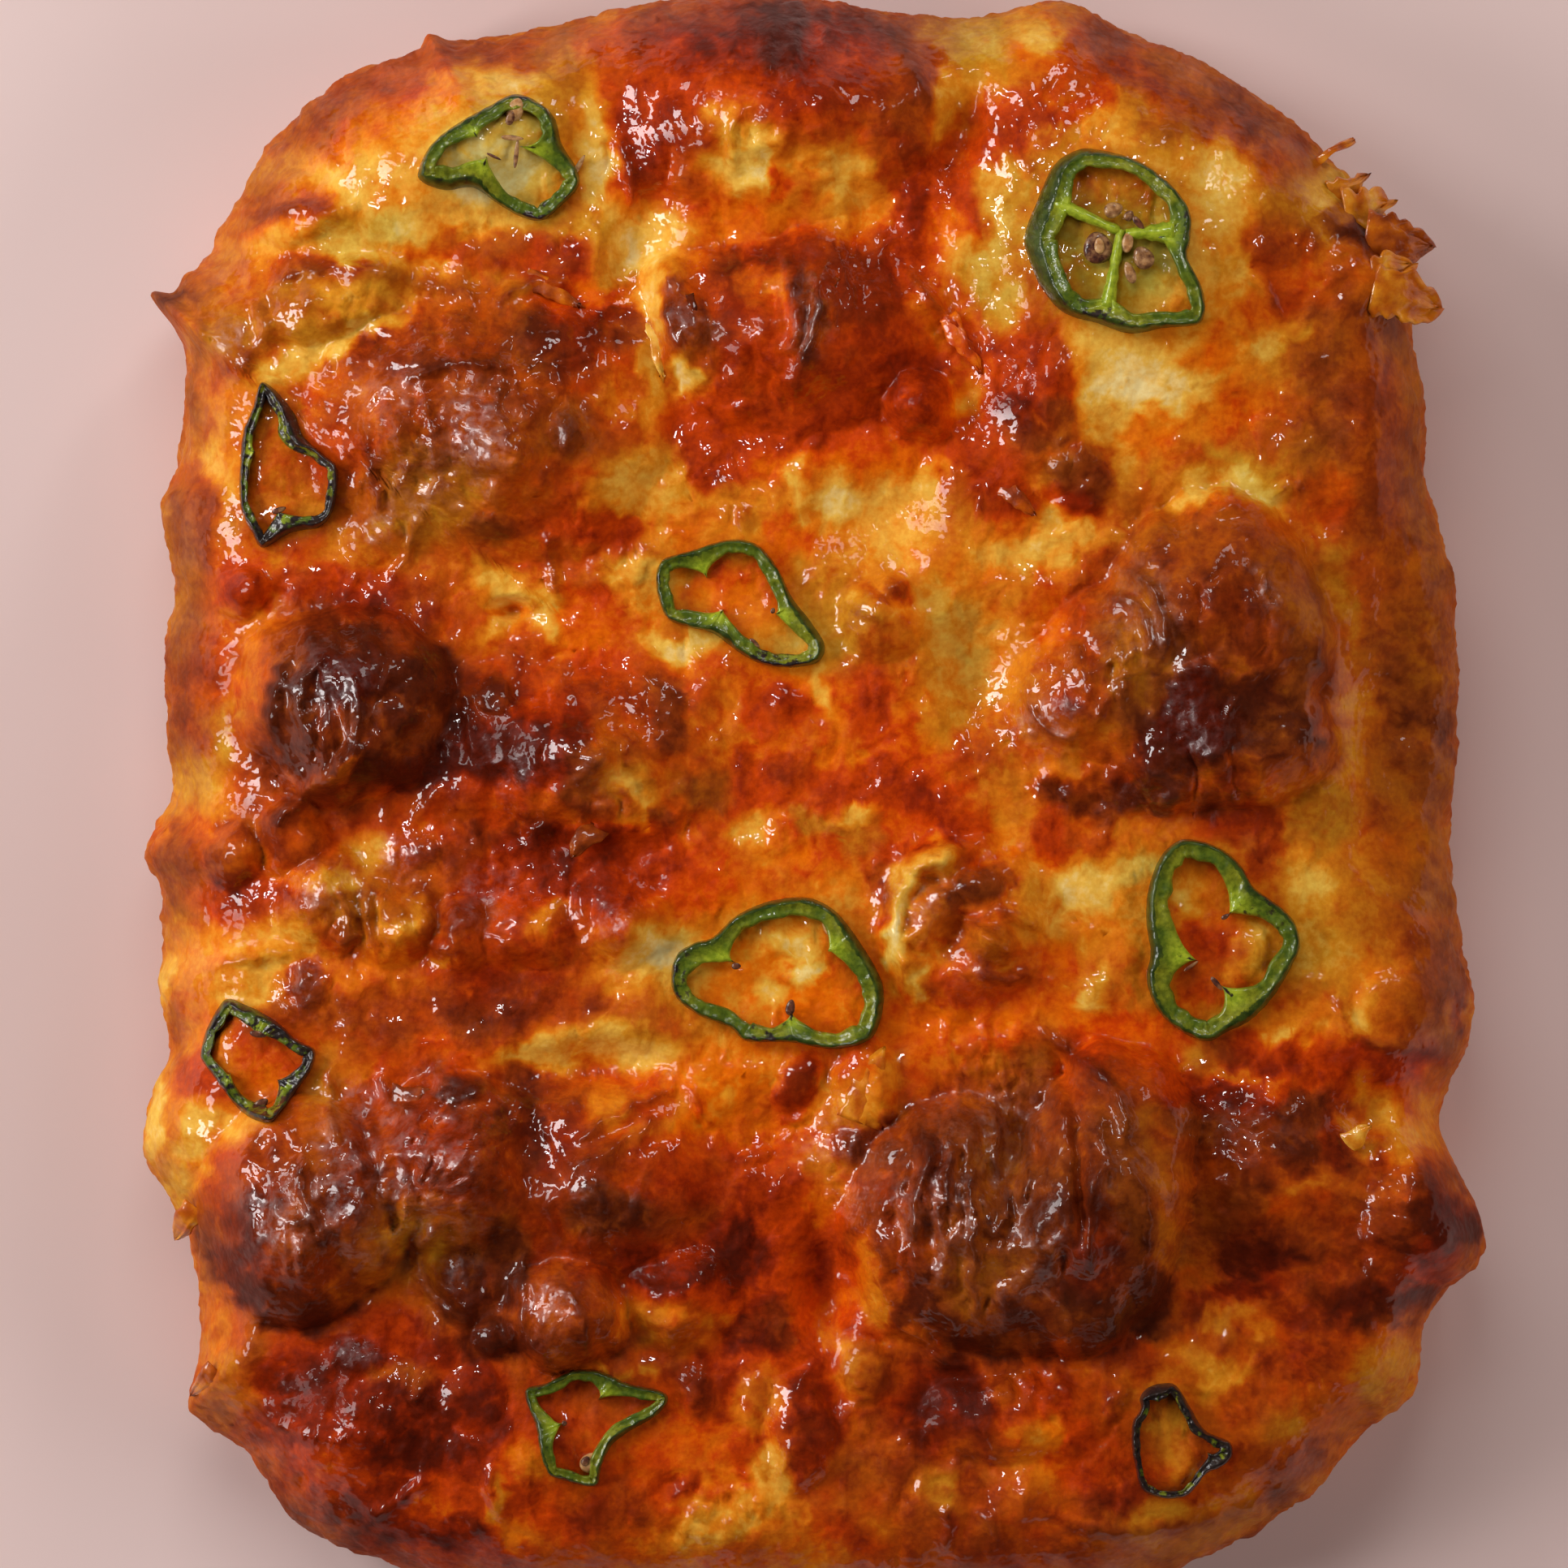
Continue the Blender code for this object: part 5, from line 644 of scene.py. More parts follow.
# Pepper slices, in millimetres from each slice's middle. edge: points round the outer edge. char: how charred
# it is all round. spurs: foot, tip and width of the stubs that the ribs left. broad: direction, spread and
# extra wall where more skin shows. scorch: direction, spread and how charred. ribs: foot, tip and the width
# at each. seeds: x, y, turn, length, width, and 0 for tan to 1 for purple.
RINGS = (
    dict(
        middle=(-46, 96), wall=1.9, height=2.6, char=0.12,
        edge=(
            (2, 9), (5.4, 7.9), (8, 5.5), (9.2, 1.5), (11.4, -2.2), (11.5, -4.8), (9, -7.6), (6, -9.8),
            (2.6, -9), (-0.8, -7), (-4, -5), (-8.2, -5.4), (-11.8, -4), (-12, -2), (-10.2, 1.4),
            (-6.6, 4.4), (-2, 7),
        ),
        spurs=((-5.0, 4.6, -3.3, 2.4, 2.2), (-3.4, -3.6, -2.0, -0.4, 3.8), (7.6, 0.2, 2.8, 1.2, 2.4)),
        seeds=(
            (2.2, 6.6, 70, 3.6, 2.5, 0.05), (1.5, 5.3, 72, 2.2, 1.3, 0.9), (1.8, 2.4, -5, 3.4, 0.8, 0.5),
            (2.4, 0.2, 84, 4.6, 0.7, 0.6), (-0.9, -0.4, -25, 2.4, 0.45, 1.0),
            (11.6, -1.6, 60, 3.6, 0.8, 0.3),
        ),
        broad=((215, 30, 1.3), (15, 30, 0.5)), scorch=((80, 30, 0.5), (300, 18, 0.6)), ribs=(),
    ),
    dict(
        middle=(45, 83), wall=2.0, height=3.4, char=0.0,
        edge=(
            (-3, 13.8), (3, 12.2), (8, 8.6), (10.9, 4.6), (11, 0.4), (10.6, -2.4), (12.6, -6.4),
            (13.2, -10), (12, -12.2), (7, -12.8), (2, -13.6), (-3, -12), (-7.6, -10.6), (-11, -7),
            (-13, -2.4), (-13.6, 1), (-11.6, 6.4), (-9.2, 11.4), (-6, 13.6),
        ),
        spurs=((-8.8, 5.6, -6.6, 4.6, 3.0), (9.4, 1.0, 6.0, 0.6, 4.0), (-1.4, -10.2, -0.8, -7.6, 3.0)),
        ribs=(
            ((-9.0, 5.8), (0.4, 1.6), 2.6, 1.3), ((-1.3, -9.6), (0.7, 1.8), 2.6, 1.3),
            ((8.6, 1.4), (1.4, 1.2), 3.4, 1.7),
        ),
        seeds=(
            (-2.7, -0.9, 100, 4.8, 4.4, 0.85), (-2.5, -0.6, 95, 2.4, 1.5, 0.0),
            (-0.4, 4.7, 20, 2.9, 2.3, 0.35), (1.9, 3.8, 60, 1.7, 1.5, 0.7), (3.3, 2.7, -50, 2.6, 1.0, 1.0),
            (4.0, -2.4, 120, 3.6, 3.0, 0.6), (2.0, -4.6, 110, 3.4, 1.6, 0.45),
            (1.7, 0.0, 80, 3.4, 1.7, 0.25),
        ),
        broad=((175, 75, 2.6), (275, 25, 0.9)), scorch=((255, 30, 0.35), (20, 50, 0.2)),
    ),
    dict(
        middle=(-77.5, 50), wall=1.3, height=2.8, char=0.62,
        edge=(
            (-3.5, 12.4), (-1.2, 10.6), (1.2, 7.6), (2.6, 4.2), (5, 1.9), (7.2, 0), (7.5, -3), (6.6, -7),
            (4.6, -9.2), (0.5, -10), (-3.6, -12.2), (-5.2, -10), (-7, -6), (-7.1, 0), (-6.6, 5),
            (-5.2, 8.6), (-4.4, 11.6),
        ),
        spurs=((-0.6, -9.0, -1.4, -6.6, 2.0), (-6.0, 2.4, -4.8, 2.0, 2.4)),
        scorch=((100, 14, 1.0), (0, 60, 0.9), (255, 20, 0.9)),
        seeds=((-1.2, -6.6, 20, 2.2, 0.9, 1.0),),
        broad=((70, 28, 1.9), (275, 30, 0.8)), ribs=(),
    ),
    dict(
        middle=(-11, 29.5), wall=1.8, height=2.6, char=0.05,
        edge=(
            (-11, 6.5), (-6.5, 8), (-1.5, 9.5), (2.6, 9), (5.6, 6), (8.2, 1), (11, -2.6), (13, -6),
            (12, -8.6), (8, -9.4), (3.5, -8.8), (0, -7), (-3.5, -4.4), (-7, -3.4), (-10.4, -2), (-12, 3),
        ),
        spurs=((-5.4, 6.2, -4.4, 3.8, 4.0), (-3.6, -3.2, -2.0, -0.8, 4.0), (8.2, -1.6, 5.6, -1.4, 2.0)),
        seeds=((5.3, -1.0, 80, 0.9, 0.7, 1.0), (2.6, -5.8, -40, 2.0, 0.8, 0.7)),
        broad=((345, 30, 0.8), (250, 30, 0.5)), scorch=((300, 25, 0.75), (160, 25, 0.35)), ribs=(),
    ),
    dict(
        middle=(-5, -24.5), wall=2.1, height=2.8, char=0.0,
        edge=(
            (-15.8, -1.5), (-15, 2), (-12.6, 3.8), (-9.6, 4.8), (-6, 8), (-1, 10.2), (4.6, 10.6),
            (8.6, 8.6), (12, 4.4), (15, -0.6), (15.8, -4), (15, -8.4), (13, -10.8), (8, -11.8), (2, -10.8),
            (-4.6, -10.6), (-7, -8.6), (-11.6, -6.8), (-14.8, -4.4),
        ),
        spurs=((-10.4, 2.8, -6.2, 1.0, 4.2), (2.4, -8.8, 2.0, -6.0, 3.0), (10.6, 4.0, 7.4, 2.8, 3.4)),
        seeds=(
            (8.0, 6.6, 120, 3.8, 2.8, 0.15), (1.9, -5.6, 80, 2.4, 1.4, 1.0), (-6.1, 0.5, 0, 1.4, 1.0, 1.0),
        ),
        broad=((0, 50, 0.9), (85, 40, 0.5)), scorch=((185, 22, 0.45), (262, 20, 0.6)), ribs=(),
    ),
    dict(
        middle=(60.5, -20), wall=2.4, height=3.0, char=0.0,
        edge=(
            (-6, 14.6), (-2.6, 14.4), (0.6, 13), (3.2, 10.6), (5, 7.6), (8.8, 4.8), (11, 2.4), (11.8, -1),
            (10.4, -4.4), (8, -8.4), (4.6, -12), (1, -13.8), (-2, -15.2), (-6, -13.6), (-9.4, -10.4),
            (-11, -6), (-10.4, -2), (-11, 2), (-10.8, 7), (-9, 12),
        ),
        spurs=((4.2, 6.8, 1.2, 3.6, 4.4), (-8.6, -1.6, -3.4, -3.2, 4.0), (2.2, -8.6, 0.0, -6.8, 2.4)),
        seeds=(
            (0.7, 3.3, 30, 1.4, 0.7, 1.0), (-0.6, -6.6, -50, 2.6, 0.8, 1.0),
            (-4.4, -4.0, 35, 2.6, 0.5, 0.9),
        ),
        broad=((170, 60, 0.7), (300, 50, 0.6)), scorch=((35, 25, 0.35),), ribs=(),
    ),
    dict(
        middle=(-82, -38), wall=1.5, height=2.6, char=0.35,
        edge=(
            (-4.8, 9), (-2, 8.4), (1, 7), (3.6, 5.2), (5.6, 3.2), (8.5, 1.6), (8.2, -1), (6.4, -3.8),
            (3.8, -7.4), (2.2, -9.2), (-0.4, -8.8), (-2.6, -7.4), (-4.6, -5), (-6.2, -2.8), (-8.3, 0),
            (-8.4, 1.6), (-7.4, 5),
        ),
        spurs=((1.4, 5.6, 0.0, 3.7, 3.2), (5.2, -4.0, 2.9, -2.8, 3.0), (-4.0, -3.4, -4.0, -1.8, 2.0)),
        scorch=((350, 60, 1.0), (50, 30, 0.9), (275, 25, 0.6)),
        seeds=((0.2, 3.9, -10, 2.6, 1.0, 1.0), (0.6, -6.4, 30, 2.4, 1.4, 0.9)),
        broad=((100, 40, 0.8), (270, 25, 0.8)), ribs=(),
    ),
    dict(
        middle=(-32, -92), wall=1.5, height=2.4, char=0.1,
        edge=(
            (-10.4, 5), (-7, 6.4), (-3, 8.2), (1, 8), (5, 6.2), (9.6, 5.2), (10.8, 3.8), (9, 1.4), (5, -1),
            (2.5, -3), (1, -6), (0.4, -8.6), (-1.4, -9), (-5, -8), (-7, -7), (-8.2, -3.6), (-8.8, 0),
        ),
        spurs=((-7.0, -0.4, -4.6, 0.4, 3.6), (2.6, 5.6, 0.4, 3.8, 3.4)),
        seeds=(
            (-0.8, -5.4, 50, 3.2, 2.6, 0.1), (-1.4, -5.2, 60, 1.6, 1.2, 0.8), (-4.5, 0.4, 0, 0.8, 0.8, 1.0),
        ),
        broad=((330, 40, 0.6),), scorch=((160, 25, 0.4), (250, 40, 0.35)), ribs=(),
    ),
    dict(
        middle=(54.5, -94), wall=1.1, height=2.6, char=0.9,
        edge=(
            (-5, 7.5), (-3, 8.3), (-0.6, 8), (1.4, 5), (3.5, 1.6), (5.5, 0.4), (7.5, -0.5), (7.8, -2.5),
            (6.5, -4), (4, -5.2), (2.6, -7), (0.8, -8.6), (-2.6, -8.8), (-5.6, -7.4), (-6.6, -4),
            (-7.1, -1), (-7, 2.4), (-5.8, 4.4), (-6, 6),
        ),
        spurs=((5.4, -3.0, 4.0, -2.0, 3.0),),
        broad=((115, 22, 1.4), (50, 30, 0.4)), scorch=((20, 90, 1.0),), ribs=(), seeds=(),
    ),
)
CHARRED_RINGS = (3, 7, 9)

# No slice reaches farther from its middle than this
RING_REACH = 22.0

# Section of a slice's wall, from the skin's foot over the top to the inner foot. The first number is the
# place across: -1 at the foot of the skin, 0 at its rim and 1 at the inner edge. Then come the height as a
# share and how much of it is skin.
SECTION = (
    (-1.0, 0.0, 1.0), (-0.8, 0.42, 1.0), (-0.4, 0.78, 1.0), (0.0, 0.98, 1.0), (0.12, 1.0, 0.8),
    (0.24, 0.93, 0.15), (0.42, 0.86, 0.0), (0.6, 0.85, 0.0), (0.78, 0.88, 0.0), (0.92, 0.82, 0.0),
    (1.0, 0.62, 0.1), (1.0, 0.3, 0.2), (0.98, 0.0, 0.2), (0.3, 0.0, 0.5),
)


# Smooth random fields

class Field:
    """Smooth random heights over the plane, the same on each run for one seed."""

    SIZE = 256

    def __init__(self, seed):
        angle = np.random.default_rng(seed).uniform(0.0, 2.0 * math.pi, (self.SIZE, self.SIZE))
        self.slope_x = np.cos(angle)
        self.slope_y = np.sin(angle)

    def at(self, x, y):
        """Values between about -1 and 1 at points given in units of the field's grid."""
        left = np.floor(x).astype(int)
        low = np.floor(y).astype(int)
        dx = x - left
        dy = y - low
        corners = []
        for step_x in (0, 1):
            for step_y in (0, 1):
                cell = ((left + step_x) % self.SIZE, (low + step_y) % self.SIZE)
                corners.append(self.slope_x[cell] * (dx - step_x) + self.slope_y[cell] * (dy - step_y))
        near = corners[0] + eased(dy) * (corners[1] - corners[0])
        far = corners[2] + eased(dy) * (corners[3] - corners[2])
        return 1.5 * (near + eased(dx) * (far - near))


def eased(share):
    return share * share * share * (share * (share * 6.0 - 15.0) + 10.0)


# How far apart in a field the layers of one noise are read
LAYER_SHIFT = 17.3


def layered(field, x, y, span, layers=3, fade=0.5):
    """Several sizes of one field on top of each other. span is the widest size in millimetres."""
    total = np.zeros_like(x)
    strength = 1.0
    for layer in range(layers):
        shift = LAYER_SHIFT * layer
        total += strength * field.at(x / span + shift, y / span - shift)
        strength *= fade
        span *= 0.5
    return total


# ROUGH and DRIFT shape and colour the crust, and WARP_X and WARP_Y push points about
ROUGH = Field(11)
DRIFT = Field(23)
WARP_X = Field(37)
WARP_Y = Field(41)

# Waves that push points about: how far, how wide, and the shifts of x and y in the field
BUBBLE_WAVES = ((1.8, 13.0, 0.0, 0.0), (0.9, 4.5, 7.0, 0.0))
WRINKLE_WAVES = ((2.2, 6.0, 0.0, 0.0),)
BUMP_WAVES = ((0.8, 3.0, 0.0, 0.0),)
SKIN_WAVES = ((1.6, 5.0, 0.0, 3.0),)
STREAK_WAVES = ((1.5, 4.0, 0.0, 0.0),)
DAB_WAVES = ((2.4, 8.0, 0.0, 0.0), (1.3, 3.0, 0.0, 0.0), (0.6, 1.4, 0.0, 0.0))


def pushed(x, y, waves):
    """Points pushed about a little, so that outlines drawn through them come out uneven."""
    bend_x = x
    bend_y = y
    for reach, span, shift_x, shift_y in waves:
        bend_x = bend_x + reach * WARP_X.at(x / span + shift_x, y / span + shift_y)
        bend_y = bend_y + reach * WARP_Y.at(x / span + shift_x, y / span + shift_y)
    return bend_x, bend_y


def cell_domes(x, y, size, seed):
    """Round bumps of uneven size, packed side by side: 1 at a bump's top and 0 between bumps."""
    cells = 64
    rng = np.random.default_rng(seed)
    jitter = rng.uniform(0.15, 0.85, (cells, cells, 2))
    scale = rng.uniform(0.35, 1.0, (cells, cells))
    u = x / size
    v = y / size
    left = np.floor(u).astype(int)
    low = np.floor(v).astype(int)
    top = np.zeros_like(x)
    for step_x in (-1, 0, 1):
        for step_y in (-1, 0, 1):
            cell = ((left + step_x) % cells, (low + step_y) % cells)
            dx = u - left - step_x - jitter[..., 0][cell]
            dy = v - low - step_y - jitter[..., 1][cell]
            away = (dx * dx + dy * dy) / (0.62 * scale[cell]) ** 2
            top = np.maximum(top, scale[cell] * np.sqrt(np.clip(1.0 - away, 0.0, 1.0)))
    return top


def smooth_step(low, high, value):
    share = np.clip((value - low) / (high - low), 0.0, 1.0)
    return share * share * (3.0 - 2.0 * share)


# Ovals, curves and directions

def off_centre(x, y, oval):
    """How far points lie out in an oval: 0 at its middle and 1 at its edge."""
    middle_x, middle_y, half_width, half_length, turn = oval
    turn = math.radians(turn)
    dx = x - middle_x
    dy = y - middle_y
    across = (dx * math.cos(turn) + dy * math.sin(turn)) / half_width
    along = (dy * math.cos(turn) - dx * math.sin(turn)) / half_length
    return np.hypot(across, along)


def near_oval(x, y, oval, reach=1.0):
    """Indexes of the points that an oval can touch."""
    middle_x, middle_y, half_width, half_length, _ = oval
    far = reach * max(half_width, half_length)
    return np.nonzero((np.abs(x - middle_x) < far) & (np.abs(y - middle_y) < far))[0]


def cover(x, y, oval, outer, inner):
    """The points that an oval touches and how much it covers each: 0 beyond outer and 1 within inner."""
    near = near_oval(x, y, oval, outer)
    return near, smooth_step(outer, inner, off_centre(x[near], y[near], oval))


def strongest(x, y, forms, outer, inner):
    """The strongest of the ovals over each point. The last number of a form is its strength."""
    most = np.zeros_like(x)
    for *oval, strength in forms:
        near, share = cover(x, y, oval, outer, inner)
        most[near] = np.maximum(most[near], strength * share)
    return most


def turned_apart(direction, other):
    """Degrees between two directions."""
    return np.abs((direction - other + 180.0) % 360.0 - 180.0)


def curve_through(points, steps=8):
    """Points along a smooth curve that passes through every given point."""
    points = [np.array(point, dtype=float) for point in points]
    padded = [2.0 * points[0] - points[1]] + points + [2.0 * points[-1] - points[-2]]
    curve = []
    for i in range(1, len(padded) - 2):
        before, start, end, after = padded[i - 1:i + 3]
        slope = end - before
        curving = 2.0 * before - 5.0 * start + 4.0 * end - after
        twisting = 3.0 * start - before - 3.0 * end + after
        for step in range(steps):
            t = step / steps
            curve.append(0.5 * (2.0 * start + slope * t + curving * t ** 2 + twisting * t ** 3))
    curve.append(points[-1])
    return np.array(curve)


def distance_to_curve(x, y, curve):
    """Distance from each point to a curve, and how far along it the nearest place is, from 0 to 1."""
    nearest = np.full(x.shape, 1e9)
    place = np.zeros_like(x)
    for i in range(len(curve) - 1):
        start_x, start_y = curve[i]
        run = curve[i + 1] - curve[i]
        along = (x - start_x) * run[0] + (y - start_y) * run[1]
        share = np.clip(along / max(run @ run, 1e-9), 0.0, 1.0)
        away = np.hypot(x - start_x - share * run[0], y - start_y - share * run[1])
        closer = away < nearest
        nearest = np.where(closer, away, nearest)
        place = np.where(closer, (i + share) / (len(curve) - 1), place)
    return nearest, place


def closed_loop(points, stations):
    """Evenly spaced points on a closed curve that passes through every given point."""
    count = len(points)
    steps = 12
    around = [points[(i - 2) % count] for i in range(count + 5)]
    curve = curve_through(around, steps)[2 * steps:2 * steps + steps * count + 1]
    lengths = lengths_along(curve)
    wanted = np.linspace(0.0, lengths[-1], stations, endpoint=False)
    return np.column_stack([np.interp(wanted, lengths, curve[:, axis]) for axis in (0, 1)])


def lengths_along(curve):
    """Length of the curve from its start to each of its points."""
    return np.concatenate([[0.0], np.cumsum(np.hypot(*np.diff(curve, axis=0).T))])


# Shape of the loaf

def outline_radius(angle, lobe_share):
    """Distance of the outline from the middle. lobe_share is how much of the lobes and notches it has."""
    across = np.abs(np.cos(angle) / HALF_WIDTH) ** CORNER_POWER
    along = np.abs(np.sin(angle) / HALF_LENGTH) ** CORNER_POWER
    radius = (across + along) ** (-1.0 / CORNER_POWER)
    for direction, spread, outward in LOBES:
        apart = turned_apart(np.degrees(angle), direction)
        radius = radius + lobe_share * outward * np.exp(-((apart / spread) ** 2))
    return radius


def soft_bump(distance):
    return np.cos(0.5 * math.pi * np.minimum(distance, 1.0)) ** 2


def steep_dome(distance, power=0.7):
    return np.clip(1.0 - distance * distance, 0.0, 1.0) ** power


def loose_dome(distance, sharp):
    """A dome that rises straight from the crust where it is sharp, and else has a long sagging foot."""
    steep = steep_dome(distance, 0.95 - 0.4 * sharp)
    return (0.55 + 0.4 * sharp) * steep + (0.45 - 0.4 * sharp) * soft_bump(distance)


def broad_height(x, y):
    """Height of the crust as the solid part has it, and how much of that is bubble."""
    across = np.abs(x / HALF_WIDTH) ** CORNER_POWER
    along = np.abs(y / HALF_LENGTH) ** CORNER_POWER
    outward = np.minimum(1.0, (across + along) ** (1.0 / CORNER_POWER))
    height = RIM_TOP + (CROWN_TOP - RIM_TOP) * (1.0 - outward ** 2)
    for forms, sign in ((SWELLS, 1.0), (HOLLOWS, -1.0)):
        for *oval, rise in forms:
            near = near_oval(x, y, oval)
            height[near] += sign * rise * soft_bump(off_centre(x[near], y[near], oval))
    powers = np.zeros_like(x)
    bend_x, bend_y = pushed(x, y, BUBBLE_WAVES)
    for *oval, rise, sharp in BUBBLES:
        near = near_oval(bend_x, bend_y, oval)
        dome = loose_dome(off_centre(bend_x[near], bend_y[near], oval), sharp)
        powers[near] += (rise * dome) ** CREASE_POWER
    lift = powers ** (1.0 / CREASE_POWER)
    lift = lift * (1.0 + 0.12 * layered(DRIFT, x + 50.0, y, 9.0, layers=2))
    return height + lift, lift


def add_folds(x, y, height):
    """Crests that wander a little, highest in their middle and fading at both ends."""
    for width, rise, *points in FOLDS:
        curve = curve_through(points)
        low = curve.min(axis=0) - 3.0 * width
        high = curve.max(axis=0) + 3.0 * width
        near = np.nonzero((x > low[0]) & (x < high[0]) & (y > low[1]) & (y < high[1]))[0]
        wander = 0.6 * WARP_X.at(x[near] / 3.0, y[near] / 3.0)
        away, place = distance_to_curve(x[near] + wander, y[near] - wander, curve)
        fade = np.minimum(1.0, 5.0 * np.minimum(place, 1.0 - place)) ** 0.5
        height[near] += rise * fade * np.exp(-((away / (0.62 * width)) ** 2))


def add_wrinkles(x, y, height):
    """Skin drawn into long narrow crests."""
    for number, (*upright, direction, depth, spacing) in enumerate(WRINKLES):
        near, mask = cover(x, y, (*upright, 0), 1.0, 0.45)
        bend_x, bend_y = pushed(x[near], y[near], WRINKLE_WAVES)
        turn = math.radians(direction)
        along = bend_x * math.cos(turn) + bend_y * math.sin(turn)
        across = bend_y * math.cos(turn) - bend_x * math.sin(turn)
        waves = ROUGH.at(across / spacing + 5.1 * number, along / (4.5 * spacing) + 3.7 * number)
        crest = np.clip(1.0 - 2.2 * np.abs(waves), 0.0, 1.0) ** 1.6
        height[near] += depth * mask * crest


def add_bumps(x, y, height):
    """Skin covered in small round bumps."""
    for number, (*oval, rise, size) in enumerate(BUMPS):
        near, mask = cover(x, y, oval, 1.0, 0.4)
        bend_x, bend_y = pushed(x[near], y[near], BUMP_WAVES)
        height[near] += rise * mask * cell_domes(bend_x, bend_y, size, FIRST_BUMP_SEED + number)


def calm_near_rings(x, y):
    """1 on open crust and little under the pepper, so that the slices lie flat."""
    calm = np.ones_like(x)
    for ring in RINGS:
        middle = np.array(ring["middle"])
        near = np.nonzero(np.hypot(x - middle[0], y - middle[1]) < RING_REACH)[0]
        loop = middle + closed_loop(ring["edge"], 40)
        away = distance_to_curve(x[near], y[near], np.vstack([loop, loop[:1]]))[0]
        calm[near] = np.minimum(calm[near], smooth_step(0.5, 3.5, away))
    return calm


def fine_relief(x, y, lift):
    """What the crust adds to its broad form: blisters, folds, wrinkles, bumps and uneven skin."""
    relief = np.zeros_like(x)
    for *oval, rise in BLISTERS:
        near = near_oval(x, y, oval, 1.1)
        relief[near] += rise * steep_dome(off_centre(x[near], y[near], oval))
    add_folds(x, y, relief)
    add_wrinkles(x, y, relief)
    add_bumps(x, y, relief)
    relief += 0.9 * layered(DRIFT, x, y, 13.0, layers=2)
    relief += glossy_skin(x, y) * (0.75 + 0.04 * lift) * (1.0 - taut_skin(x, y))
    return relief * (0.25 + 0.75 * calm_near_rings(x, y))


def taut_skin(x, y):
    """How smooth and tight the skin is, from 0 to 1."""
    return strongest(x, y, CALM, 1.0, 0.6)


def glossy_skin(x, y):
    """Small soft wrinkles all over the crust, closer together in some places than in others."""
    bend_x, bend_y = pushed(x, y, SKIN_WAVES)
    broad = np.abs(ROUGH.at(bend_x / 5.2 + 31.0, bend_y / 6.5))
    fine = np.abs(ROUGH.at(bend_x / 2.4, bend_y / 3.3 + 8.0))
    close = smooth_step(-0.35, 0.35, DRIFT.at(x / 11.0 + 60.0, y / 11.0))
    grain = 0.8 * (0.4 - fine) + 0.18 * ROUGH.at(x / 1.3, y / 1.5)
    return 0.45 - broad + (0.45 + 0.7 * close) * grain


# Meshes

# A height above every bubble
ABOVE_ALL = 200.0


def mesh_points(thing):
    points = np.empty(len(thing.data.vertices) * 3)
    thing.data.vertices.foreach_get("co", points)
    return points.reshape(-1, 3)


def set_points(thing, x, y, z):
    """Moves a mesh's points to places on the crust, given in millimetres."""
    points = np.column_stack([x - BOX_CENTRE_X, y - BOX_CENTRE_Y, z]) * MM
    thing.data.vertices.foreach_set("co", points.astype(np.float32).ravel())
    thing.data.update()


def store(thing, name, values):
    """Keeps a number for each point of a mesh, or one number for all of them, for its material to read."""
    attribute = thing.data.attributes.new(name, "FLOAT", "POINT")
    filled = np.broadcast_to(values, len(thing.data.vertices))
    attribute.data.foreach_set("value", filled.astype(np.float32))


def turn_faces_outward():
    """Turns every face of the mesh that is being edited outward and ends the editing."""
    bpy.ops.mesh.select_all(action="SELECT")
    bpy.ops.mesh.normals_make_consistent(inside=False)
    bpy.ops.object.mode_set(mode="OBJECT")


def join_into(body, extras):
    """Makes the extra meshes part of the body, which is left as the active object."""
    bpy.ops.object.select_all(action="DESELECT")
    for thing in extras + [body]:
        thing.select_set(True)
    bpy.context.view_layer.objects.active = body
    if extras:
        bpy.ops.object.join()


def crust_under(surface, points):
    """Height of the finished crust under each point."""
    tops = []
    for x, y in points:
        above = Vector(((x - BOX_CENTRE_X) * MM, (y - BOX_CENTRE_Y) * MM, ABOVE_ALL * MM))
        hit = surface.ray_cast(above, Vector((0.0, 0.0, -1.0)))[0]
        tops.append(hit.z / MM if hit else 0.0)
    return np.array(tops)


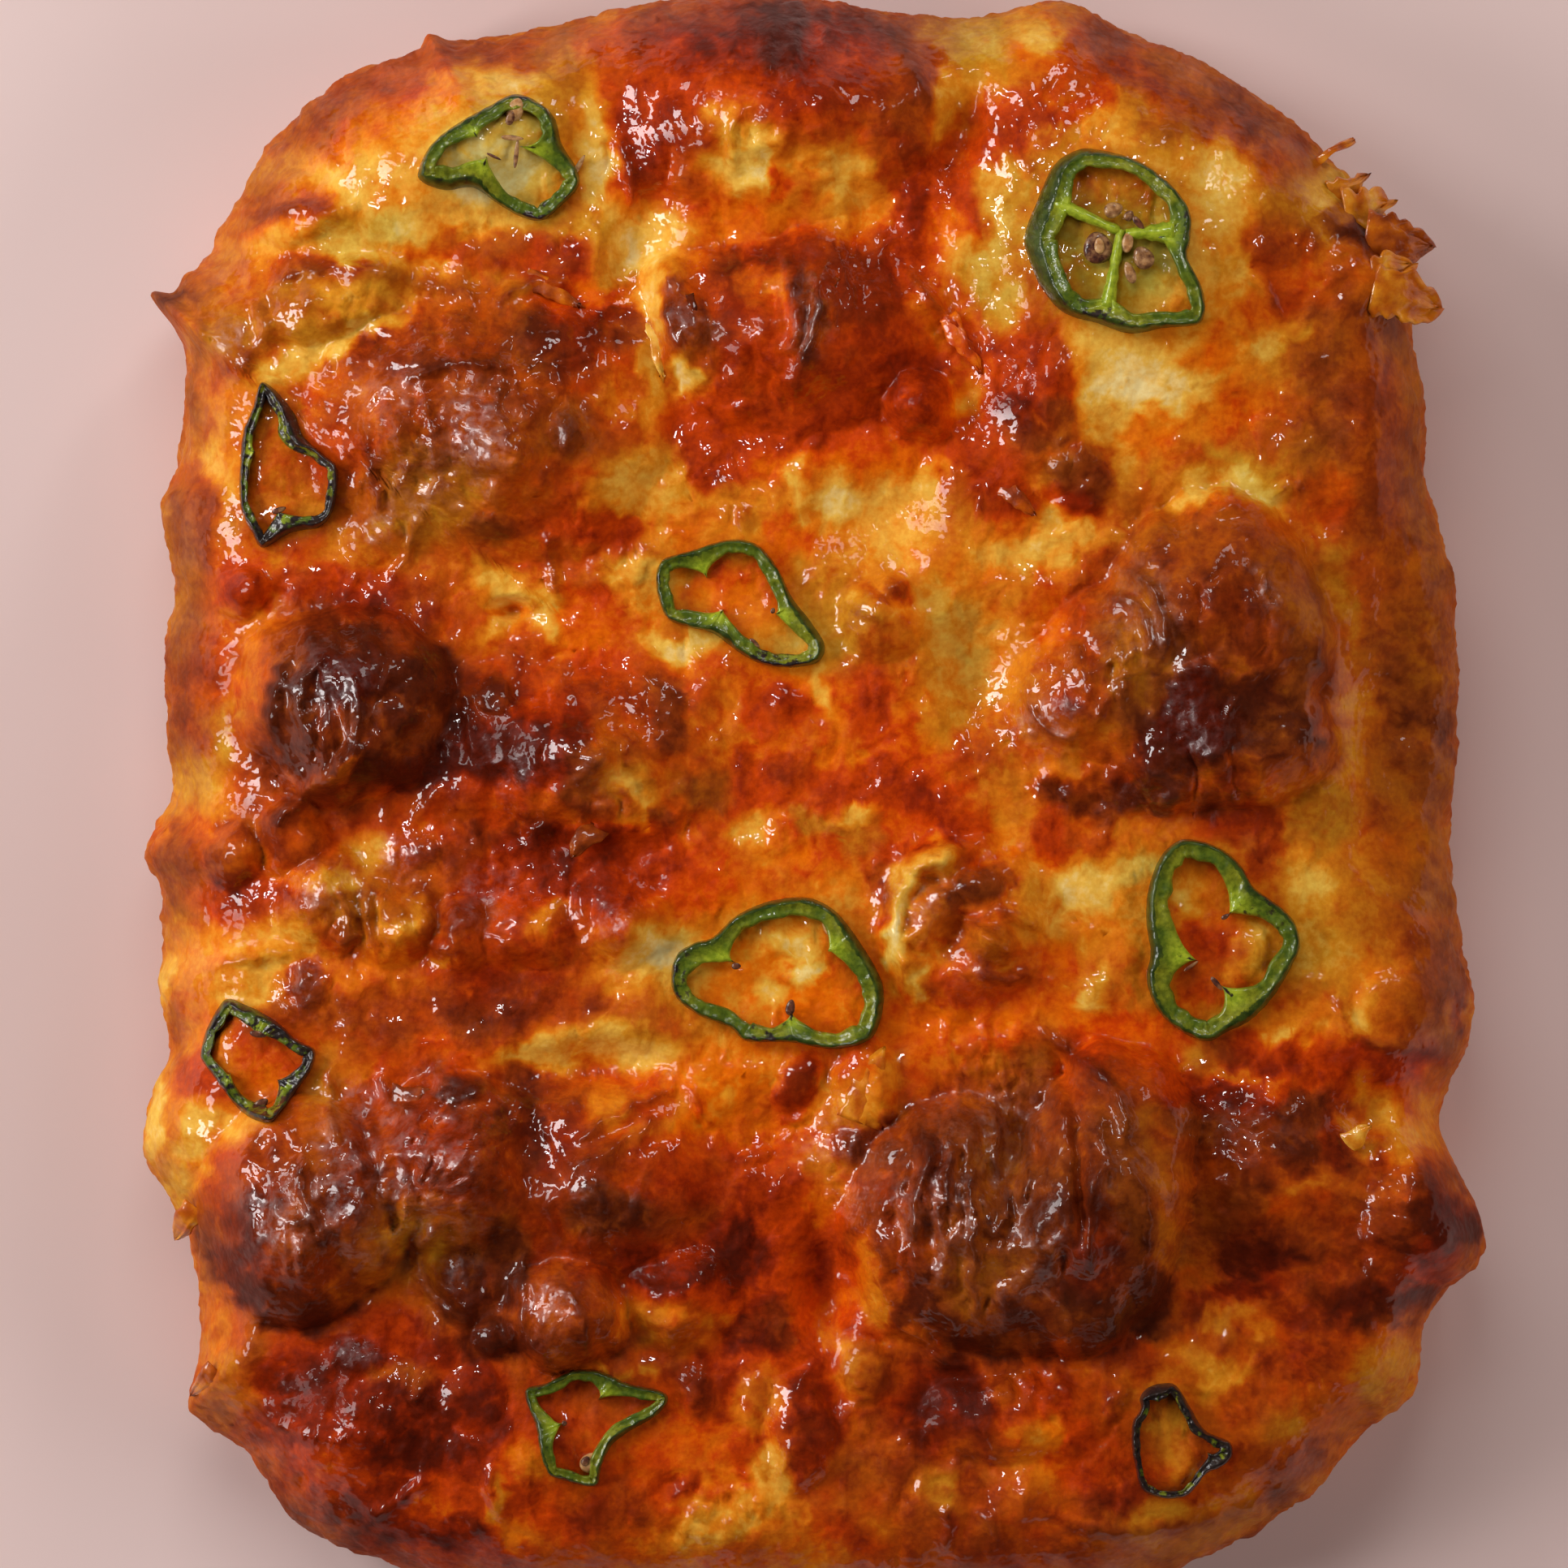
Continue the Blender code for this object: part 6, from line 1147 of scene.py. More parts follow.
def place_on_loaf(loaf):
    """Wraps the flat grid over the top, the shoulder and the underside's edge of the bread."""
    flat = mesh_points(loaf)
    column = np.rint((flat[:, 0] + 1.0) * 0.5 * QUADS_ACROSS)
    row = np.rint((flat[:, 1] + 1.0) * 0.5 * QUADS_ALONG)
    rings_in = np.minimum.reduce([column, QUADS_ACROSS - column, row, QUADS_ALONG - row])
    outside = rings_in < SIDE_ROWS
    half_across = 0.5 * QUADS_ACROSS - np.where(outside, rings_in, SIDE_ROWS)
    half_along = 0.5 * QUADS_ALONG - np.where(outside, rings_in, SIDE_ROWS)
    u = (column - 0.5 * QUADS_ACROSS) / half_across
    v = (row - 0.5 * QUADS_ALONG) / half_along
    angle = np.arctan2(v * HALF_LENGTH, u * HALF_WIDTH)
    reach = np.maximum(np.abs(u), np.abs(v))

    underside_rows = UNDERSIDE_SHARE * SIDE_ROWS
    shoulder_turn = 0.5 * math.pi * (1.0 - (rings_in - underside_rows) / (SIDE_ROWS - underside_rows))
    shoulder_turn = np.clip(shoulder_turn, 0.0, 0.5 * math.pi)
    base_turn = 0.5 * math.pi * np.clip(1.0 - rings_in / underside_rows, 0.0, 1.0)
    lobe_share = LOBE_SHARE_AT_BASE + (1.0 - LOBE_SHARE_AT_BASE) * (1.0 - np.sin(base_turn))
    edge = outline_radius(angle, lobe_share)
    inset = SHOULDER_RUN * (1.0 - np.sin(shoulder_turn)) + BASE_INSET * (1.0 - np.cos(base_turn))
    radius = np.where(outside, edge - inset, reach * (edge - SHOULDER_RUN))
    x = radius * np.cos(angle)
    y = radius * np.sin(angle)
    height, lift = broad_height(x, y)
    top = height + fine_relief(x, y, lift)
    z = np.where(outside, WIDEST_HEIGHT + (top - WIDEST_HEIGHT) * np.cos(shoulder_turn), top)
    z = np.where(base_turn > 0.0, WIDEST_HEIGHT * (1.0 - np.sin(base_turn)), z)

    flank = np.where(outside, np.sin(shoulder_turn) * np.cos(base_turn), 0.0)
    skin = 0.8 * layered(ROUGH, x + 0.8 * z, y - 0.7 * z, 7.0)
    skin += 0.4 * layered(DRIFT, x - z, y + z, 2.6, layers=2)
    set_points(loaf, x + flank * skin * np.cos(angle), y + flank * skin * np.sin(angle), z)


def make_loaf():
    """The bread: one closed skin with a flat base, thinned to the faces that its relief needs."""
    bpy.ops.mesh.primitive_grid_add(x_subdivisions=QUADS_ACROSS, y_subdivisions=QUADS_ALONG, size=2.0)
    loaf = bpy.context.object
    loaf.name = "baked_loaf"
    place_on_loaf(loaf)
    bpy.ops.object.mode_set(mode="EDIT")
    bpy.ops.mesh.select_all(action="DESELECT")
    bpy.ops.mesh.select_mode(type="EDGE")
    bpy.ops.mesh.select_non_manifold(extend=False)
    bpy.ops.mesh.edge_face_add()
    turn_faces_outward()
    triangles = sum(len(face.vertices) - 2 for face in loaf.data.polygons)
    if triangles > LOAF_TRIANGLES:
        thin = loaf.modifiers.new("thin", "DECIMATE")
        thin.ratio = LOAF_TRIANGLES / triangles
        bpy.ops.object.modifier_apply(modifier=thin.name)
    bpy.ops.object.shade_smooth()
    return loaf


# Paint on the crust

def paint_dabs(x, y, browning, redness):
    """Lays the washes, the patches and the glazes over each other. Some glazes are painted highlight and
    sheen on lit bubble flanks, and some are painted shade at the near end. Pale dabs have softer edges.
    """
    for forms, outer, inner, strength in ((WASHES, 1.25, 0.5, 0.85), (PATCHES, 1.15, 0.68, 0.9)):
        for *oval, tone, red in forms:
            soft = 1.0 if tone < PALE_TONE else 0.0
            near, share = cover(x, y, oval, outer + 0.12 * soft, inner - 0.3 * soft)
            browning[near] += strength * share * (tone - browning[near])
            redness[near] += strength * share * (red - redness[near])
    # Glazes: the crust's own tone, and also painted highlight, sheen and near-end shade
    for *oval, browner, redder in TINTS_AND_PAINTED_LIGHT:
        near, share = cover(x, y, oval, 1.3, 0.4)
        browning[near] += share * browner
        redness[near] += share * redder


def paint_bubble_foot_shade(x, y, browning):
    """Darkens the line where a tall bubble meets the crust: partly browning along the crease and partly
    painted shade, strongest on the near right side, which faces away from the lights.
    """
    bend_x, bend_y = pushed(x, y, BUBBLE_WAVES)
    for *oval, rise, sharp in BUBBLES:
        if rise < TALL_BUBBLE:
            continue
        near = near_oval(bend_x, bend_y, oval, 1.3)
        foot = np.exp(-(((off_centre(bend_x[near], bend_y[near], oval) - 1.0) / 0.08) ** 2))
        middle_x, middle_y, half_width, half_length, _ = oval
        # Painted shade grows toward the near right side of the bubble, away from the lights
        away_from_light = 0.35 * (bend_x[near] - middle_x) - (bend_y[near] - middle_y)
        away_from_light /= 0.5 * (half_width + half_length)
        browning[near] += 0.014 * rise * sharp * foot * np.clip(0.3 + 0.5 * away_from_light, 0.0, 1.0)


def paint_oil(loaf, x, y, dab_x, dab_y):
    """Stores where the oil lies thick, how glossy its film is and how matt the skin is."""
    up = np.empty(len(loaf.data.vertices) * 3)
    loaf.data.vertex_normals.foreach_get("vector", up)
    gloss = smooth_step(0.25, 0.75, up.reshape(-1, 3)[:, 2]) * (1.0 - 0.6 * taut_skin(x, y))
    gloss *= 0.35 + 0.65 * smooth_step(-0.35, 0.35, layered(WARP_X, x, y, 11.0))
    for *oval, strength in SHEENS:
        if strength < 0.0:
            near, share = cover(dab_x, dab_y, oval, 1.3, 0.3)
            gloss[near] *= 1.0 + strength * share
    sheen = strongest(dab_x, dab_y, SHEENS, 1.3, 0.3)
    store(loaf, "sheen", sheen)
    store(loaf, "gloss", gloss)
    store(loaf, "matt", 0.46 + 0.14 * (1.0 - sheen) * layered(WARP_Y, x, y, 7.0))


def paint_crust(loaf):
    """Stores how browned, red, oily and stained each point of the skin is."""
    points = mesh_points(loaf) / MM
    x = points[:, 0] + BOX_CENTRE_X
    y = points[:, 1] + BOX_CENTRE_Y
    z = points[:, 2]
    lift = broad_height(x, y)[1]
    browning = 0.42 + 0.012 * lift + 0.08 * layered(DRIFT, x, y, 16.0)
    redness = 0.65 + 0.25 * layered(ROUGH, x, y, 14.0)
    streak_x, streak_y = pushed(x, y, STREAK_WAVES)
    dab_x, dab_y = pushed(x, y, DAB_WAVES)
    paint_dabs(dab_x, dab_y, browning, redness)
    # Darker bubble feet: partly browning, partly painted shade on the side away from the light
    paint_bubble_foot_shade(x, y, browning)
    redness -= 0.05 + 0.25 * smooth_step(RIM_TOP, SIDE_TOP, z)
    side = smooth_step(SIDE_TOP, SIDE_FOOT, z)
    side_tone = 0.50 + 0.12 * layered(DRIFT, x + z, y - z, 12.0)
    # Painted shade: the flanks darken toward the near end
    side_tone += 0.14 * smooth_step(*SHADED_NEAR_END, y)
    browning += side * (side_tone - browning) * SIDE_SHARE
    redness += side * (SIDE_REDNESS - redness) * SIDE_SHARE
    for span, browner, redder in ((7.0, 0.06, 0.2), (3.4, 0.04, 0.12)):
        apart = np.abs(DRIFT.at(streak_x / span + 5.0, streak_y / span))
        vein = np.clip(1.0 - 4.0 * apart, 0.0, 1.0) ** 2
        dark = smooth_step(0.55, 0.75, browning)
        browning += browner * (1.0 - 3.0 * dark) * vein
        redness += redder * (1.0 - 1.5 * dark) * vein
    browning += 0.03 * layered(ROUGH, streak_x + 0.5 * z, streak_y - 0.5 * z, 3.6, fade=0.75)
    redness += 0.12 * layered(DRIFT, streak_x, streak_y, 5.0, fade=0.6)
    mottle = layered(ROUGH, streak_x + 9.0, streak_y, 4.5, fade=0.8)
    browning += 0.07 * smooth_step(0.5, 0.7, browning) * mottle
    crest = np.clip(fine_relief(x, y, lift) * (1.0 - side) - 0.6, -1.2, 1.2)
    browning += 0.10 * crest
    redness -= 0.10 * crest
    paint_oil(loaf, x, y, dab_x, dab_y)
    stained = strongest(dab_x, dab_y, STAINS, 1.2, 0.6)
    store(loaf, "stained", stained * smooth_step(0.6, 0.3, browning))
    store(loaf, "browning", np.clip(browning, 0.0, 0.9))
    store(loaf, "redness", np.clip(redness, 0.0, 1.0))


# Flakes of crust

FLAKE_QUADS = 24
FLAKE_THICKNESS = 0.5
FLAKE_DEPTH = 0.5


def make_flake(number, flake, surface):
    """A thin ragged piece of crust, narrow at its tip, with its foot in the skin."""
    foot_x, foot_y, tip_x, tip_y, rise, width, arch, browning, redness, torn = flake
    bpy.ops.mesh.primitive_grid_add(x_subdivisions=FLAKE_QUADS, y_subdivisions=FLAKE_QUADS // 2, size=2.0)
    thing = bpy.context.object
    flat = mesh_points(thing)
    along = 0.5 * (flat[:, 0] + 1.0)
    across = flat[:, 1]
    run = np.array((tip_x - foot_x, tip_y - foot_y))
    length = np.hypot(*run)
    side = np.array((-run[1], run[0])) / length
    ragged = torn * ROUGH.at(along * length / 1.4 + 7.0 * number, np.sign(across) * 0.7 + number)
    half = 0.5 * width * (1.0 - along ** (1.1 + 3.0 * torn)) ** 0.7 * (1.0 + 0.3 * ragged) + 0.5 * ragged
    bend = 0.10 * length * DRIFT.at(along * 1.7 + number, np.full_like(along, 0.3 * number))
    frays = ROUGH.at(across * 3.6 + number, np.full_like(along, 2.0 * number))
    frayed = along + 0.45 * torn * frays * along
    x = foot_x + frayed * run[0] + (across * half + bend) * side[0]
    y = foot_y + frayed * run[1] + (across * half + bend) * side[1]
    foot = crust_under(surface, [(foot_x, foot_y)])[0] - FLAKE_DEPTH
    cup = 0.10 * width * (1.0 - across * across)
    crumple = 0.35 * ROUGH.at(x / 1.7, y / 1.7)
    z = foot + rise * along ** 1.3 + arch * np.sin(math.pi * along) + cup + crumple * along
    set_points(thing, x, y, z)
    thicken = thing.modifiers.new("thicken", "SOLIDIFY")
    thicken.thickness = FLAKE_THICKNESS * MM
    bpy.ops.object.modifier_apply(modifier=thicken.name)
    bpy.ops.object.shade_smooth()
    place = mesh_points(thing) / MM / 2.0
    worn = browning + 0.18 * ROUGH.at(place[:, 0], place[:, 1])
    store(thing, "browning", np.clip(worn, 0.0, 1.0))
    store(thing, "redness", redness)
    store(thing, "gloss", 0.8)
    store(thing, "matt", 0.45)
    store(thing, "stained", 0.0)
    store(thing, "sheen", 0.3)
    return thing


# Slices of pepper

RING_STATIONS = 200
SUNK = 0.5
RIB_STATIONS = 12
THICKEST_SEED = 1.3

# Seeds longer than this lie deeper in their slice
LONG_SEED = 3.0


def even_out(values, passes):
    for _ in range(passes):
        values = 0.5 * values + 0.25 * (np.roll(values, 1, axis=0) + np.roll(values, -1, axis=0))
    return values


def give_look(thing, **looks):
    """Stores what a part of a slice is made of. What isn't named is 0."""
    for name in ("skin", "lime", "char", "seed", "ripe"):
        store(thing, name, looks.get(name, 0.0))


def make_band(ring, surface):
    """The closed wall of one slice: skin outside, wrinkled flesh on top, stubs of ribs inside."""
    bpy.ops.mesh.primitive_torus_add(major_segments=RING_STATIONS, minor_segments=len(SECTION))
    band = bpy.context.object
    outer = closed_loop(ring["edge"], RING_STATIONS)
    run = np.roll(outer, -1, axis=0) - np.roll(outer, 1, axis=0)
    run /= np.hypot(run[:, 0], run[:, 1])[:, None]
    inward = np.column_stack([run[:, 1], -run[:, 0]])
    if (inward * outer).sum() > 0.0:
        inward = -inward
    inward = even_out(inward, 4)
    direction = np.degrees(np.arctan2(outer[:, 1], outer[:, 0]))
    middle = np.array(ring["middle"], dtype=float)
    place_x, place_y = (middle + outer).T

    broad = np.zeros(RING_STATIONS)
    for centre, spread, extra in ring["broad"]:
        broad += extra * soft_bump(turned_apart(direction, centre) / (1.4 * spread))
    scorch = np.full(RING_STATIONS, ring["char"])
    for centre, spread, amount in ring["scorch"]:
        scorch = np.maximum(scorch, amount * soft_bump(turned_apart(direction, centre) / (1.5 * spread)))
    uneven = ROUGH.at(place_x / 2.6, place_y / 2.6)
    skin_run = 0.35 + 0.75 * broad
    wall = 1.14 * ring["wall"] * (1.0 + 0.22 * uneven) + broad
    rim = outer + inward * skin_run[:, None]
    inner = outer + inward * np.maximum(wall, skin_run + 0.7)[:, None]
    inner = even_out(inner, 3)
    lime = np.zeros(RING_STATIONS)
    tip = np.zeros(RING_STATIONS)
    for foot_x, foot_y, tip_x, tip_y, width in ring["spurs"]:
        away = np.hypot(inner[:, 0] - foot_x, inner[:, 1] - foot_y)
        pull = np.clip(1.0 - (away - away.min()) / width, 0.0, 1.0) ** 1.3
        inner = inner + pull[:, None] * (np.array((tip_x, tip_y)) - inner)
        lime = np.maximum(lime, pull)
        tip = np.maximum(tip, smooth_step(0.86, 0.99, pull))

    low_outer = even_out(crust_under(surface, middle + outer + 0.4 * inward), 5)
    low_inner = even_out(crust_under(surface, middle + inner), 5)
    height = ring["height"] * (1.0 + 0.10 * ROUGH.at(place_x / 3.0 + 9.0, place_y / 3.0))
    steps = lengths_along(outer)
    points = np.empty((RING_STATIONS, len(SECTION), 3))
    for k, (across, rise, skinned) in enumerate(SECTION):
        share = max(across, 0.0)
        toward = outer if across < 0.0 else inner
        spot = rim + (toward - rim) * abs(across)
        low = low_outer + (low_inner - low_outer) * share - SUNK
        depth = 0.26 if skinned < 0.5 else 0.14
        ripple = ROUGH.at(steps / 0.75, np.full(RING_STATIONS, 0.35 * k)) * depth
        wobble = 0.16 * DRIFT.at(place_x / 1.1 + 0.3 * k, place_y / 1.1)
        points[:, k, :2] = middle + spot + inward * (wobble * min(rise + 0.2, 1.0))[:, None]
        drop = 0.45 * lime * across if across > 0.5 else 0.0
        points[:, k, 2] = low + rise * (height + SUNK - drop) + rise * ripple
    set_points(band, *points.reshape(-1, 3).T)
    across = np.array([max(entry[0], 0.0) for entry in SECTION])
    skin = np.array([entry[2] for entry in SECTION])
    char = np.maximum(scorch[:, None] * (0.55 + 0.45 * skin), (tip[:, None] * across) ** 3)
    skins = np.tile(skin, RING_STATIONS)
    give_look(band, skin=skins, lime=(lime[:, None] * across).ravel(), char=char.ravel())
    return band


def make_rib(ring, rib, surface):
    """A rib from wall to middle, wide at the wall and thin at the middle, a little ragged."""
    start, end, wide, narrow = rib
    lying = (0.0, 0.5 * math.pi, 0.0)
    bpy.ops.mesh.primitive_cylinder_add(vertices=12, radius=0.5, depth=1.0, rotation=lying)
    thing = bpy.context.object
    bpy.ops.object.transform_apply(rotation=True)
    bpy.ops.object.mode_set(mode="EDIT")
    for place in (0.0, *np.linspace(-0.42, 0.42, RIB_STATIONS)):
        bpy.ops.mesh.select_all(action="SELECT")
        bpy.ops.mesh.bisect(plane_co=(place, 0.0, 0.0), plane_no=(1.0, 0.0, 0.0))
    bpy.ops.object.mode_set(mode="OBJECT")
    points = mesh_points(thing)
    share = points[:, 0] + 0.5
    middle = np.array(ring["middle"], dtype=float)
    start = np.array(start) + middle
    end = np.array(end) + middle
    run = end - start
    side = np.array((-run[1], run[0])) / np.hypot(*run)
    width = wide + (narrow - wide) * share ** 0.6
    width = width * (1.0 + 0.35 * ROUGH.at(6.0 * share, np.zeros_like(share) + start[0]))
    flat = start + share[:, None] * run + side * (points[:, 1] * width)[:, None]
    along = np.linspace(0.0, 1.0, RIB_STATIONS)
    low = np.interp(share, along, crust_under(surface, start + along[:, None] * run))
    z = low - 0.4 + (points[:, 2] + 0.5) * (ring["height"] - 0.5 * share)
    set_points(thing, flat[:, 0], flat[:, 1], z)
    give_look(thing, lime=0.85)
    return thing


def make_seed(ring, seed, surface):
    """A flat seed or scrap of rib that lies inside a slice."""
    x, y, turn, length, width, ripe = seed
    bpy.ops.mesh.primitive_uv_sphere_add(segments=18, ring_count=10, radius=0.5)
    thing = bpy.context.object
    points = mesh_points(thing)
    turn = math.radians(turn)
    taper = 1.0 - 0.35 * points[:, 0]
    cupped = 1.0 + 2.0 * (points[:, 0] ** 2 + points[:, 1] ** 2)
    along = points[:, 0] * length
    across = points[:, 1] * width * taper
    thick = min(THICKEST_SEED, 0.55 * width)
    place_x = ring["middle"][0] + x
    place_y = ring["middle"][1] + y
    low = crust_under(surface, [(place_x, place_y)])[0]
    lift = (0.55 if length > LONG_SEED else 0.8) * ring["height"]
    flat_x = place_x + along * math.cos(turn) - across * math.sin(turn)
    flat_y = place_y + along * math.sin(turn) + across * math.cos(turn)
    set_points(thing, flat_x, flat_y, low + lift - 0.3 + points[:, 2] * thick * cupped)
    give_look(thing, seed=1.0, ripe=ripe)
    return thing


def make_ring(number, ring, surface, material):
    """One slice of pepper with its ribs and seeds."""
    band = make_band(ring, surface)
    extras = [make_rib(ring, rib, surface) for rib in ring["ribs"]]
    extras += [make_seed(ring, seed, surface) for seed in ring["seeds"]]
    join_into(band, extras)
    band.name = f"pepper_slice_{number}"
    bpy.ops.object.mode_set(mode="EDIT")
    turn_faces_outward()
    bpy.ops.object.shade_smooth()
    band.data.materials.append(material)
    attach(band, "root")
    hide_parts(f"pepper_ring_{number}")


# Materials

class Nodes:
    """Adds and links shader nodes of one material."""

    def __init__(self, name):
        self.material = bpy.data.materials.new(name)
        self.material.use_nodes = True
        self.tree = self.material.node_tree
        self.shader = self.tree.nodes["Principled BSDF"]
        self.place = self.add("ShaderNodeTexCoord").outputs["Object"]

    def add(self, kind, **values):
        node = self.tree.nodes.new(kind)
        for key, value in values.items():
            setattr(node, key, value)
        return node

    def feed(self, target, value):
        """Links a socket to an input, or gives the input a number or a colour."""
        if isinstance(value, (int, float)):
            target.default_value = value
        elif isinstance(value, tuple):
            target.default_value = (*value, 1.0)
        else:
            self.tree.links.new(value, target)

    def noise(self, size, detail=3.0, roughness=0.55, distortion=0.0):
        """size is the width of the coarsest lumps, in millimetres."""
        node = self.add("ShaderNodeTexNoise")
        scale = 1.0 / (size * MM)
        for name, value in (
            ("Vector", self.place), ("Scale", scale), ("Detail", detail), ("Roughness", roughness),
            ("Distortion", distortion),
        ):
            self.feed(node.inputs[name], value)
        return node.outputs["Fac"]

    def attribute(self, name):
        return self.add("ShaderNodeAttribute", attribute_name=name).outputs["Fac"]

    def combine(self, operation, a, b, clamp=False):
        node = self.add("ShaderNodeMath", operation=operation, use_clamp=clamp)
        self.feed(node.inputs[0], a)
        self.feed(node.inputs[1], b)
        return node.outputs[0]

    def spread(self, value, low, high, to_low=0.0, to_high=1.0):
        """A smooth step from to_low at low to to_high at high."""
        node = self.add("ShaderNodeMapRange", interpolation_type="SMOOTHSTEP")
        self.feed(node.inputs["Value"], value)
        ends = {"From Min": low, "From Max": high, "To Min": to_low, "To Max": to_high}
        for name, number in ends.items():
            self.feed(node.inputs[name], number)
        return node.outputs["Result"]

    def mix(self, share, a, b, blend="MIX"):
        node = self.add("ShaderNodeMix", data_type="RGBA", blend_type=blend)
        self.feed(node.inputs[0], share)
        self.feed(node.inputs[6], a)
        self.feed(node.inputs[7], b)
        return node.outputs[2]

    def ramp(self, value, steps, colours):
        node = self.add("ShaderNodeValToRGB")
        elements = node.color_ramp.elements
        while len(elements) < len(steps):
            elements.new(0.5)
        for element, step, colour in zip(elements, steps, colours):
            element.position = step
            element.color = (*colour, 1.0)
        self.feed(node.inputs["Fac"], value)
        return node.outputs["Color"]

    def bump(self, height, depth, strength, under=None):
        """depth is how far the height's full range stands out, in millimetres."""
        node = self.add("ShaderNodeBump")
        self.feed(node.inputs["Strength"], strength)
        self.feed(node.inputs["Distance"], depth * MM)
        self.feed(node.inputs["Height"], height)
        if under:
            self.feed(node.inputs["Normal"], under)
        return node.outputs["Normal"]

    def set(self, **values):
        for name, value in values.items():
            self.feed(self.shader.inputs[name.replace("_", " ")], value)


# Crust colours for straw and olive skin, and for orange and rust skin, at each step of browning
BROWNING_STEPS = (0.0, 0.16, 0.32, 0.48, 0.64, 0.80, 1.0)
STRAW_COLOURS = (
    (0.90, 0.71, 0.30), (0.82, 0.49, 0.075), (0.63, 0.265, 0.014), (0.43, 0.120, 0.005),
    (0.25, 0.050, 0.005), (0.112, 0.018, 0.003), (0.036, 0.0064, 0.0028),
)
RUST_COLOURS = (
    (0.88, 0.60, 0.22), (0.86, 0.36, 0.020), (0.80, 0.150, 0.001), (0.56, 0.050, 0.001),
    (0.27, 0.018, 0.001), (0.118, 0.0088, 0.0012), (0.038, 0.0046, 0.0018),
)
STAIN_TINT = (0.58, 0.80, 0.80)

# Pepper colours, each from the one to the other side of its fine streaks or blotches
GREEN_FLESH = ((0.048, 0.082, 0.006), (0.11, 0.15, 0.010))
YELLOW_FLESH = ((0.12, 0.13, 0.006), (0.24, 0.25, 0.014))
LIME_FLESH = ((0.20, 0.27, 0.010), (0.38, 0.45, 0.025))
GREEN_SKIN = ((0.018, 0.034, 0.004), (0.055, 0.080, 0.009))
CHARCOAL = ((0.010, 0.007, 0.008), (0.030, 0.017, 0.012))
TAN_SEED = ((0.40, 0.17, 0.05), (0.62, 0.36, 0.15))
PURPLE_SEED = ((0.040, 0.013, 0.010), (0.14, 0.042, 0.020))

OIL_IOR = 1.5
FOOD_IOR = 1.45


def crust_material():
    """Browned bread skin under a film of oil."""
    n = Nodes("oiled_crust")
    speckle = n.noise(0.9, detail=2.0, roughness=0.6)
    browning = n.combine("ADD", n.attribute("browning"), n.spread(speckle, 0.3, 0.7, -0.03, 0.03))
    torn_film = n.noise(3.6, detail=5.0, roughness=0.62, distortion=0.4)
    browning = n.combine("ADD", browning, n.spread(torn_film, 0.42, 0.56, -0.016, 0.016))
    straw = n.ramp(browning, BROWNING_STEPS, STRAW_COLOURS)
    rust = n.ramp(browning, BROWNING_STEPS, RUST_COLOURS)
    colour = n.mix(n.attribute("redness"), straw, rust)
    colour = n.mix(n.attribute("stained"), colour, STAIN_TINT, blend="MULTIPLY")
    film = n.bump(n.noise(2.4, detail=1.5), 0.7, 0.6)
    oily = n.spread(n.noise(2.0, detail=3.0, roughness=0.65), 0.38, 0.60, 0.1, 1.0)
    oily = n.combine("MULTIPLY", n.attribute("sheen"), oily)
    skin = n.bump(speckle, 0.15, 0.5, under=film)
    n.set(Base_Color=colour, Roughness=n.attribute("matt"), Normal=skin, IOR=FOOD_IOR)
    n.set(Specular_IOR_Level=n.spread(oily, 0.0, 1.0, 0.06, 1.0))
    n.set(Coat_Weight=n.attribute("gloss"), Coat_Roughness=n.spread(oily, 0.0, 1.0, 0.03, 0.14))
    n.set(Coat_IOR=OIL_IOR, Coat_Normal=film)
    return n.material


def pepper_material(name, charring):
    """Green flesh with a darker skin, charred places and seeds. charring is how much more is burnt."""
    n = Nodes(name)
    streak = n.spread(n.noise(0.9, detail=3.0, roughness=0.6), 0.3, 0.7)
    yellowed = n.spread(n.noise(7.0, detail=2.0), 0.42, 0.62)
    flesh = n.mix(yellowed, n.mix(streak, *GREEN_FLESH), n.mix(streak, *YELLOW_FLESH))
    flesh = n.mix(n.spread(n.attribute("lime"), 0.1, 0.6), flesh, n.mix(streak, *LIME_FLESH))
    skin = n.mix(n.spread(n.noise(1.6, detail=4.0), 0.35, 0.65), *GREEN_SKIN)
    edge = n.combine("ADD", n.attribute("skin"), n.spread(n.noise(0.8), 0.3, 0.7, -0.25, 0.25))
    colour = n.mix(n.spread(edge, 0.35, 0.75), flesh, skin)
    uneven = n.spread(n.noise(1.4, detail=4.0), 0.3, 0.7, -0.38 + charring, 0.38 + charring)
    burnt = n.combine("ADD", n.attribute("char"), uneven)
    colour = n.mix(n.spread(burnt, 0.3, 0.62), colour, n.mix(streak, *CHARCOAL))
    mottle = n.spread(n.noise(1.1), 0.3, 0.7, -0.3, 0.3)
    ripe = n.combine("ADD", n.attribute("ripe"), mottle, clamp=True)
    seed = n.mix(ripe, n.mix(streak, *TAN_SEED), n.mix(streak, *PURPLE_SEED))
    colour = n.mix(n.attribute("seed"), colour, seed)
    normal = n.bump(n.noise(0.6, detail=2.0), 0.12, 0.5)
    n.set(Base_Color=colour, Roughness=0.42, Normal=normal, IOR=FOOD_IOR, Specular_IOR_Level=0.2)
    n.set(Coat_Weight=0.6, Coat_Roughness=0.09, Coat_IOR=OIL_IOR, Coat_Normal=normal)
    return n.material


# Surroundings. Places and sizes of the floor and the lights are metres, and the camera's are millimetres.
FLOOR_SIZE = 1.6
FLOOR_COLOURS = ((0.668, 0.50, 0.468), (0.727, 0.564, 0.534))
SKY_COLOUR = (1.0, 0.80, 0.74, 1.0)
SKY_STRENGTH = 0.03

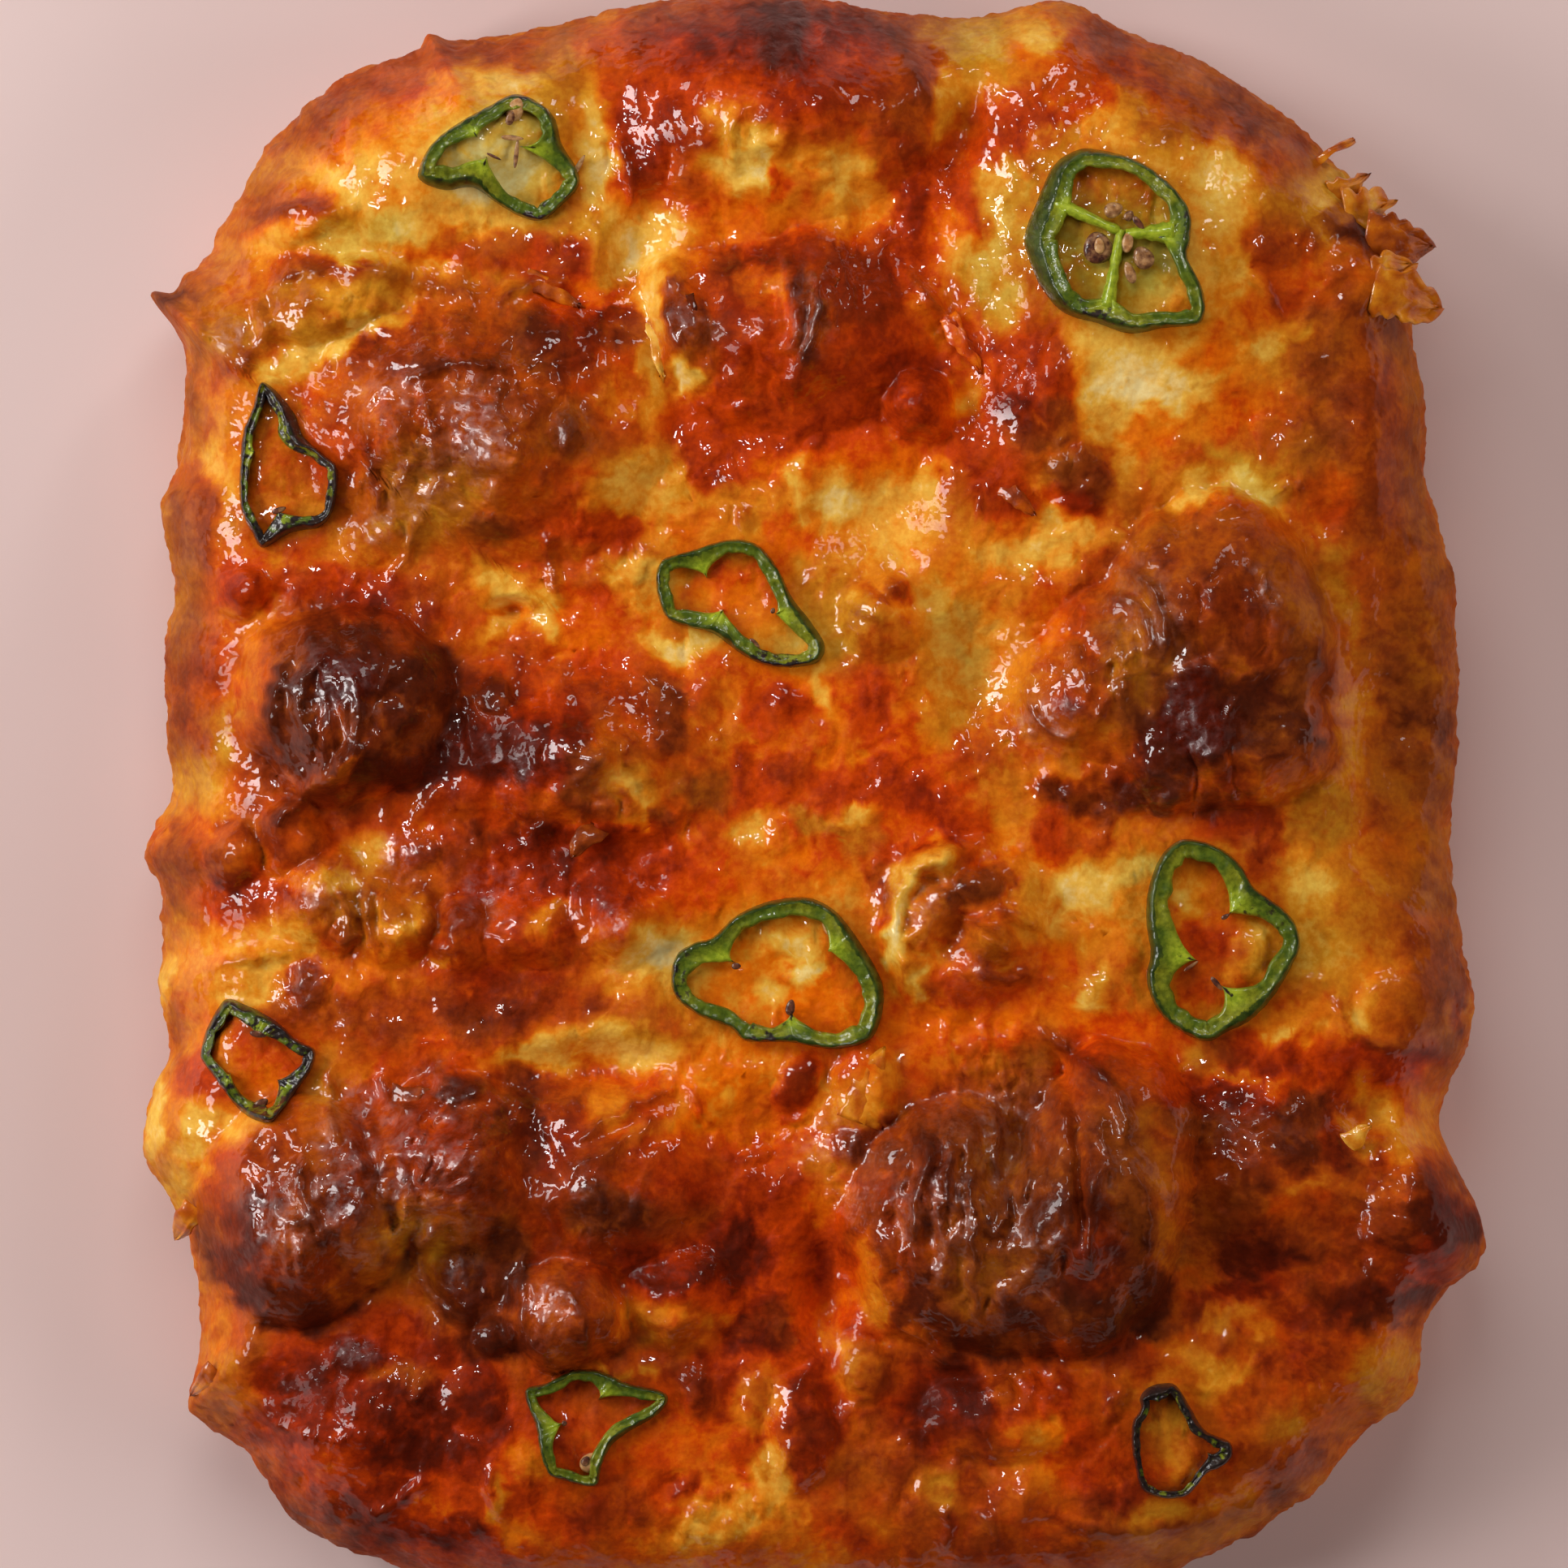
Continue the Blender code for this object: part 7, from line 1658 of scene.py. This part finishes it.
# Lights: name, place, width, height, watts, colour, whether it lights matt skin, whether it shows in the oil
LIGHTS = (
    ("left_pane", (-0.86, 0.44, 0.60), 0.30, 0.40, 5.4, (1.0, 0.98, 0.98), True, True),
    ("right_pane", (-0.95, -0.10, 0.60), 0.30, 0.40, 5.2, (1.0, 0.98, 0.98), True, True),
    ("far_pane", (0.40, 0.95, 0.60), 0.20, 0.30, 1.6, (1.0, 0.98, 0.98), True, True),
    ("high_left_glint", (-0.60, 0.26, 0.80), 0.07, 0.14, 1.4, (1.0, 0.99, 1.0), False, True),
    ("high_far_glint", (0.05, 0.58, 0.85), 0.07, 0.10, 0.9, (1.0, 0.99, 1.0), False, True),
    ("far_wall", (-0.22, 0.68, 0.90), 0.80, 0.60, 4.5, (1.0, 0.98, 0.97), True, False),
    ("right_wall", (1.00, -0.25, 0.65), 0.90, 0.60, 6.0, (1.0, 0.92, 0.89), True, False),
)

FRAME_WIDTH = 231.84
FRAME_CENTRE = (-4.3, 2.9)
CAMERA_HEIGHT = 4000.0
AIM_HEIGHT = 38.0
SENSOR_WIDTH = 36.0


def make_floor():
    bpy.ops.mesh.primitive_plane_add(size=FLOOR_SIZE, location=(0.0, 0.0, 0.0))
    floor = bpy.context.object
    floor.name = "pale_floor"
    n = Nodes("pale_floor")
    cloud = n.spread(n.noise(160.0, detail=2.0), 0.3, 0.7)
    n.set(Base_Color=n.mix(cloud, *FLOOR_COLOURS), Roughness=0.75)
    floor.data.materials.append(n.material)


def make_lights():
    """A dim sky, and panes that all face the middle of the base."""
    world = bpy.data.worlds.new("studio")
    bpy.context.scene.world = world
    world.use_nodes = True
    sky = world.node_tree.nodes["Background"]
    sky.inputs["Color"].default_value = SKY_COLOUR
    sky.inputs["Strength"].default_value = SKY_STRENGTH
    for name, place, width, height, power, colour, lit, seen in LIGHTS:
        bpy.ops.object.light_add(type="AREA", location=place)
        light = bpy.context.object
        light.name = name
        light.data.shape = "RECTANGLE"
        light.data.size = width
        light.data.size_y = height
        light.data.energy = power
        light.data.color = colour
        light.visible_diffuse = lit
        light.visible_glossy = seen
        light.rotation_euler = (-Vector(place)).to_track_quat("-Z", "Y").to_euler()


def make_camera():
    """A far camera straight above, whose picture is FRAME_WIDTH wide at AIM_HEIGHT."""
    bpy.ops.object.camera_add()
    camera = bpy.context.object
    camera.name = "above"
    camera.location = (FRAME_CENTRE[0] * MM, (FRAME_CENTRE[1] - BOX_CENTRE_Y) * MM, CAMERA_HEIGHT * MM)
    camera.rotation_euler = (0.0, 0.0, 0.0)
    camera.data.sensor_width = SENSOR_WIDTH
    camera.data.lens = SENSOR_WIDTH * (CAMERA_HEIGHT - AIM_HEIGHT) / FRAME_WIDTH
    camera.data.clip_start = 0.01
    camera.data.clip_end = 20.0
    bpy.context.scene.camera = camera


def main():
    make_floor()
    make_lights()
    make_camera()
    loaf = make_loaf()
    paint_crust(loaf)
    crust = crust_material()
    loaf.data.materials.append(crust)
    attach(loaf, "root")
    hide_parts("focaccia_loaf")
    surface = BVHTree.FromObject(loaf, bpy.context.evaluated_depsgraph_get())
    flakes = [make_flake(number, flake, surface) for number, flake in enumerate(FLAKES, start=1)]
    for thing in flakes:
        thing.data.materials.append(crust)
    join_into(loaf, flakes)
    green = pepper_material("pepper_flesh", 0.0)
    charred = pepper_material("pepper_burnt", 0.16)
    for number, ring in enumerate(RINGS, start=1):
        make_ring(number, ring, surface, charred if number in CHARRED_RINGS else green)
    bpy.context.scene.view_settings.view_transform = "Standard"


main()
